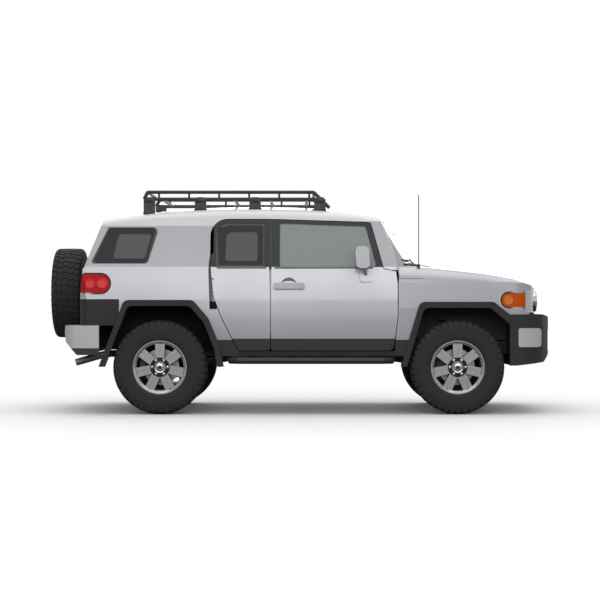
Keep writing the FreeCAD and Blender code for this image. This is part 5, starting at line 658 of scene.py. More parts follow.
    def pad(self, low: Point, high: Point, thin: int = 2, power: float = 4.2, cuts: int = 18,
            grooves: tuple[tuple[int, float, float, float], ...] = (), turn: Matrix | None = None) -> None:
        """Adds a crowned pad whose sides pull in between its corners, with sewn channels.

        Args:
            low: its lowest corner.
            high: its highest corner.
            thin: the axis of its thickness.
            power: how square it is: 2 is an ellipsoid, and more is squarer.
            cuts: how finely it is divided.
            grooves: each channel's axis, place from the middle, depth and half width.
            turn: a turn and shift given to it afterwards.
        """
        part = bmesh.new()
        bmesh.ops.create_cube(part, size=2.0)
        bmesh.ops.subdivide_edges(part, edges=list(part.edges), cuts=cuts, use_grid_fill=True)
        half = (Vector(high) - Vector(low)) / 2
        middle = (Vector(high) + Vector(low)) / 2
        for vert in part.verts:
            reach = max(abs(v) for v in vert.co)
            spot = vert.co * (reach / sum(abs(v) ** power for v in vert.co) ** (1.0 / power))
            spot = Vector([v * h for v, h in zip(spot, half)])
            sunk = max(
                [deep * math.exp(-((spot[axis] - at) / wide) ** 2) for axis, at, deep, wide in grooves]
                + [0.0])
            spot[thin] -= math.copysign(min(sunk, abs(spot[thin])), spot[thin])
            vert.co = middle + spot
        self.take(part, turn)

    def take(self, part: bmesh.types.BMesh, turn: Matrix | None) -> None:
        """Moves a made part into this piece.

        Args:
            part: the part, which is used up.
            turn: a turn and shift given to it first.
        """
        if turn is not None:
            bmesh.ops.transform(part, matrix=turn, verts=part.verts)
        held = bpy.data.meshes.new("held")
        part.to_mesh(held)
        part.free()
        self.mesh.from_mesh(held)
        bpy.data.meshes.remove(held)

    def finish(
            self, name: str, finish: Coating, body: str = "vehicle",
            smooth_deg: float = 35.0) -> bpy.types.Object:
        """Turns the collected faces into an object that rides on a body.

        Args:
            name: the piece's name.
            finish: what it is made of.
            body: the body it moves with.
            smooth_deg: faces that meet at less than this angle shade as one.

        Returns:
            The new object.
        """
        bmesh.ops.recalc_face_normals(self.mesh, faces=self.mesh.faces)
        limit = math.radians(smooth_deg)
        for face in self.mesh.faces:
            face.smooth = True
        for edge in self.mesh.edges:
            edge.smooth = not (edge.is_manifold and edge.calc_face_angle(0.0) > limit)
        mesh = bpy.data.meshes.new(name)
        self.mesh.to_mesh(mesh)
        self.mesh.free()
        mesh.materials.append(finish.material())
        made = bpy.data.objects.new(name, mesh)
        bpy.context.scene.collection.objects.link(made)
        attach(made, body)
        LOG.info("%s: %d faces on %s", name, len(mesh.polygons), body)
        return made


# The carried panels and solids


@dataclass(frozen=True)
class CarriedParts:
    """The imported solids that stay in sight, each with the finish of its real material."""

    own: tuple[tuple[str, Coating], ...] = (
        ("body_floor", UNDERSEAL), ("front_door_left", DOOR_BANDS), ("front_door_right", DOOR_BANDS),
        ("rear_door_left", DOOR_BANDS), ("rear_door_right", DOOR_BANDS), ("quarter_panels", QUARTER_PAINT),
        ("front_wings", WING_PAINT), ("rear_bumper", BUMPER_BANDS))

    def dress(self) -> None:
        """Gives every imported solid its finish."""
        own = dict(self.own)
        for part in frame["record"]["subparts"]:
            node = frame["nodes"][part["node"]]
            finish = own.get(part["node"], SLOT_FINISHES[part["material_slot"]])
            for i in range(max(1, len(node.data.materials))):
                if len(node.data.materials) <= i:
                    node.data.materials.append(finish.material())
                else:
                    node.data.materials[i] = finish.material()
            LOG.info("%s: %s", part["node"], finish.name)


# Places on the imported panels


def landing(node: str, start: Point, way: Point, lift: float = 0.0) -> Point:
    """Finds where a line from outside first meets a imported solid.

    Args:
        node: the solid's name.
        start: where the line starts.
        way: its direction, of length 1.
        lift: how far before the surface the returned point lies.

    Returns:
        The point.

    Raises:
        ValueError: the line misses the solid.
    """
    hit, spot, _, _ = frame["nodes"][node].ray_cast(Vector(start), Vector(way))
    if not hit:
        raise ValueError(f"{node} isn't met from {start}")
    return tuple(spot - lift * Vector(way))


def on_side(node: str, x: float, z: float, side: int, lift: float = 0.0) -> Point:
    """Returns the point of a solid's outer side face at x and z, lifted off it."""
    return landing(node, (x, side * 1.6, z), (0.0, -side, 0.0), lift)


def rounded(corners_in: list[Point] | Corners, steps: int = 5) -> list[Flat]:
    """Rounds a flat outline's corners.

    Args:
        corners_in: each corner and its radius.
        steps: how many points each corner gets, less one.

    Returns:
        The rounded outline's points, in order.
    """
    made: list[Flat] = []
    for i, (u, v, radius) in enumerate(corners_in):
        here = Vector((u, v))
        before = (Vector(corners_in[i - 1][:2]) - here).normalized()
        after = (Vector(corners_in[(i + 1) % len(corners_in)][:2]) - here).normalized()
        half = before.angle(after) / 2
        reach = radius / math.tan(half)
        centre = here + (before + after).normalized() * radius / math.sin(half)
        first = here + before * reach - centre
        last = here + after * reach - centre
        turn = first.angle_signed(last)
        for k in range(steps + 1):
            spot = first.copy()
            spot.rotate(Matrix.Rotation(-turn * k / steps, 2))
            made.append(tuple(centre + spot))
    return made


def inset(outline: list[Flat], gap: float) -> list[Flat]:
    """Moves an outline's points inward by a gap.

    Args:
        outline: its points, in order.
        gap: how far, and below zero to move them outward.

    Returns:
        The moved points.
    """
    area = sum(a[0] * b[1] - b[0] * a[1] for a, b in zip(outline, outline[1:] + outline[:1]))
    made = []
    for i, (u, v) in enumerate(outline):
        run = Vector(outline[(i + 1) % len(outline)]) - Vector(outline[i - 1])
        inward = Vector((-run.y, run.x)).normalized() * math.copysign(gap, area)
        made.append((u + inward.x, v + inward.y))
    return made


def shifted(profile: Line, by: float, way: int = 1) -> list[Flat]:
    """Returns a turned profile of (along, radius), mirrored where way is -1, and moved along its axis."""
    return [(by + way * along, radius) for along, radius in profile]


def oblong(middle: float, half: float, low: float, high: float, radius: float) -> list[Flat]:
    """Returns the outline of a rounded rectangle, half each way across from its middle."""
    return rounded([(middle - half, low, radius), (middle + half, low, radius), (middle + half, high, radius),
                    (middle - half, high, radius)])


# Wheels


@dataclass(frozen=True)
class RoadTyre:
    """All-terrain tyre about the Y axis: a turned carcass with five rows of tread blocks."""

    radius: float = 0.424
    pitches: int = 42
    steps: int = 126
    block_share: float = 0.76
    skew: float = 0.55
    carcass: Line = (
        (0.0, 0.4135), (0.06, 0.413), (0.098, 0.4105), (0.112, 0.4055), (0.1225, 0.396), (0.1285, 0.382),
        (0.132, 0.366), (0.1335, 0.3545), (0.1349, 0.3525), (0.135, 0.344), (0.1338, 0.342), (0.1346, 0.325),
        (0.134, 0.305), (0.1316, 0.288), (0.1325, 0.286), (0.1318, 0.279), (0.1298, 0.277), (0.1272, 0.265),
        (0.1235, 0.252), (0.117, 0.244), (0.108, 0.24), (0.1, 0.233))
    shoulder: Line = (
        (0.084, 0.406), (0.084, 0.422), (0.0855, 0.4228), (0.108, 0.4205), (0.1195, 0.4145), (0.1275, 0.405),
        (0.1325, 0.391))
    long_end: Line = ((0.1346, 0.366), (0.1322, 0.364), (0.1285, 0.38), (0.112, 0.402))
    short_end: Line = ((0.1342, 0.379), (0.1316, 0.3775), (0.1285, 0.386), (0.112, 0.402))

    def row(self, low: float, high: float, fall: float) -> list[Flat]:
        """Returns a tread row's section between two places across, with its sipe.

        Args:
            low: where the row starts across the tread.
            high: where it ends.
            fall: how much lower its outer edge lies.

        Returns:
            The section's points as (across, radius).
        """
        middle = (low + high) / 2
        top = self.radius - fall / 2
        return [
            (low, self.radius - 0.016), (low, self.radius - 0.0014), (low + 0.0015, self.radius),
            (middle - 0.0014, top), (middle - 0.0009, top - 0.006), (middle + 0.0009, top - 0.006),
            (middle + 0.0014, top), (high - 0.0015, self.radius - fall), (high, self.radius - fall - 0.0014),
            (high, self.radius - 0.016)]

    def block(self, shaper: Shaper, section: list[Flat], start: float, side: int) -> None:
        """Adds one tread block.

        Args:
            shaper: the mesh that gets it.
            section: its section as (across, radius).
            start: the angle it starts at.
            side: 1, or -1 for the mirrored half.
        """
        part = bmesh.new()
        run = 2 * math.pi / self.pitches * self.block_share
        rows = []
        for k in range(3):
            rows.append([])
            for across, radius in section:
                angle = start + run * k / 2 + self.skew * across
                rows[-1].append(
                    part.verts.new((radius * math.sin(angle), side * across, radius * math.cos(angle))))
        for one, two in zip(rows, rows[1:]):
            for k in range(len(section)):
                j = (k + 1) % len(section)
                part.faces.new((one[k], one[j], two[j], two[k]))
        part.faces.new(rows[0])
        part.faces.new(list(reversed(rows[-1])))
        bmesh.ops.recalc_face_normals(part, faces=part.faces)
        shaper.take(part, None)

    def shape(self, name: str, body: str) -> bpy.types.Object:
        """Builds the tyre about the origin and rides it on its wheel.

        Args:
            name: the piece's name.
            body: the wheel's body.

        Returns:
            The tyre.
        """
        shaper = Shaper()
        inner = [(-across, radius) for across, radius in reversed(self.carcass)]
        shaper.lathe(inner + list(self.carcass[1:]), ORIGIN, "y", self.steps)
        pitch = 2 * math.pi / self.pitches
        for i in range(self.pitches):
            for side in (-1, 1):
                end = self.long_end if i % 2 else self.short_end
                self.block(shaper, list(self.shoulder + end), i * pitch + (side + 1) * pitch / 4, side)
                self.block(shaper, self.row(0.03, 0.0775, 0.001), i * pitch + pitch * 0.35, side)
            self.block(shaper, self.row(-0.024, 0.024, 0.0), i * pitch + pitch * 0.7, 1)
        return shaper.finish(name, TYRE_RUBBER, body, 30.0)


@dataclass(frozen=True)
class Wheels:
    """The five tyres and their valves."""

    spots: tuple[tuple[str, str], ...] = (
        ("tyre_front_left", "wheel_front_left"), ("tyre_front_right", "wheel_front_right"),
        ("tyre_rear_left", "wheel_rear_left"), ("tyre_rear_right", "wheel_rear_right"),
        ("spare_tyre", "tailgate"))
    stem: Line = (
        (0.0, 0.0065), (0.012, 0.0065), (0.016, 0.0045), (0.03, 0.0045), (0.031, 0.0055), (0.038, 0.0052),
        (0.04, 0.0))
    stem_at: Point = (0.088, 0.062, -0.196)
    spare_stem_at: Point = (-0.06, 0.07, -0.205)

    def dress(self) -> None:
        """Puts a detailed tyre in each packed tyre's place."""
        form: bpy.types.Mesh | None = None
        for node, body in self.spots:
            low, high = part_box(node)
            middle = (Vector(low) + Vector(high)) / 2
            turn = Matrix.Translation(middle)
            if node == "spare_tyre":
                turn = turn @ Matrix.Rotation(math.radians(90.0), 4, "Z")
            if form is None:
                tyre = RoadTyre().shape("road_" + node, body)
                form = tyre.data.copy()
            else:
                tyre = bpy.data.objects.new("road_" + node, form.copy())
                bpy.context.scene.collection.objects.link(tyre)
                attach(tyre, body)
            tyre.data.transform(turn)
            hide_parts(node)
            self.valve(node, body, middle)
            LOG.info("%s: tyre with %d tread pitches", tyre.name, RoadTyre.pitches)

    def valve(self, node: str, body: str, middle: Vector) -> None:
        """Adds the rubber valve of one wheel, on its outer side.

        Args:
            node: the tyre's name.
            body: the wheel's body.
            middle: the wheel's middle.
        """
        shaper = Shaper()
        if node == "spare_tyre":
            shaper.lathe(shifted(self.stem, 0.0, -1), middle + Vector(self.spare_stem_at), "x", 14)
        else:
            side = 1 if middle.y > 0 else -1
            x, y, z = self.stem_at
            shaper.lathe(shifted(self.stem, 0.0, side), middle + Vector((x, side * y, z)), "y", 14)
        shaper.finish("valve_" + node, TYRE_RUBBER, body)


# Seats


@dataclass(frozen=True)
class Seat:
    """One seat: crowned cushion and back with side bolsters, sewn channels, piping and head rests."""

    name: str
    x: float
    y: float
    width: float
    heads: int
    base_z: float
    length: float = 0.5
    cushion_z: float = 1.01
    back_top_z: float = 1.53
    lean_deg: float = 18.0
    foot_below: float = 0.075
    gap: float = 0.004
    cushion_deep: float = 0.145
    cushion_channels: Flat = (0.06, -0.07)
    back_x: Flat = (-0.06, 0.052)
    back_deep: float = 0.07
    back_channels: Flat = (0.1, -0.06)
    channel: Flat = (0.006, 0.008)
    bolster_in: float = 0.045
    bolster_half: float = 0.043
    cushion_bolster: Row = (0.03, -0.02, -0.1, 0.012)
    back_bolster: Row = (-0.02, 0.075, 0.04, -0.09)
    seam_in: float = 0.1
    seam_r: float = 0.003
    cushion_seam: Row = (0.06, -0.002, 0.001, -0.008)
    back_seam: Line = ((0.048, 0.08), (0.054, 0.25), (0.044, -0.09))
    rest_half: Flat = (0.052, 0.128)
    rest_z: Flat = (0.034, 0.196)
    post_half: float = 0.055
    post_z: Flat = (-0.03, 0.06)
    post_r: float = 0.006
    rail_share: float = 0.3
    rail: Corners = ((-0.2, -0.02, 0.002), (0.18, 0.02, 0.03))
    cover: Line = ((-0.19, 0.02), (0.17, 0.02), (0.15, -0.13), (-0.17, -0.13))
    cover_half: float = 0.015
    lever: Corners = ((0.16, -0.12, 0.06), (0.21, -0.1, 0.07), (0.21, 0.1, 0.07), (0.16, 0.12, 0.06))
    lever_r: float = 0.007

    def ends(self) -> Flat:
        """Returns where the seat ends behind and in front."""
        return self.x - self.length / 2, self.x + self.length / 2

    def lean(self) -> Matrix:
        """Returns the back's lean about its foot."""
        foot = Vector((self.ends()[0], 0.0, self.cushion_z - self.foot_below))
        turn = Matrix.Rotation(math.radians(-self.lean_deg), 4, "Y")
        return Matrix.Translation(foot) @ turn @ Matrix.Translation(-foot)

    def pads(self, shaper: Shaper) -> None:
        """Adds the cushion, the back and their bolsters.

        Args:
            shaper: the mesh that gets them.
        """
        low_x, high_x = self.ends()
        seat, top, tilt = self.cushion_z, self.back_top_z, self.lean()
        part = self.width / self.heads
        for i in range(self.heads):
            start = self.y - self.width / 2 + i * part
            near, far = start + self.gap, start + part - self.gap
            shaper.pad((low_x, near, seat - self.cushion_deep), (high_x - self.gap, far, seat - self.gap),
                       grooves=tuple((0, at, *self.channel) for at in self.cushion_channels))
            shaper.pad(
                (low_x + self.back_x[0], near, seat - self.back_deep),
                (low_x + self.back_x[1], far, top - self.gap), thin=0,
                grooves=tuple((2, at, *self.channel) for at in self.back_channels), turn=tilt)
            for side in (-1, 1):
                out = start + part / 2 + side * (part / 2 - self.bolster_in)
                near, far = out - self.bolster_half, out + self.bolster_half
                rear, front, low, high = self.cushion_bolster
                shaper.pad((low_x + rear, near, seat + low), (high_x + front, far, seat + high), power=3.0)
                rear, front, low, high = self.back_bolster
                shaper.pad(
                    (low_x + rear, near, seat + low), (low_x + front, far, top + high), thin=0, power=3.0,
                    turn=tilt)
            for y in (start + self.seam_in, start + part - self.seam_in):
                end, rear, middle, front = self.cushion_seam
                shaper.tube(
                    [
                        (low_x + end, y, seat + rear), (self.x, y, seat + middle),
                        (high_x - end, y, seat + front)],
                    self.seam_r, 8)
                line = [(low_x + x, y, z + rise) for (x, rise), z in zip(self.back_seam, (seat, seat, top))]
                shaper.tube(line, self.seam_r, 8, turn=tilt)

    def rests(self, shaper: Shaper, posts: Shaper) -> None:
        """Adds the head rests and their steel posts.

        Args:
            shaper: the mesh of the pads.
            posts: the mesh of the posts.
        """
        x, top, tilt = self.ends()[0], self.back_top_z, self.lean()
        half_x, half_y = self.rest_half
        low, high = self.rest_z
        for i in range(self.heads):
            y = self.y + self.width * ((i + 0.5) / self.heads - 0.5)
            shaper.pad(
                (x - half_x, y - half_y, top + low), (x + half_x, y + half_y, top + high), thin=0, power=3.4,
                turn=tilt)
            for side in (-1, 1):
                line = [(x, y + side * self.post_half, top + rise) for rise in self.post_z]
                posts.tube(line, self.post_r, 12, turn=tilt)

    def base(self, shaper: Shaper) -> None:
        """Adds the rails, the side covers and the lever under the cushion.

        Args:
            shaper: the mesh that gets them.
        """
        floor = self.base_z
        for side in (-1, 1):
            y = self.y + side * self.width * self.rail_share
            shaper.block(*((self.x + along, y + across, floor + rise) for along, across, rise in self.rail))
            outline = [
                (self.x + along, z + rise) for (along, rise),
                z in zip(self.cover, (floor, floor, self.cushion_z, self.cushion_z))]
            shaper.prism(outline, "y", y - self.cover_half, y + self.cover_half, 0.006)
        line = [(self.x + along, self.y + across, floor + rise) for along, across, rise in self.lever]
        shaper.tube(line, self.lever_r, 10)

    def build(self) -> bpy.types.Object:
        """Builds the seat's three pieces.

        Returns:
            Its upholstery.
        """
        cloth, steel, frame_parts = Shaper(), Shaper(), Shaper()
        self.pads(cloth)
        self.rests(cloth, steel)
        self.base(frame_parts)
        cover = cloth.finish(self.name, SEAT_CLOTH, smooth_deg=60.0)
        steel.finish(self.name + "_posts", RIM_ALLOY)
        frame_parts.finish(self.name + "_base", CABIN_PLASTIC)
        return cover


@dataclass(frozen=True)
class Seats:
    """The two front seats and the rear bench."""

    seats: tuple[Seat, ...] = (
        Seat("seat_left", 0.06, 0.37, 0.48, 1, 0.724), Seat("seat_right", 0.06, -0.37, 0.48, 1, 0.724),
        Seat("seat_bench", -0.76, 0.0, 1.15, 2, 0.83))

    def dress(self) -> None:
        """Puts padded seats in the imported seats' place."""
        made = [seat.build() for seat in self.seats]
        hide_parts("seats")


# Doors and windows


@dataclass(frozen=True)
class DoorTrim:
    """What the doors carry outside and inside: handle cups with painted shade and light, keyholes, seals,
    cards and pulls.
    """

    cup_x: float = -0.107
    cup_z: float = 1.161
    cup_r: float = 0.073
    cup_probe_above: float = 0.05
    cup_shares: Line = ((0.0004, 0.0), (0.0006, 0.55), (0.0012, 0.8), (0.003, 0.93), (0.0034, 0.97))
    cup_edge: Line = ((0.0004, 0.002), (-0.004, 0.002))
    lock_x: float = 0.005
    lock: Line = ((0.0, 0.0085), (0.0018, 0.0085), (0.0022, 0.0075), (0.0006, 0.006), (0.0006, 0.0))
    key_slot: Point = (0.0015, 0.0012, 0.004)
    sill_z: float = 1.322
    seal_steps: int = 14
    seal_r: float = 0.0055
    front_sill: Flat = (-0.235, 0.655)
    rear_sill: Flat = (-0.76, -0.31)
    front_card: Flat = (-0.2, 0.7)
    rear_card: Flat = (-0.6, -0.35)
    card_z: Flat = (0.66, 1.27)
    card_t: float = 0.012
    arm_rest: Row = (0.08, 0.12, 0.055, 0.99, 1.045, 0.014)
    pocket: Row = (0.06, 0.08, 0.045, 0.68, 0.79, 0.012)
    pull_half: float = 0.05
    pull_z: float = 1.12
    speaker: Line = ((0.0, 0.07), (0.004, 0.07), (0.006, 0.062), (0.003, 0.055), (0.005, 0.0))
    speaker_in: float = 0.14
    speaker_z: float = 0.87

    def cup(self, side: int, label: str) -> None:
        """Adds the pressed cup behind a front door's handle, a thin dish on the skin whose hollow is painted
        shade above and painted light below, and its lock.

        Args:
            side: 1 left, -1 right.
            label: the side's name.
        """
        body = "front_door_" + label
        face = on_side(body, self.cup_x, self.cup_z + self.cup_probe_above, side)
        shaper = Shaper()
        ring = [(out, self.cup_r * share) for out, share in self.cup_shares]
        ring += [(out, self.cup_r + more) for out, more in self.cup_edge]
        shaper.lathe([(side * out, r) for out, r in ring], (self.cup_x, face[1], self.cup_z), "y", 56)
        # The dish's finish paints the hollow: painted shade above the handle's middle, painted light below
        # it.
        shaper.finish("handle_cup_" + label, CUP_PAINTED_SHADING, body)
        lock = Shaper()
        y = on_side(body, self.lock_x, self.cup_z, side)[1]
        lock.lathe(shifted(self.lock, 0.0, side), (self.lock_x, y, self.cup_z), "y", 24)
        half_x, half_y, half_z = self.key_slot
        lock.block((self.lock_x - half_x, y - half_y, self.cup_z - half_z),
                   (self.lock_x + half_x, y + half_y, self.cup_z + half_z), 0.0004)
        lock.finish("door_lock_" + label, RIM_ALLOY, body)

    def belt(self, node: str, ends: Flat, side: int) -> None:
        """Adds the wiping seal along the bottom of a door's window.

        Args:
            node: the door.
            ends: where it starts and ends along the car.
            side: 1 left, -1 right.
        """
        low_x, high_x = ends
        shaper = Shaper()
        line = [on_side(node, low_x + (high_x - low_x) * i / self.seal_steps, self.sill_z, side, 0.001)
                for i in range(self.seal_steps + 1)]
        shaper.tube(line, self.seal_r, 10)
        shaper.finish("belt_seal_" + node, TYRE_RUBBER, node)

    def card(self, node: str, ends: Flat, side: int) -> None:
        """Adds the inner card of a door with arm rest, pocket, pull and speaker.

        Args:
            node: the door.
            ends: where it starts and ends along the car.
            side: 1 left, -1 right.
        """
        low_x, high_x = ends
        middle = (low_x + high_x) / 2
        inner = [
            landing(node, (x, 0.2 * side, z), (0.0, side, 0.0), 0.003) for z in self.card_z for x in ends]
        card = Shaper()
        back = [(p[0], p[1] + side * 0.002, p[2]) for p in (inner[0], inner[1], inner[3], inner[2])]
        front = [(p[0] * 0.99 + 0.01 * (low_x + high_x) / 2, p[1] - side * self.card_t, p[2]) for p in back]
        card.loft([back, front], True)
        y = (inner[0][1] + inner[2][1]) / 2
        for rear_in, front_in, deep, low_z, high_z, round_m in (self.arm_rest, self.pocket):
            near, far = sorted((y, y - side * deep))
            card.block((low_x + rear_in, near, low_z), (high_x - front_in, far, high_z), round_m)
        card.finish("door_card_" + node, CABIN_PLASTIC, node)
        metal = Shaper()
        metal.tube([(middle + way * self.pull_half, y - side * out, self.pull_z)
                    for way, out in ((-1, 0.02), (-1, 0.04), (1, 0.04), (1, 0.02))], 0.006, 10)
        spot = (high_x - self.speaker_in, y - side * self.card_t, self.speaker_z)
        metal.lathe(shifted(self.speaker, 0.0, -side), spot, "y", 40)
        metal.finish("door_pull_" + node, BLACK_STEEL, node)

    def dress(self) -> None:
        """Dresses the four doors."""
        for side, label in SIDES:
            front, rear = "front_door_" + label, "rear_door_" + label
            self.cup(side, label)
            self.belt(front, self.front_sill, side)
            self.belt(rear, self.rear_sill, side)
            self.card(front, self.front_card, side)
            self.card(rear, self.rear_card, side)


@dataclass(frozen=True)
class GlassTrim:
    """The black baked border of the rear quarter panes, the wipers and the mirrors' glass."""

    pane: Corners = (
        (-1.886, 1.366, 0.03), (-1.395, 1.366, 0.03), (-1.315, 1.688, 0.03), (-1.742, 1.688, 0.045))
    view: Corners = (
        (-1.702, 1.409, 0.018), (-1.411, 1.409, 0.018), (-1.36, 1.631, 0.018), (-1.654, 1.631, 0.018))
    border_lifts: Flat = (0.0001, 0.001)
    outside: float = 2.0
    foot_x: float = 1.06
    foot_lift: float = 0.004
    foot: Line = ((-0.004, 0.016), (0.01, 0.016), (0.016, 0.011), (0.018, 0.0))
    arm_rise: Line = ((0.0, 0.012), (-0.02, 0.03))
    arm_end: Flat = (0.008, 0.01)
    arm_lift: float = 0.022
    arm_r: float = 0.006
    blade_z: float = 1.405
    blade_start: float = 0.86
    blade_steps: int = 8
    blade_lift: float = 0.009
    blade_r: float = 0.0055
    wipers: tuple[tuple[str, float, float], ...] = (("wiper_left", 0.6, 0.02), ("wiper_right", -0.05, -0.62))
    mirror_y: float = 1.005
    mirror_half: float = 0.062
    mirror_heights: Flat = (1.345, 1.487)
    mirror_probe: Flat = (0.2, 1.41)

    def quarter(self, side: int, label: str) -> None:
        """Adds the border of one quarter pane.

        Args:
            side: 1 left, -1 right.
            label: the side's name.
        """
        outline, inner = rounded(self.pane), rounded(self.view)
        low, high = self.border_lifts
        shaper = Shaper()
        shaper.loft([[on_side("quarter_glass", x, z, side, lift) for x, z in line]
                     for line, lift in ((outline, low), (outline, high), (inner, high), (inner, low))])
        shaper.finish("quarter_border_" + label, DARK_TRIM)

    def wiper(self, name: str, pivot_y: float, tip_y: float) -> None:
        """Adds one windscreen wiper at rest.

        Args:
            name: the piece's name.
            pivot_y: where its arm turns.
            tip_y: how far across its blade reaches.
        """
        arm = Shaper()
        foot = landing("cowl", (self.foot_x, pivot_y, 1.7), (0.0, 0.0, -1.0), self.foot_lift)
        middle = landing(
            "windscreen", (self.outside, (pivot_y + tip_y) / 2, self.blade_z), BACK, self.arm_lift)
        arm.lathe(self.foot, foot, "z", 24)
        line = [(foot[0] + x, foot[1], foot[2] + rise) for x, rise in self.arm_rise]
        arm.tube(
            line + [(middle[0] + self.arm_end[0], middle[1], middle[2] + self.arm_end[1])], self.arm_r, 10)
        start = pivot_y * self.blade_start
        blade = [
            landing(
                "windscreen", (self.outside, start + (tip_y - start) * i / self.blade_steps, self.blade_z),
                BACK, self.blade_lift)
            for i in range(self.blade_steps + 1)]
        arm.tube(blade, self.blade_r, 8)
        arm.finish(name, BLACK_STEEL)

    def mirror(self, side: int, label: str) -> None:
        """Adds the silvered glass of one door mirror.

        Args:
            side: 1 left, -1 right.
            label: the side's name.
        """
        shaper = Shaper()
        y = side * self.mirror_y
        x, z = self.mirror_probe
        face = landing("mirror_" + label, (x, y, z), AHEAD)[0]
        shaper.prism(
            oblong(y, self.mirror_half, *self.mirror_heights, 0.02), "x", face - 0.003, face + 0.001, 0.0012)
        shaper.finish("mirror_glass_" + label, MIRROR_GLASS, "front_door_" + label)

    def dress(self) -> None:
        """Dresses the panes."""
        for side, label in SIDES:
            self.quarter(side, label)
            self.mirror(side, label)
        for wiper in self.wipers:
            self.wiper(*wiper)


# Wheels' metal parts


@dataclass(frozen=True)
class WheelTrim:
    """Nuts, hub cap, lip and the recesses in painted shade of one alloy wheel, about its own outward Y axis.
    """

    label: str
    rim: str
    body: str
    outside: float = 0.6
    nut_circle: float = 0.07
    nuts: int = 6
    nut: Line = (
        (0.0, 0.0135), (0.003, 0.0135), (0.0035, 0.0105), (0.016, 0.0105), (0.02, 0.008), (0.0215, 0.0))
    spokes: int = 7
    hub_probe_r: float = 0.06
    hub_well: Line = ((0.0002, 0.052), (0.0008, 0.0525), (0.0008, 0.0885), (0.0002, 0.089))
    cap: Line = ((0.0, 0.049), (0.01, 0.048), (0.0125, 0.0455), (0.011, 0.04), (0.0135, 0.03), (0.014, 0.0))
    stud: Line = ((0.0138, 0.0), (0.0148, 0.012), (0.0144, 0.0165), (0.0132, 0.017))
    lip_r: float = 0.2475
    lip_probe_in: float = 0.005
    lip_sunk: float = 0.001
    lip_wire: float = 0.0048
    lip_points: int = 96
    tip_probe_r: float = 0.219
    tip_sunk: float = 0.002
    pocket: Row = (0.021, 0.2155, 0.2255, 0.0012, 0.0028)
    rib: Row = (0.014, 0.0035, 0.2165, 0.2245, 0.0028, 0.0018)
    barrel_in: float = -0.085
    barrel_back: float = 0.052
    barrel_radii: Row = (0.2085, 0.206, 0.2055)

    def turn(self) -> Matrix:
        """Returns the turn and shift from the wheel's own axes to the car's."""
        low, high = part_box(self.rim)
        middle = (Vector(low) + Vector(high)) / 2
        angle = {"left": 0.0, "right": 180.0, "spare": 90.0}[self.label.split("_")[-1]]
        return Matrix.Translation(middle) @ Matrix.Rotation(math.radians(angle), 4, "Z")

    def face(self, turn: Matrix, x: float, z: float) -> float:
        """Finds how far out the rim's surface lies at a place in the wheel's own axes.

        Args:
            turn: the turn and shift to the car's axes.
            x: the place along.
            z: the place above the axle.

        Returns:
            The distance out from the wheel's middle.
        """
        start = turn @ Vector((x, self.outside, z))
        way = (turn.to_3x3() @ Vector((0.0, -1.0, 0.0))).normalized()
        spot = Vector(landing(self.rim, tuple(start), tuple(way)))
        return (turn.inverted() @ spot).y

    def dress(self) -> None:
        """Builds the nuts and hub cap, the lip, the pockets and ribs at the spokes' tips, and the barrel; the
        hub well, the pockets and the barrel are dark grey as painted shade.
        """
        turn = self.turn()
        hub = self.face(turn, 0.0, self.hub_probe_r)
        # The dark pieces are painted shade in the wheel's hollows.
        bright, dark = Shaper(), Shaper()
        dark.lathe(shifted(self.hub_well, hub), ORIGIN, "y", 60, turn)
        for i in range(self.nuts):
            angle = 2 * math.pi * (i + 0.5) / self.nuts
            spot = (self.nut_circle * math.sin(angle), hub, self.nut_circle * math.cos(angle))
            bright.lathe(self.nut, spot, "y", 6, turn)
        bright.lathe(shifted(self.cap, hub), ORIGIN, "y", 48, turn)
        dark.lathe(shifted(self.stud, hub), ORIGIN, "y", 6, turn)
        edge = self.face(turn, 0.0, self.lip_r - self.lip_probe_in) - self.lip_sunk
        ring = [(self.lip_r * math.sin(a), edge, self.lip_r * math.cos(a))
                for a in (2 * math.pi * k / self.lip_points for k in range(self.lip_points))]
        bright.tube(ring, self.lip_wire, 8, True, turn)
        half, low, high, proud, round_m = self.pocket
        rib_x, rib_half, rib_low, rib_high, rib_proud, rib_round = self.rib
        for i in range(self.spokes):
            spin = turn @ Matrix.Rotation(2 * math.pi * i / self.spokes, 4, "Y")
            tip = self.face(spin, 0.0, self.tip_probe_r)
            back = tip - self.tip_sunk
            dark.block((-half, back, low), (half, tip + proud, high), round_m, spin)
            for x in (-rib_x, rib_x):
                bright.block(
                    (x - rib_half, back, rib_low), (x + rib_half, tip + rib_proud, rib_high), rib_round, spin)
        outer, step, inner = self.barrel_radii
        back = hub - self.barrel_back
        profile = [(self.barrel_in, outer), (self.barrel_in, step), (back, inner), (back, outer)]
        dark.lathe(profile, ORIGIN, "y", 72, turn)
        bright.finish("wheel_nuts_" + self.label, CHROME, self.body)
        dark.finish("wheel_recess_painted_shade_" + self.label, WHEEL_PAINTED_SHADE, self.body)


# Lamps, grille and plates


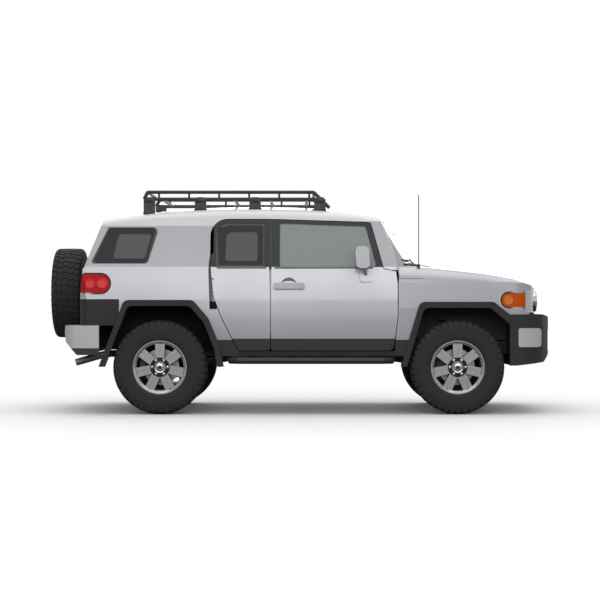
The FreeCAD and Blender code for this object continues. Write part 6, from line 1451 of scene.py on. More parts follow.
@dataclass(frozen=True)
class Lamps:
    """Headlamps, fog lamps, the gaskets and bulbs of side and tail lamps, and reflectors."""

    head_y: float = 0.605
    head_z: float = 1.019
    head_r: float = 0.096
    head_probes: Row = (-0.06, 0.0, 0.06)
    outside: float = 3.0
    ring: Line = (
        (-0.07, 0.0), (-0.008, 0.0), (-0.001, 0.003), (0.003, 0.008), (0.001, 0.013), (-0.002, 0.014))
    bowl_rim: Flat = (0.0012, 0.012)
    bowl_shares: Line = (
        (0.0005, 0.62), (0.0008, 0.6), (0.002, 0.56), (0.0012, 0.3), (0.003, 0.26), (0.004, 0.15),
        (0.0042, 0.0))
    glass_rim: Flat = (0.002, 0.011)
    glass_shares: Line = ((0.006, 0.8), (0.009, 0.55), (0.011, 0.28), (0.0115, 0.0))
    fog_place: Point = (2.112, 0.74, 0.6925)
    fog_bowl: Line = (
        (-0.06, 0.03), (-0.012, 0.047), (0.0, 0.0485), (0.004, 0.047), (0.002, 0.043), (-0.004, 0.042),
        (-0.006, 0.0))
    fog_dome: Line = ((-0.002, 0.0425), (0.004, 0.03), (0.007, 0.0))
    gasket_lift: float = 0.0005
    gasket_wire: float = 0.0062
    bow_steps: int = 12
    tail_top: Line = ((-1.962, 1.272), (-1.85, 1.2725))
    tail_bow: Row = (-1.808, 1.181, 0.089, 0.0915)
    tail_low: Line = ((-1.85, 1.0895), (-1.962, 1.0895))
    stop_bulb: Point = (-1.795, 1.181, 0.05)
    tail_bulb: Point = (-1.902, 1.181, 0.044)
    amber_top: Line = ((2.026, 1.1025), (1.885, 1.1025))
    amber_bow: Row = (1.878, 1.032, -0.0675, 0.07)
    amber_low: Line = ((1.885, 0.9615), (2.026, 0.9615))
    turn_bulb: Point = (1.878, 1.032, 0.042)
    bulb_rings: Line = (
        (1.0, 0.0002), (0.96, 0.0016), (0.78, 0.002), (0.7, 0.0008), (0.4, 0.0014), (0.1, 0.0022))
    bulb_steps: int = 28
    reflector_y: float = 0.778
    reflector_half: float = 0.034
    reflector_probe_z: float = 0.72
    reflector_heights: Flat = (0.7, 0.735)
    reflector_round: float = 0.01

    def headlamp(self, side: int, label: str) -> None:
        """Adds one round headlamp: chromed ring, bowl, bulb shield and domed glass.

        Args:
            side: 1 left, -1 right.
            label: the side's name.
        """
        y, r = side * self.head_y, self.head_r
        face = max(landing("headlamps", (self.outside, y + probe, self.head_z), BACK)[0]
                   for probe in self.head_probes)
        middle = (face, y, self.head_z)
        ring = Shaper()
        ring.lathe([(along, r - inward) for along, inward in self.ring], middle, "x", 64)
        ring.finish("headlamp_ring_" + label, CHROME)
        for name, (along, inward), shares, finish in (
                ("headlamp_bowl_", self.bowl_rim, self.bowl_shares, LAMP_BOWL),
                ("headlamp_glass_", self.glass_rim, self.glass_shares, LAMP_GLASS)):
            shaper = Shaper()
            shaper.lathe([(along, r - inward)] + [(out, r * share) for out, share in shares], middle, "x", 56)
            shaper.finish(name + label, finish)

    def fog(self, side: int, label: str) -> None:
        """Adds one fog lamp in its opening of the bumper insert.

        Args:
            side: 1 left, -1 right.
            label: the side's name.
        """
        x, y, z = self.fog_place
        for name, profile, finish in (
                ("fog_lamp_", self.fog_bowl, LAMP_BOWL), ("fog_glass_", self.fog_dome, LAMP_GLASS)):
            shaper = Shaper()
            shaper.lathe(profile, (x, side * y, z), "x", 40)
            shaper.finish(name + label, finish)

    def gasket(self, name: str, node: str, top: Line, bow: Row, low: Line, side: int) -> None:
        """Adds a black rubber gasket round a lens with one rounded end.

        Args:
            name: the piece's name.
            node: the panel the lens sits in.
            top: the upper edge's places as (x, z).
            bow: the rounded end's middle x and z, and its reach along and up.
            low: the lower edge's places.
            side: 1 left, -1 right.
        """
        x, z, reach_x, reach_z = bow
        spots = list(top)
        spots += [(x + reach_x * math.sin(a), z + reach_z * math.cos(a))
                  for a in (math.pi * k / self.bow_steps for k in range(self.bow_steps + 1))]
        spots += list(low)
        shaper = Shaper()
        shaper.tube([on_side(node, *spot, side, self.gasket_lift) for spot in spots], self.gasket_wire, 8)
        shaper.finish(name, TYRE_RUBBER)

    def bulb(self, name: str, node: str, place: Point, side: int, finish: Finish) -> None:
        """Adds one round optic that shows through a lens.

        Args:
            name: the piece's name.
            node: the lamp.
            place: its place along the car, its height and its radius.
            side: 1 left, -1 right.
            finish: its finish.
        """
        x, z, radius = place
        rings = []
        for share, lift in self.bulb_rings:
            rings.append(
                [
                    on_side(
                        node, x + share * radius * math.cos(a), z + share * radius * math.sin(a), side, lift)
                    for a in (2 * math.pi * k / self.bulb_steps for k in range(self.bulb_steps))])
        shaper = Shaper()
        shaper.loft(rings, True)
        shaper.finish(name, finish)

    def reflector(self, side: int, label: str) -> None:
        """Adds one red reflector on the rear bumper.

        Args:
            side: 1 left, -1 right.
            label: the side's name.
        """
        shaper = Shaper()
        y = side * self.reflector_y
        back = landing("rear_bumper", (-self.outside, y, self.reflector_probe_z), AHEAD)[0]
        outline = oblong(y, self.reflector_half, *self.reflector_heights, self.reflector_round)
        shaper.prism(outline, "x", back - 0.003, back + 0.006, 0.0015)
        shaper.finish("rear_reflector_" + label, RED_LENS)

    def dress(self) -> None:
        """Dresses every lamp."""
        for side, label in SIDES:
            self.headlamp(side, label)
            self.fog(side, label)
            self.gasket(
                "tail_gasket_" + label, "quarter_panels", self.tail_top, self.tail_bow, self.tail_low, side)
            self.bulb("stop_bulb_" + label, "tail_lamps", self.stop_bulb, side, BRIGHT_RED)
            self.bulb("tail_bulb_" + label, "tail_lamps", self.tail_bulb, side, BRIGHT_RED)
            self.gasket(
                "side_gasket_" + label, "front_wings", self.amber_top, self.amber_bow, self.amber_low, side)
            self.bulb("turn_bulb_" + label, "side_lamps", self.turn_bulb, side, BRIGHT_AMBER)
            self.reflector(side, label)


@dataclass(frozen=True)
class FrontAndRear:
    """The grille's frame, bars and mesh, the intake's mesh, the rear liners and the blank number plates."""

    half_w: float = 0.444
    low: float = 0.927
    high: float = 1.116
    corner: float = 0.02
    frame_rows: Line = (
        (2.151, 0.0), (2.172, 0.0), (2.178, 0.004), (2.178, 0.012), (2.17, 0.016), (2.151, 0.016))
    bar_heights: Row = (0.974, 1.022, 1.07)
    bar_x: Flat = (2.16, 2.176)
    bar_in: float = 0.012
    bar_half: float = 0.007
    bar_round: float = 0.004
    wire_r: float = 0.0016
    wires_across: int = 46
    wires_up: int = 10
    wire_x: Flat = (2.1605, 2.1585)
    wire_in: Flat = (0.02, 0.018)
    back_x: Flat = (2.1515, 2.1545)
    back_in: float = 0.01
    plate_half: Flat = (0.13, 0.06)
    plate_round: float = 0.01
    plate_rim: float = 0.006
    plate_screw: Flat = (0.09, 0.044)
    screw: Line = ((0.007, 0.007), (0.0098, 0.0055), (0.0102, 0.0))
    front_plate_back: float = 0.0115
    front_plate_z: float = 0.704
    rear_plate_place: Flat = (0.598, 0.728)
    outside: float = 3.0
    nose_z: float = 0.83
    intake_back: float = 0.12
    intake_half: float = 0.455
    intake_low: float = 0.565
    intake_high: float = 0.758
    intake_posts: int = 24
    intake_bars: int = 5
    intake_wire: float = 0.0022
    liner_y: float = 0.628
    liner_t: float = 0.005
    liner: Corners = (
        (-1.845, 0.6, 0.03), (-1.7, 0.585, 0.03), (-1.58, 0.7, 0.05), (-0.98, 0.7, 0.05),
        (-0.86, 0.585, 0.03), (-0.74, 0.6, 0.03), (-0.74, 0.84, 0.03), (-1.845, 0.84, 0.03))
    clips: Row = (-1.66, -1.4, -1.14, -0.9)
    clip_z: float = 0.79
    clip: Line = ((0.0, 0.012), (0.003, 0.0115), (0.0045, 0.006), (0.0045, 0.0))
    flap: Line = ((-1.8, 0.44), (-1.79, 0.44), (-1.728, 0.64), (-1.738, 0.64))
    flap_y: Flat = (0.7, 0.9)

    def grille(self) -> None:
        """Replaces the plain grille by a frame with bars and a wire mesh."""
        front = Shaper()
        outer = oblong(0.0, self.half_w, self.low, self.high, self.corner)
        loops = [
            [(x, y, z) for y, z in (inset(outer, inward) if inward else outer)] for x,
            inward in self.frame_rows]
        front.loft(loops)
        near, far = self.bar_x
        reach = self.half_w - self.bar_in
        for z in self.bar_heights:
            front.block((near, -reach, z - self.bar_half), (far, reach, z + self.bar_half), self.bar_round)
        frame_piece = front.finish("grille_frame", PALE_TRIM)
        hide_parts("grille")
        self.mesh()

    def mesh(self) -> None:
        """Adds the wire mesh and the dark plate behind the grille's bars."""
        mesh = Shaper()
        side_in, end_in = self.wire_in
        front_x, rear_x = self.wire_x
        for i in range(self.wires_across + 1):
            y = -self.half_w + side_in + (2 * self.half_w - 2 * side_in) * i / self.wires_across
            mesh.tube(
                [(front_x, y, self.low + self.bar_in), (front_x, y, self.high - self.bar_in)], self.wire_r, 5)
        for i in range(self.wires_up + 1):
            z = self.low + end_in + (self.high - self.low - 2 * end_in) * i / self.wires_up
            mesh.tube(
                [(rear_x, -self.half_w + self.bar_in, z), (rear_x, self.half_w - self.bar_in, z)],
                self.wire_r, 5)
        near, far = self.back_x
        mesh.block((near, -self.half_w + self.back_in, self.low + self.back_in),
                   (far, self.half_w - self.back_in, self.high - self.back_in), 0.001)
        mesh.finish("grille_mesh", BLACK_STEEL)

    def plate(self, name: str, body: str, spot: float, out: int, y: float, z: float) -> None:
        """Adds a blank number plate with two screws.

        Args:
            name: the piece's name.
            body: the body it moves with.
            spot: where it is screwed on, along the car.
            out: 1 where it faces forward and -1 where it faces back.
            y: the plate's middle across.
            z: its middle's height.
        """
        half_y, half_z = self.plate_half
        outline = oblong(y, half_y, z - half_z, z + half_z, self.plate_round)
        sheet = Shaper()
        near, far = sorted((spot + out * 0.004, spot + out * 0.0075))
        sheet.prism(outline, "x", near, far, 0.0012)
        sheet.finish(name, PLATE_SHEET, body)
        holder = Shaper()
        near, far = sorted((spot - out * 0.012, spot + out * 0.0042))
        holder.prism(inset(outline, -self.plate_rim), "x", near, far, 0.002)
        screw_y, screw_z = self.plate_screw
        for side in (-1, 1):
            holder.lathe(shifted(self.screw, 0.0, out), (spot, y + side * screw_y, z + screw_z), "x", 14)
        holder.finish(name + "_holder", DARK_TRIM, body)

    def intake(self) -> None:
        """Adds the dark mesh behind the bumper's intake."""
        shaper = Shaper()
        x = landing("front_bumper", (self.outside, 0.0, self.nose_z), BACK)[0] - self.intake_back
        half = self.intake_half
        for i in range(self.intake_posts + 1):
            y = -half + 2 * half * i / self.intake_posts
            shaper.tube([(x, y, self.intake_low), (x, y, self.intake_high)], self.intake_wire, 6)
        for i in range(self.intake_bars + 1):
            z = 0.575 + 0.172 * i / self.intake_bars
            shaper.tube([(x - 0.002, -half - 0.005, z), (x - 0.002, half + 0.005, z)], self.intake_wire, 6)
        shaper.finish("intake_mesh", BLACK_STEEL)

    def liners(self) -> None:
        """Adds the rear wheels' liners inboard of the tyres, and the flaps behind them."""
        for side, label in SIDES:
            shaper = Shaper()
            y = side * self.liner_y
            outer = y + side * self.liner_t
            shaper.prism(rounded(self.liner), "y", min(y, outer), max(y, outer), 0.0015)
            for x in self.clips:
                shaper.lathe(shifted(self.clip, 0.0, side), (x, outer, self.clip_z), "y", 14)
            edges = sorted(side * flap_y for flap_y in self.flap_y)
            shaper.prism(self.flap, "y", *edges, 0.002)
            shaper.finish("rear_liner_" + label, UNDERSEAL)

    def dress(self) -> None:
        """Dresses both ends of the car."""
        self.grille()
        self.intake()
        self.liners()
        nose = landing("front_bumper", (self.outside, 0.0, self.nose_z), BACK)[0]
        tail = landing("rear_bumper", (-self.outside, *self.rear_plate_place), AHEAD)[0]
        self.plate("front_plate", "vehicle", nose - self.front_plate_back, 1, 0.0, self.front_plate_z)
        self.plate("rear_plate", "vehicle", tail, -1, *self.rear_plate_place)


# Roof rack


@dataclass(frozen=True)
class RoofRack:
    """Clamp plates, bolts and rubber pads on the rack's feet."""

    places: Row = (-1.39, -0.92, -0.42, 0.175)
    y: float = 0.63
    plate: Corners = (
        (-0.046, 1.925, 0.008), (0.046, 1.925, 0.008), (0.036, 1.976, 0.014), (-0.036, 1.976, 0.014))
    plate_out: float = 0.024
    plate_half: float = 0.003
    bolt_x: float = 0.024
    bolt_z: float = 1.938
    bolt_out: float = 0.027
    bolt: Line = ((0.0, 0.0085), (0.006, 0.0085), (0.0072, 0.006), (0.0072, 0.0))
    above: float = 2.6
    pad_half: Flat = (0.06, 0.034)
    pad_heights: Flat = (0.004, 0.007)

    def dress(self) -> None:
        """Adds a clamp with two bolts and a rubber pad at each foot."""
        steel, rubber = Shaper(), Shaper()
        half_x, half_y = self.pad_half
        sunk, proud = self.pad_heights
        for side in (-1, 1):
            y = side * self.y
            out = y + side * self.plate_out
            for x in self.places:
                steel.prism(rounded([(x + u, v, r) for u, v, r in self.plate]), "y", out - self.plate_half,
                            out + self.plate_half, 0.0012)
                for bolt_x in (-self.bolt_x, self.bolt_x):
                    steel.lathe(
                        shifted(self.bolt, 0.0, side), (x + bolt_x, y + side * self.bolt_out, self.bolt_z),
                        "y", 6)
                roof = landing("roof_panel", (x, y, self.above), (0.0, 0.0, -1.0))[2]
                rubber.block(
                    (x - half_x, y - half_y, roof - sunk), (x + half_x, y + half_y, roof + proud), 0.004)
        steel.finish("rack_clamps", BLACK_STEEL)
        rubber.finish("rack_pads", TYRE_RUBBER)


# Cabin


@dataclass(frozen=True)
class Cabin:
    """Dashboard faces, vents, levers, pedals, mirror, visors and belts."""

    seat_y: float = 0.37
    cabin_x: float = 0.2
    cluster: Corners = ((0.235, 1.15, 0.03), (0.505, 1.15, 0.03), (0.505, 1.262, 0.05), (0.235, 1.262, 0.05))
    cluster_probe_z: float = 1.2
    cluster_out: float = 0.035
    cluster_deep: float = 0.055
    dial_z: float = 1.207
    dials: Line = ((0.3, 0.042), (0.395, 0.048), (0.47, 0.026))
    dial_ring: Line = ((0.0, 0.0), (-0.004, 0.0), (-0.005, 0.003), (-0.002, 0.004))
    dial_disc: Corners = ((-0.0012, 0.004, 1.0), (-0.0014, 0.0, 0.0))
    ticks: int = 11
    tick_out: float = 0.002
    tick_start_deg: float = 225.0
    tick_step_deg: float = 27.0
    tick_shares: Flat = (0.66, 0.86)
    tick_half: Flat = (0.0006, 0.0009)
    vents: Row = (-0.66, -0.16, 0.16, 0.66)
    vent_z: float = 1.19
    vent_ring: Line = ((0.004, 0.046), (-0.006, 0.046), (-0.008, 0.042), (-0.004, 0.039), (0.002, 0.038))
    vane_heights: Row = (-0.024, -0.012, 0.0, 0.012, 0.024)
    vane_r: float = 0.037
    vane_x: Flat = (-0.005, 0.004)
    vane_half: float = 0.0022
    stack_probe_z: float = 1.15
    radio: Corners = ((-0.004, -0.1, 1.06), (0.02, 0.1, 1.12))
    heater_knobs: Row = (-0.075, 0.0, 0.075)
    heater_z: float = 1.01
    heater_knob: Line = ((0.0, 0.02), (-0.018, 0.019), (-0.021, 0.016), (-0.021, 0.0))
    radio_knobs: Flat = (-0.078, 0.078)
    radio_z: float = 1.09
    radio_knob: Line = ((0.0, 0.012), (-0.01, 0.0115), (-0.012, 0.0))
    glove_probe: Flat = (-0.42, 1.08)
    glove: Corners = ((-0.6, 1.0, 0.02), (-0.24, 1.0, 0.02), (-0.24, 1.12, 0.02), (-0.6, 1.12, 0.02))
    grab: Corners = (
        (-0.004, -0.58, 1.145), (-0.03, -0.56, 1.15), (-0.03, -0.28, 1.15), (-0.004, -0.26, 1.145))
    grab_r: float = 0.008
    tunnel: Flat = (0.25, 0.03)
    levers_at: Corners = ((0.25, 0.03, 0.17), (0.12, -0.035, 0.11))
    boot: Line = (
        (0.0, 0.052), (0.006, 0.05), (0.016, 0.04), (0.022, 0.041), (0.032, 0.03), (0.038, 0.031),
        (0.05, 0.016), (0.056, 0.0))
    rod_r: float = 0.006
    hand_brake: Corners = (
        (-0.09, -0.004, 0.004), (0.05, -0.004, 0.004), (0.03, 0.03, 0.012), (-0.09, 0.046, 0.012))
    hand_brake_y: Flat = (-0.075, -0.04)
    pedals: Line = ((0.47, 0.028), (0.38, 0.034), (0.29, 0.022))
    pedal_rod: Line = ((0.86, 0.98), (0.8, 0.88), (0.775, 0.81))
    pedal_x: Flat = (0.755, 0.775)
    pedal_z: Flat = (0.775, 0.835)
    helm: Point = (0.41, 0.37, 1.165)
    lean_deg: float = 24.0
    hub_pad: Corners = ((-0.052, -0.08, -0.07), (-0.004, 0.08, 0.066))
    spoke_pad: Corners = ((-0.014, -0.02, 0.055), (0.006, 0.02, 0.165))
    spoke_angles: Row = (90.0, 180.0, 270.0)
    mirror_probe: Point = (0.3, 0.0, 1.62)
    mirror: Corners = ((-0.115, -0.115, 1.585), (-0.085, 0.115, 1.655))
    mirror_stalk: Line = ((-0.002, 1.66), (-0.04, 1.655), (-0.088, 1.625))
    visor_probe: Flat = (0.42, 1.4)
    visor_x: Flat = (0.34, 0.5)
    visor_half: float = 0.19
    visor_below: Flat = (0.032, 0.01)
    belt_y: float = 0.665
    belt: Corners = ((-0.265, 0.0, 1.5), (-0.262, 0.0, 1.1), (-0.255, 0.01, 0.8))
    anchor: Corners = ((-0.285, 0.0, 1.485), (-0.235, 0.03, 1.545))
    buckle_y: float = 0.115
    buckle: Corners = ((-0.03, -0.012, 0.96), (0.0, 0.012, 1.045))

    def dash_face(self, y: float, z: float) -> float:
        """Returns where the dashboard's rear face lies at y and z."""
        return landing("dashboard", (self.cabin_x, y, z), AHEAD)[0]

    def dashboard(self) -> None:
        """Adds the dial cluster, vents, centre stack, glove box lid and grab bar."""
        dark, bright, light = Shaper(), Shaper(), Shaper()
        front = self.dash_face(self.seat_y, self.cluster_probe_z) - self.cluster_out
        dark.prism(rounded(self.cluster), "x", front, front + self.cluster_deep, 0.006)
        low, high = self.tick_shares
        half_x, half_z = self.tick_half
        for y, r in self.dials:
            middle = (front, y, self.dial_z)
            bright.lathe([(along, r - inward) for along, inward in self.dial_ring], middle, "x", 36)
            light.lathe(
                [(along, (r - inward) * share) for along, inward, share in self.dial_disc], middle, "x", 36)
            for k in range(self.ticks):
                angle = math.radians(self.tick_start_deg - self.tick_step_deg * k)
                tick = Matrix.Translation(
                    (front - self.tick_out, y, self.dial_z)) @ Matrix.Rotation(angle, 4, "X")
                dark.block((-half_x, r * low, -half_z), (half_x, r * high, half_z), 0.0, tick)
        near, far = self.vane_x
        for y in self.vents:
            face = self.dash_face(y, self.vent_z)
            bright.lathe(self.vent_ring, (face, y, self.vent_z), "x", 36)
            for rise in self.vane_heights:
                half = math.sqrt(max(0.0, self.vane_r ** 2 - rise ** 2))
                z = self.vent_z + rise
                dark.block(
                    (face + near, y - half, z - self.vane_half), (face + far, y + half, z + self.vane_half),
                    0.001)
        rear = self.dash_face(0.0, self.stack_probe_z)
        low, high = self.radio
        dark.block((rear + low[0], *low[1:]), (rear + high[0], *high[1:]), 0.005)
        for y in self.heater_knobs:
            bright.lathe(self.heater_knob, (rear, y, self.heater_z), "x", 28)
        for y in self.radio_knobs:
            bright.lathe(self.radio_knob, (rear + self.radio[0][0], y, self.radio_z), "x", 24)
        glove = self.dash_face(*self.glove_probe)
        dark.prism(rounded(self.glove), "x", glove - 0.004, glove + 0.02, 0.004)
        bright.tube([(glove + x, y, z) for x, y, z in self.grab], self.grab_r, 12)
        dark.finish("dash_faces", CABIN_PLASTIC)
        bright.finish("dash_rings", PALE_TRIM)
        light.finish("dash_dials", PLATE_SHEET)

    def levers(self) -> None:
        """Adds gear and transfer levers with their boots, the hand brake and the pedals."""
        boots, steel = Shaper(), Shaper()
        top = landing("dashboard", (*self.tunnel, 1.6), (0.0, 0.0, -1.0))[2]
        for x, y, high in self.levers_at:
            boots.lathe(self.boot, (x, y, top), "z", 28)
            steel.tube([(x, y, top + 0.03), (x - 0.02, y, top + high)], self.rod_r, 10)
            boots.pad(
                (x - 0.045, y - 0.024, top + high - 0.01), (x + 0.008, y + 0.024, top + high + 0.045),
                power=2.6, cuts=8)
        boots.prism(
            rounded([(x, top + rise, r) for x, rise, r in self.hand_brake]), "y", *self.hand_brake_y, 0.006)
        near, far = self.pedal_x
        low, high = self.pedal_z
        for y, half in self.pedals:
            steel.tube([(x, y, z) for x, z in self.pedal_rod], self.rod_r, 8)
            boots.block((near, y - half, low), (far, y + half, high), 0.006)
        boots.finish("levers_and_pedals", CABIN_PLASTIC)
        steel.finish("lever_rods", RIM_ALLOY)

    def helm_trim(self) -> None:
        """Adds the steering wheel's crowned hub pad and spoke caps."""
        turn = Matrix.Translation(self.helm) @ Matrix.Rotation(math.radians(self.lean_deg), 4, "Y")
        pad = Shaper()
        pad.pad(*self.hub_pad, thin=0, power=3.2, cuts=10, turn=turn)
        for angle in self.spoke_angles:
            spin = turn @ Matrix.Rotation(math.radians(angle), 4, "X")
            pad.pad(*self.spoke_pad, thin=0, power=3.0, cuts=6, turn=spin)
        pad.finish("steering_pad", CABIN_PLASTIC, "steering_wheel", 50.0)

    def upper(self) -> None:
        """Adds the inner mirror, sun visors and seat belts."""
        pads, belts = Shaper(), Shaper()
        head = landing("windscreen", self.mirror_probe, AHEAD)[0]
        low, high = self.mirror
        pads.pad((head + low[0], *low[1:]), (head + high[0], *high[1:]), thin=0, power=3.2, cuts=8)
        pads.tube([(head + x, 0.0, z) for x, z in self.mirror_stalk], 0.007, 10)
        near, far = self.visor_x
        deep, shallow = self.visor_below
        for y in (-self.seat_y, self.seat_y):
            roof = landing("roof_panel", (self.visor_probe[0], y, self.visor_probe[1]), (0.0, 0.0, 1.0))[2]
            pads.pad(
                (near, y - self.visor_half, roof - deep), (far, y + self.visor_half, roof - shallow),
                power=3.4, cuts=10)
        for side in (-1, 1):
            y = side * self.belt_y
            belts.tube([(x, y - side * inward, z) for x, inward, z in self.belt], 0.004, 4)
            low, high = self.anchor
            ends = sorted((y + side * low[1], y + side * high[1]))
            belts.block((low[0], ends[0], low[2]), (high[0], ends[1], high[2]), 0.008)
            low, high = self.buckle
            y = side * self.buckle_y
            belts.block((low[0], y + low[1], low[2]), (high[0], y + high[1], high[2]), 0.006)
        pads.finish("mirror_and_visors", CABIN_PLASTIC, smooth_deg=50.0)
        belts.finish("seat_belts", SEAT_CLOTH)

    def dress(self) -> None:
        """Dresses the cabin."""
        self.dashboard()
        self.levers()
        self.helm_trim()
        self.upper()


# Outer details


@dataclass(frozen=True)
class OuterDetails:
    """Mirror feet, shut lines, cowl vent, filler flap and the rear door panes' borders."""

    line_r: float = 0.0016
    line_step: float = 0.02
    foot: Corners = (
        (0.536, 1.192, 0.016), (0.628, 1.192, 0.016), (0.65, 1.292, 0.008), (0.526, 1.292, 0.008))
    foot_sunk: float = -0.001
    foot_edge: float = 0.003
    foot_lift: float = 0.011
    gasket_grow: float = 0.0045
    gasket_lift: float = 0.0025
    pane: Corners = (
        (-0.775, 1.322, 0.01), (-0.316, 1.322, 0.01), (-0.316, 1.738, 0.02), (-0.752, 1.738, 0.1))
    view: Corners = ((-0.684, 1.386, 0.02), (-0.392, 1.386, 0.02), (-0.392, 1.65, 0.03), (-0.676, 1.65, 0.06))
    pane_z: float = 1.52
    pull_in_share: float = 0.12
    border_lifts: Flat = (0.0001, 0.0009)
    wing_line: Line = ((0.895, 1.226), (1.108, 1.226))
    flap: Corners = ((-1.235, 1.085, 0.03), (-1.06, 1.085, 0.03), (-1.06, 1.25, 0.03), (-1.235, 1.25, 0.03))
    flap_hinge_x: float = -1.052
    flap_hinges: Flat = (1.12, 1.215)
    vent_half: float = 0.6
    vent_parts: int = 8
    vent_front_x: float = 1.088
    vent_screen_z: float = 1.392

    def side_line(
            self, shaper: Shaper, node: str, spots: list[Flat], side: int, closed: bool = False) -> None:
        """Adds a thin dark shut line along places on a panel's side.

        Args:
            shaper: what it is added to.
            node: the panel.
            spots: its corners as (x, z).
            side: 1 left, -1 right.
            closed: whether it returns to its start.
        """
        path = []
        ends = spots[1:] + spots[:1] if closed else spots[1:]
        for (x0, z0), (x1, z1) in zip(spots, ends):
            count = max(1, round(math.hypot(x1 - x0, z1 - z0) / self.line_step))
            path += [on_side(node, x0 + (x1 - x0) * i / count, z0 + (z1 - z0) * i / count, side)
                     for i in range(count)]
        if not closed:
            path.append(on_side(node, *spots[-1], side))
        shaper.tube(path, self.line_r, 6, closed)

    def mirror_foot(self, side: int, label: str) -> None:
        """Adds the painted foot of one mirror and the gasket below it.

        Args:
            side: 1 left, -1 right.
            label: the side's name.
        """
        door = "front_door_" + label
        outline = rounded(self.foot)
        for name, grow, lift, finish in (
                ("mirror_gasket_", self.gasket_grow, self.gasket_lift, TYRE_RUBBER),
                ("mirror_foot_", 0.0, self.foot_lift, SILVER_PAINT)):
            line = inset(outline, -grow) if grow else outline
            small = inset(line, self.foot_edge)
            shaper = Shaper()
            loops = [[on_side(door, x, z, side, out) for x, z in ring]
                     for ring, out in ((line, self.foot_sunk), (line, lift * 0.7), (small, lift))]
            shaper.loft(loops, True)
            shaper.finish(name + label, finish, door)

    def on_pane(self, node: str, x: float, z: float, middle_x: float, side: int, lift: float) -> Point:
        """Finds a place on a pane, pulled in toward its middle where the pane ends short of it.

        Args:
            node: the pane.
            x: the place along the car.
            z: its height.
            middle_x: the pane's middle along the car.
            side: 1 left, -1 right.
            lift: how far off the pane it lies.

        Returns:
            The point.
        """
        try:
            return on_side(node, x, z, side, lift)
        except ValueError:
            share = self.pull_in_share
            return on_side(node, x + (middle_x - x) * share, z + (self.pane_z - z) * share, side, lift)

    def pane_border(self, side: int, label: str) -> None:
        """Adds the baked border of one rear door's pane.

        Args:
            side: 1 left, -1 right.
            label: the side's name.
        """
        outline, inner = rounded(self.pane), rounded(self.view)
        node = "rear_door_glass_" + label
        middle_x = sum(spot[0] for spot in outline) / len(outline)
        low, high = self.border_lifts
        shaper = Shaper()
        shaper.loft([[self.on_pane(node, x, z, middle_x, side, lift) for x, z in line]
                     for line, lift in ((outline, low), (outline, high), (inner, high), (inner, low))])
        shaper.finish("pane_border_" + label, DARK_TRIM, "rear_door_" + label)

    def cowl_vent(self) -> None:
        """Adds the plastic vent panel between the windscreen and the bonnet."""
        shaper = Shaper()
        rows = []
        for i in range(self.vent_parts + 1):
            y = -self.vent_half + 2 * self.vent_half * i / self.vent_parts
            x = landing("windscreen", (2.0, y, self.vent_screen_z), BACK)[0] + 0.004
            z = landing("cowl", (x + 0.03, y, 1.9), (0.0, 0.0, -1.0))[2]
            rows.append(
                [
                    (x, y, z - 0.002), (self.vent_front_x, y, z - 0.002), (self.vent_front_x, y, z + 0.004),
                    (x, y, z + 0.016)])
        for pair in zip(rows, rows[1:]):
            shaper.loft(list(pair), True)
        shaper.finish("cowl_vent", DARK_TRIM)

    def filler_flap(self) -> None:
        """Adds the filler flap's shut line and its two hinges on the left."""
        lines = Shaper()
        self.side_line(lines, "quarter_panels", rounded(self.flap), 1, True)
        lines.finish("filler_flap_line", UNDERSEAL)
        hinge = Shaper()
        for z in self.flap_hinges:
            x, y, _ = on_side("quarter_panels", self.flap_hinge_x, z, 1, 0.0)
            hinge.block((x - 0.012, y - 0.004, z - 0.011), (x + 0.012, y + 0.005, z + 0.011), 0.003)
        hinge.finish("filler_flap_hinge", SILVER_PAINT)

    def dress(self) -> None:
        """Dresses the outside."""
        for side, label in SIDES:
            self.mirror_foot(side, label)
            self.pane_border(side, label)
            lines = Shaper()
            self.side_line(lines, "front_wings", list(self.wing_line), side)
            lines.finish("wing_shut_line_" + label, UNDERSEAL)
        self.filler_flap()
        self.cowl_vent()


@dataclass(frozen=True)
class Springs:
    """The coil springs of the rear axle."""

    x: float = -1.2715
    y: float = 0.49
    low: float = 0.492
    high: float = 0.668
    radius: float = 0.0585
    wire: float = 0.0065
    turns: float = 5.5
    steps: int = 20

    def coil(self, shaper: Shaper, side: int) -> None:
        """Adds one coil spring.

        Args:
            shaper: what it is added to.
            side: 1 left, -1 right.
        """
        count = round(self.turns * self.steps)
        path = []
        for i in range(count + 1):
            angle = 2 * math.pi * self.turns * i / count
            path.append(
                (
                    self.x + self.radius * math.cos(angle), side * self.y + self.radius * math.sin(angle),
                    self.low + (self.high - self.low) * i / count))
        shaper.tube(path, self.wire, 8)

    def dress(self) -> None:
        """Dresses the suspension."""
        wire = Shaper()
        for side in (-1, 1):
            self.coil(wire, side)
        wire.finish("rear_springs", BLACK_STEEL)


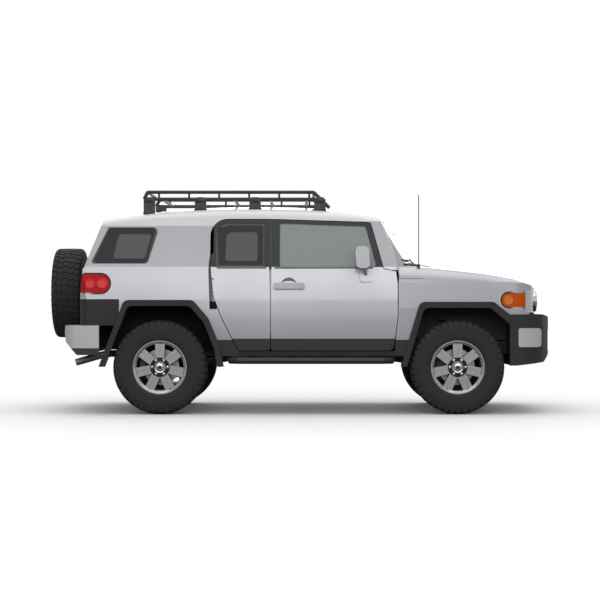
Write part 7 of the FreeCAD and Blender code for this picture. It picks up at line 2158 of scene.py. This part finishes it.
@dataclass(frozen=True)
class GateDetails:
    """The tailgate's handle, its wiper and its demister lines."""

    outside: float = -3.0
    grip_y: float = -0.545
    grip_z: float = 1.13
    grip: Line = ((0.004, 1.055), (-0.03, 1.07), (-0.034, 1.13), (-0.03, 1.19), (0.004, 1.205))
    grip_r: float = 0.011
    grip_plate: Corners = ((-0.008, -0.575, 1.03), (0.004, -0.515, 1.23))
    wiper_y: float = 0.1
    pivot_z: float = 1.345
    pivot: Line = ((0.004, 0.02), (-0.014, 0.02), (-0.02, 0.014), (-0.021, 0.0))
    blade_y: Row = (0.1, 0.2, 0.3, 0.4, 0.48)
    blade_z: float = 1.36
    blade_slope: float = 0.1
    line_y: Row = (-0.5, -0.25, 0.0, 0.25, 0.5)
    line_z: float = 1.42
    line_step: float = 0.027
    lines: int = 9

    def on_gate(self, node: str, y: float, z: float, lift: float = 0.0) -> Point:
        """Returns the point of a node's rear face at y and z, lifted off it."""
        return landing(node, (self.outside, y, z), AHEAD, lift)

    def dress(self) -> None:
        """Dresses the tailgate."""
        grip = Shaper()
        x = self.on_gate("tailgate", self.grip_y, self.grip_z)[0]
        grip.tube([(x + out, self.grip_y, z) for out, z in self.grip], self.grip_r, 14)
        low, high = self.grip_plate
        grip.block((x + low[0], *low[1:]), (x + high[0], *high[1:]), 0.006)
        grip.finish("tailgate_grip", DARK_TRIM, "tailgate")
        wiper = Shaper()
        wiper.lathe(self.pivot, self.on_gate("tailgate_glass", self.wiper_y, self.pivot_z, 0.002), "x", 24)
        blade = [self.on_gate("tailgate_glass", y, self.blade_z + (y - self.wiper_y) * self.blade_slope, 0.01)
                 for y in self.blade_y]
        wiper.tube(blade, 0.006, 8)
        wiper.finish("rear_wiper", BLACK_STEEL, "tailgate")
        lines = Shaper()
        for i in range(self.lines):
            z = self.line_z + self.line_step * i
            lines.tube([self.on_gate("tailgate_glass", y, z) for y in self.line_y], 0.0008, 5)
        lines.finish("demister_lines", EXHAUST_STEEL, "tailgate")


# Studio


@dataclass(frozen=True)
class Studio:
    """Pale floor, soft lamps and the camera at the photograph's angle."""

    eye: Point = (0.1025, -16.7, 1.023)
    seen_w: float = 5.7276
    shift: Flat = (-12.0 / 600.0, 1.0 / 600.0)
    floor_half: float = 60.0
    shade_m: float = 2.0
    white_m: float = 4.2
    aim: Point = (0.0, 0.0, 0.9)
    lamps: tuple[tuple[str, Point, Flat, float], ...] = (
        ("lamp_above", (0.0, 0.0, 8.0), (11.0, 8.0), 300.0),
        ("lamp_side", (0.0, -11.0, 4.0), (10.0, 4.0), 330.0),
        ("lamp_far", (0.0, 11.0, 4.0), (10.0, 4.0), 330.0))

    def floor(self) -> None:
        """Lays the floor, which shows white to the eye and keeps the car's shadow."""
        mesh = bpy.data.meshes.new("studio_floor")
        h = self.floor_half
        mesh.from_pydata(
            [(-h, -h, -0.001), (h, -h, -0.001), (h, h, -0.001), (-h, h, -0.001)], [], [(0, 1, 2, 3)])
        floor = bpy.data.objects.new("studio_floor", mesh)
        bpy.context.scene.collection.objects.link(floor)
        material = bpy.data.materials.new("studio_floor")
        material.use_nodes = True
        tree = material.node_tree
        tree.nodes.clear()
        path = add_node(tree, "ShaderNodeLightPath", {}, {})
        place = add_node(tree, "ShaderNodeTexCoord", {}, {}).outputs["Object"]
        away = add_node(tree, "ShaderNodeVectorMath", {"operation": "LENGTH"}, {0: place}).outputs["Value"]
        faded = add_node(tree, "ShaderNodeMapRange", {"interpolation_type": "SMOOTHSTEP"},
                         {"Value": away, "From Min": self.shade_m, "From Max": self.white_m}).outputs[0]
        shaded = add_node(tree, "ShaderNodeBsdfDiffuse", {}, {"Color": linear("#FFFFFF")})
        white = add_node(tree, "ShaderNodeEmission", {}, {"Color": (1.0, 1.0, 1.0, 1.0), "Strength": 1.0})
        seen = add_node(
            tree, "ShaderNodeMixShader", {}, {0: faded, 1: shaded.outputs[0], 2: white.outputs[0]})
        dull = add_node(tree, "ShaderNodeBsdfDiffuse", {}, {"Color": linear("#8A8A8A")})
        both = add_node(tree, "ShaderNodeMixShader", {},
                        {0: path.outputs["Is Camera Ray"], 1: dull.outputs[0], 2: seen.outputs[0]})
        add_node(tree, "ShaderNodeOutputMaterial", {}, {"Surface": both.outputs[0]})
        mesh.materials.append(material)

    def lamp(self, name: str, spot: Point, size: Flat, watts: float) -> None:
        """Hangs one soft lamp.

        Args:
            name: its name.
            spot: where it hangs.
            size: its width and height.
            watts: its power.
        """
        light = bpy.data.lights.new(name, "AREA")
        light.shape = "RECTANGLE"
        light.size, light.size_y = size
        light.energy = watts
        held = bpy.data.objects.new(name, light)
        held.location = spot
        held.rotation_euler = (Vector(self.aim) - Vector(spot)).to_track_quat("-Z", "Y").to_euler()
        bpy.context.scene.collection.objects.link(held)

    def world(self) -> None:
        """Sets the pale surroundings: white to the eye and in gloss, and dim as light."""
        world = bpy.data.worlds.new("studio_world")
        bpy.context.scene.world = world
        world.use_nodes = True
        tree = world.node_tree
        tree.nodes.clear()
        path = add_node(tree, "ShaderNodeLightPath", {}, {})
        seen = path.outputs["Is Camera Ray"]
        for name, share in (("Is Glossy Ray", 0.55), ("Is Transmission Ray", 1.0)):
            seen = joined(tree, "MAXIMUM", seen, joined(tree, "MULTIPLY", path.outputs[name], share))
        dim = add_node(tree, "ShaderNodeBackground", {}, {"Color": (1.0, 1.0, 1.0, 1.0), "Strength": 0.5})
        white = add_node(tree, "ShaderNodeBackground", {}, {"Color": (1.0, 1.0, 1.0, 1.0), "Strength": 1.0})
        mixed = add_node(tree, "ShaderNodeMixShader", {}, {0: seen, 1: dim.outputs[0], 2: white.outputs[0]})
        add_node(tree, "ShaderNodeOutputWorld", {}, {"Surface": mixed.outputs[0]})

    def camera(self) -> None:
        """Places the camera beside the car, level, at the photograph's height."""
        lens = bpy.data.cameras.new("side_camera")
        lens.sensor_width = 36.0
        lens.lens = 36.0 * -self.eye[1] / self.seen_w
        lens.shift_x, lens.shift_y = self.shift
        lens.clip_end = 200.0
        held = bpy.data.objects.new("side_camera", lens)
        held.location = self.eye
        held.rotation_euler = (math.radians(90.0), 0.0, 0.0)
        bpy.context.scene.collection.objects.link(held)
        bpy.context.scene.camera = held

    def build(self) -> None:
        """Sets up floor, world, lamps and camera."""
        bpy.context.scene.view_settings.view_transform = "Standard"
        self.floor()
        self.world()
        self.camera()
        for lamp in self.lamps:
            self.lamp(*lamp)


def corners(box: tuple[Vector, Vector]) -> list[list[float]]:
    """Returns a box's two corners as plain lists."""
    return [[float(v) for v in corner] for corner in box]


def main() -> None:
    """Builds the studio and dresses the car, sub-assembly by sub-assembly."""
    logging.basicConfig(level=logging.INFO, format="%(name)s: %(message)s")
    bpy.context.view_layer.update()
    Studio().build()
    CarriedParts().dress()
    Wheels().dress()
    Seats().dress()
    DoorTrim().dress()
    GlassTrim().dress()
    for label, rim, body in (
            ("front_left", "rim_front_left", "wheel_front_left"),
            ("front_right", "rim_front_right", "wheel_front_right"),
            ("rear_left", "rim_rear_left", "wheel_rear_left"),
            ("rear_right", "rim_rear_right", "wheel_rear_right"), ("spare", "spare_rim", "tailgate")):
        WheelTrim(label, rim, body).dress()
    Lamps().dress()
    FrontAndRear().dress()
    RoofRack().dress()
    Cabin().dress()
    OuterDetails().dress()
    GateDetails().dress()
    Springs().dress()


if __name__ == "__main__":
    main()
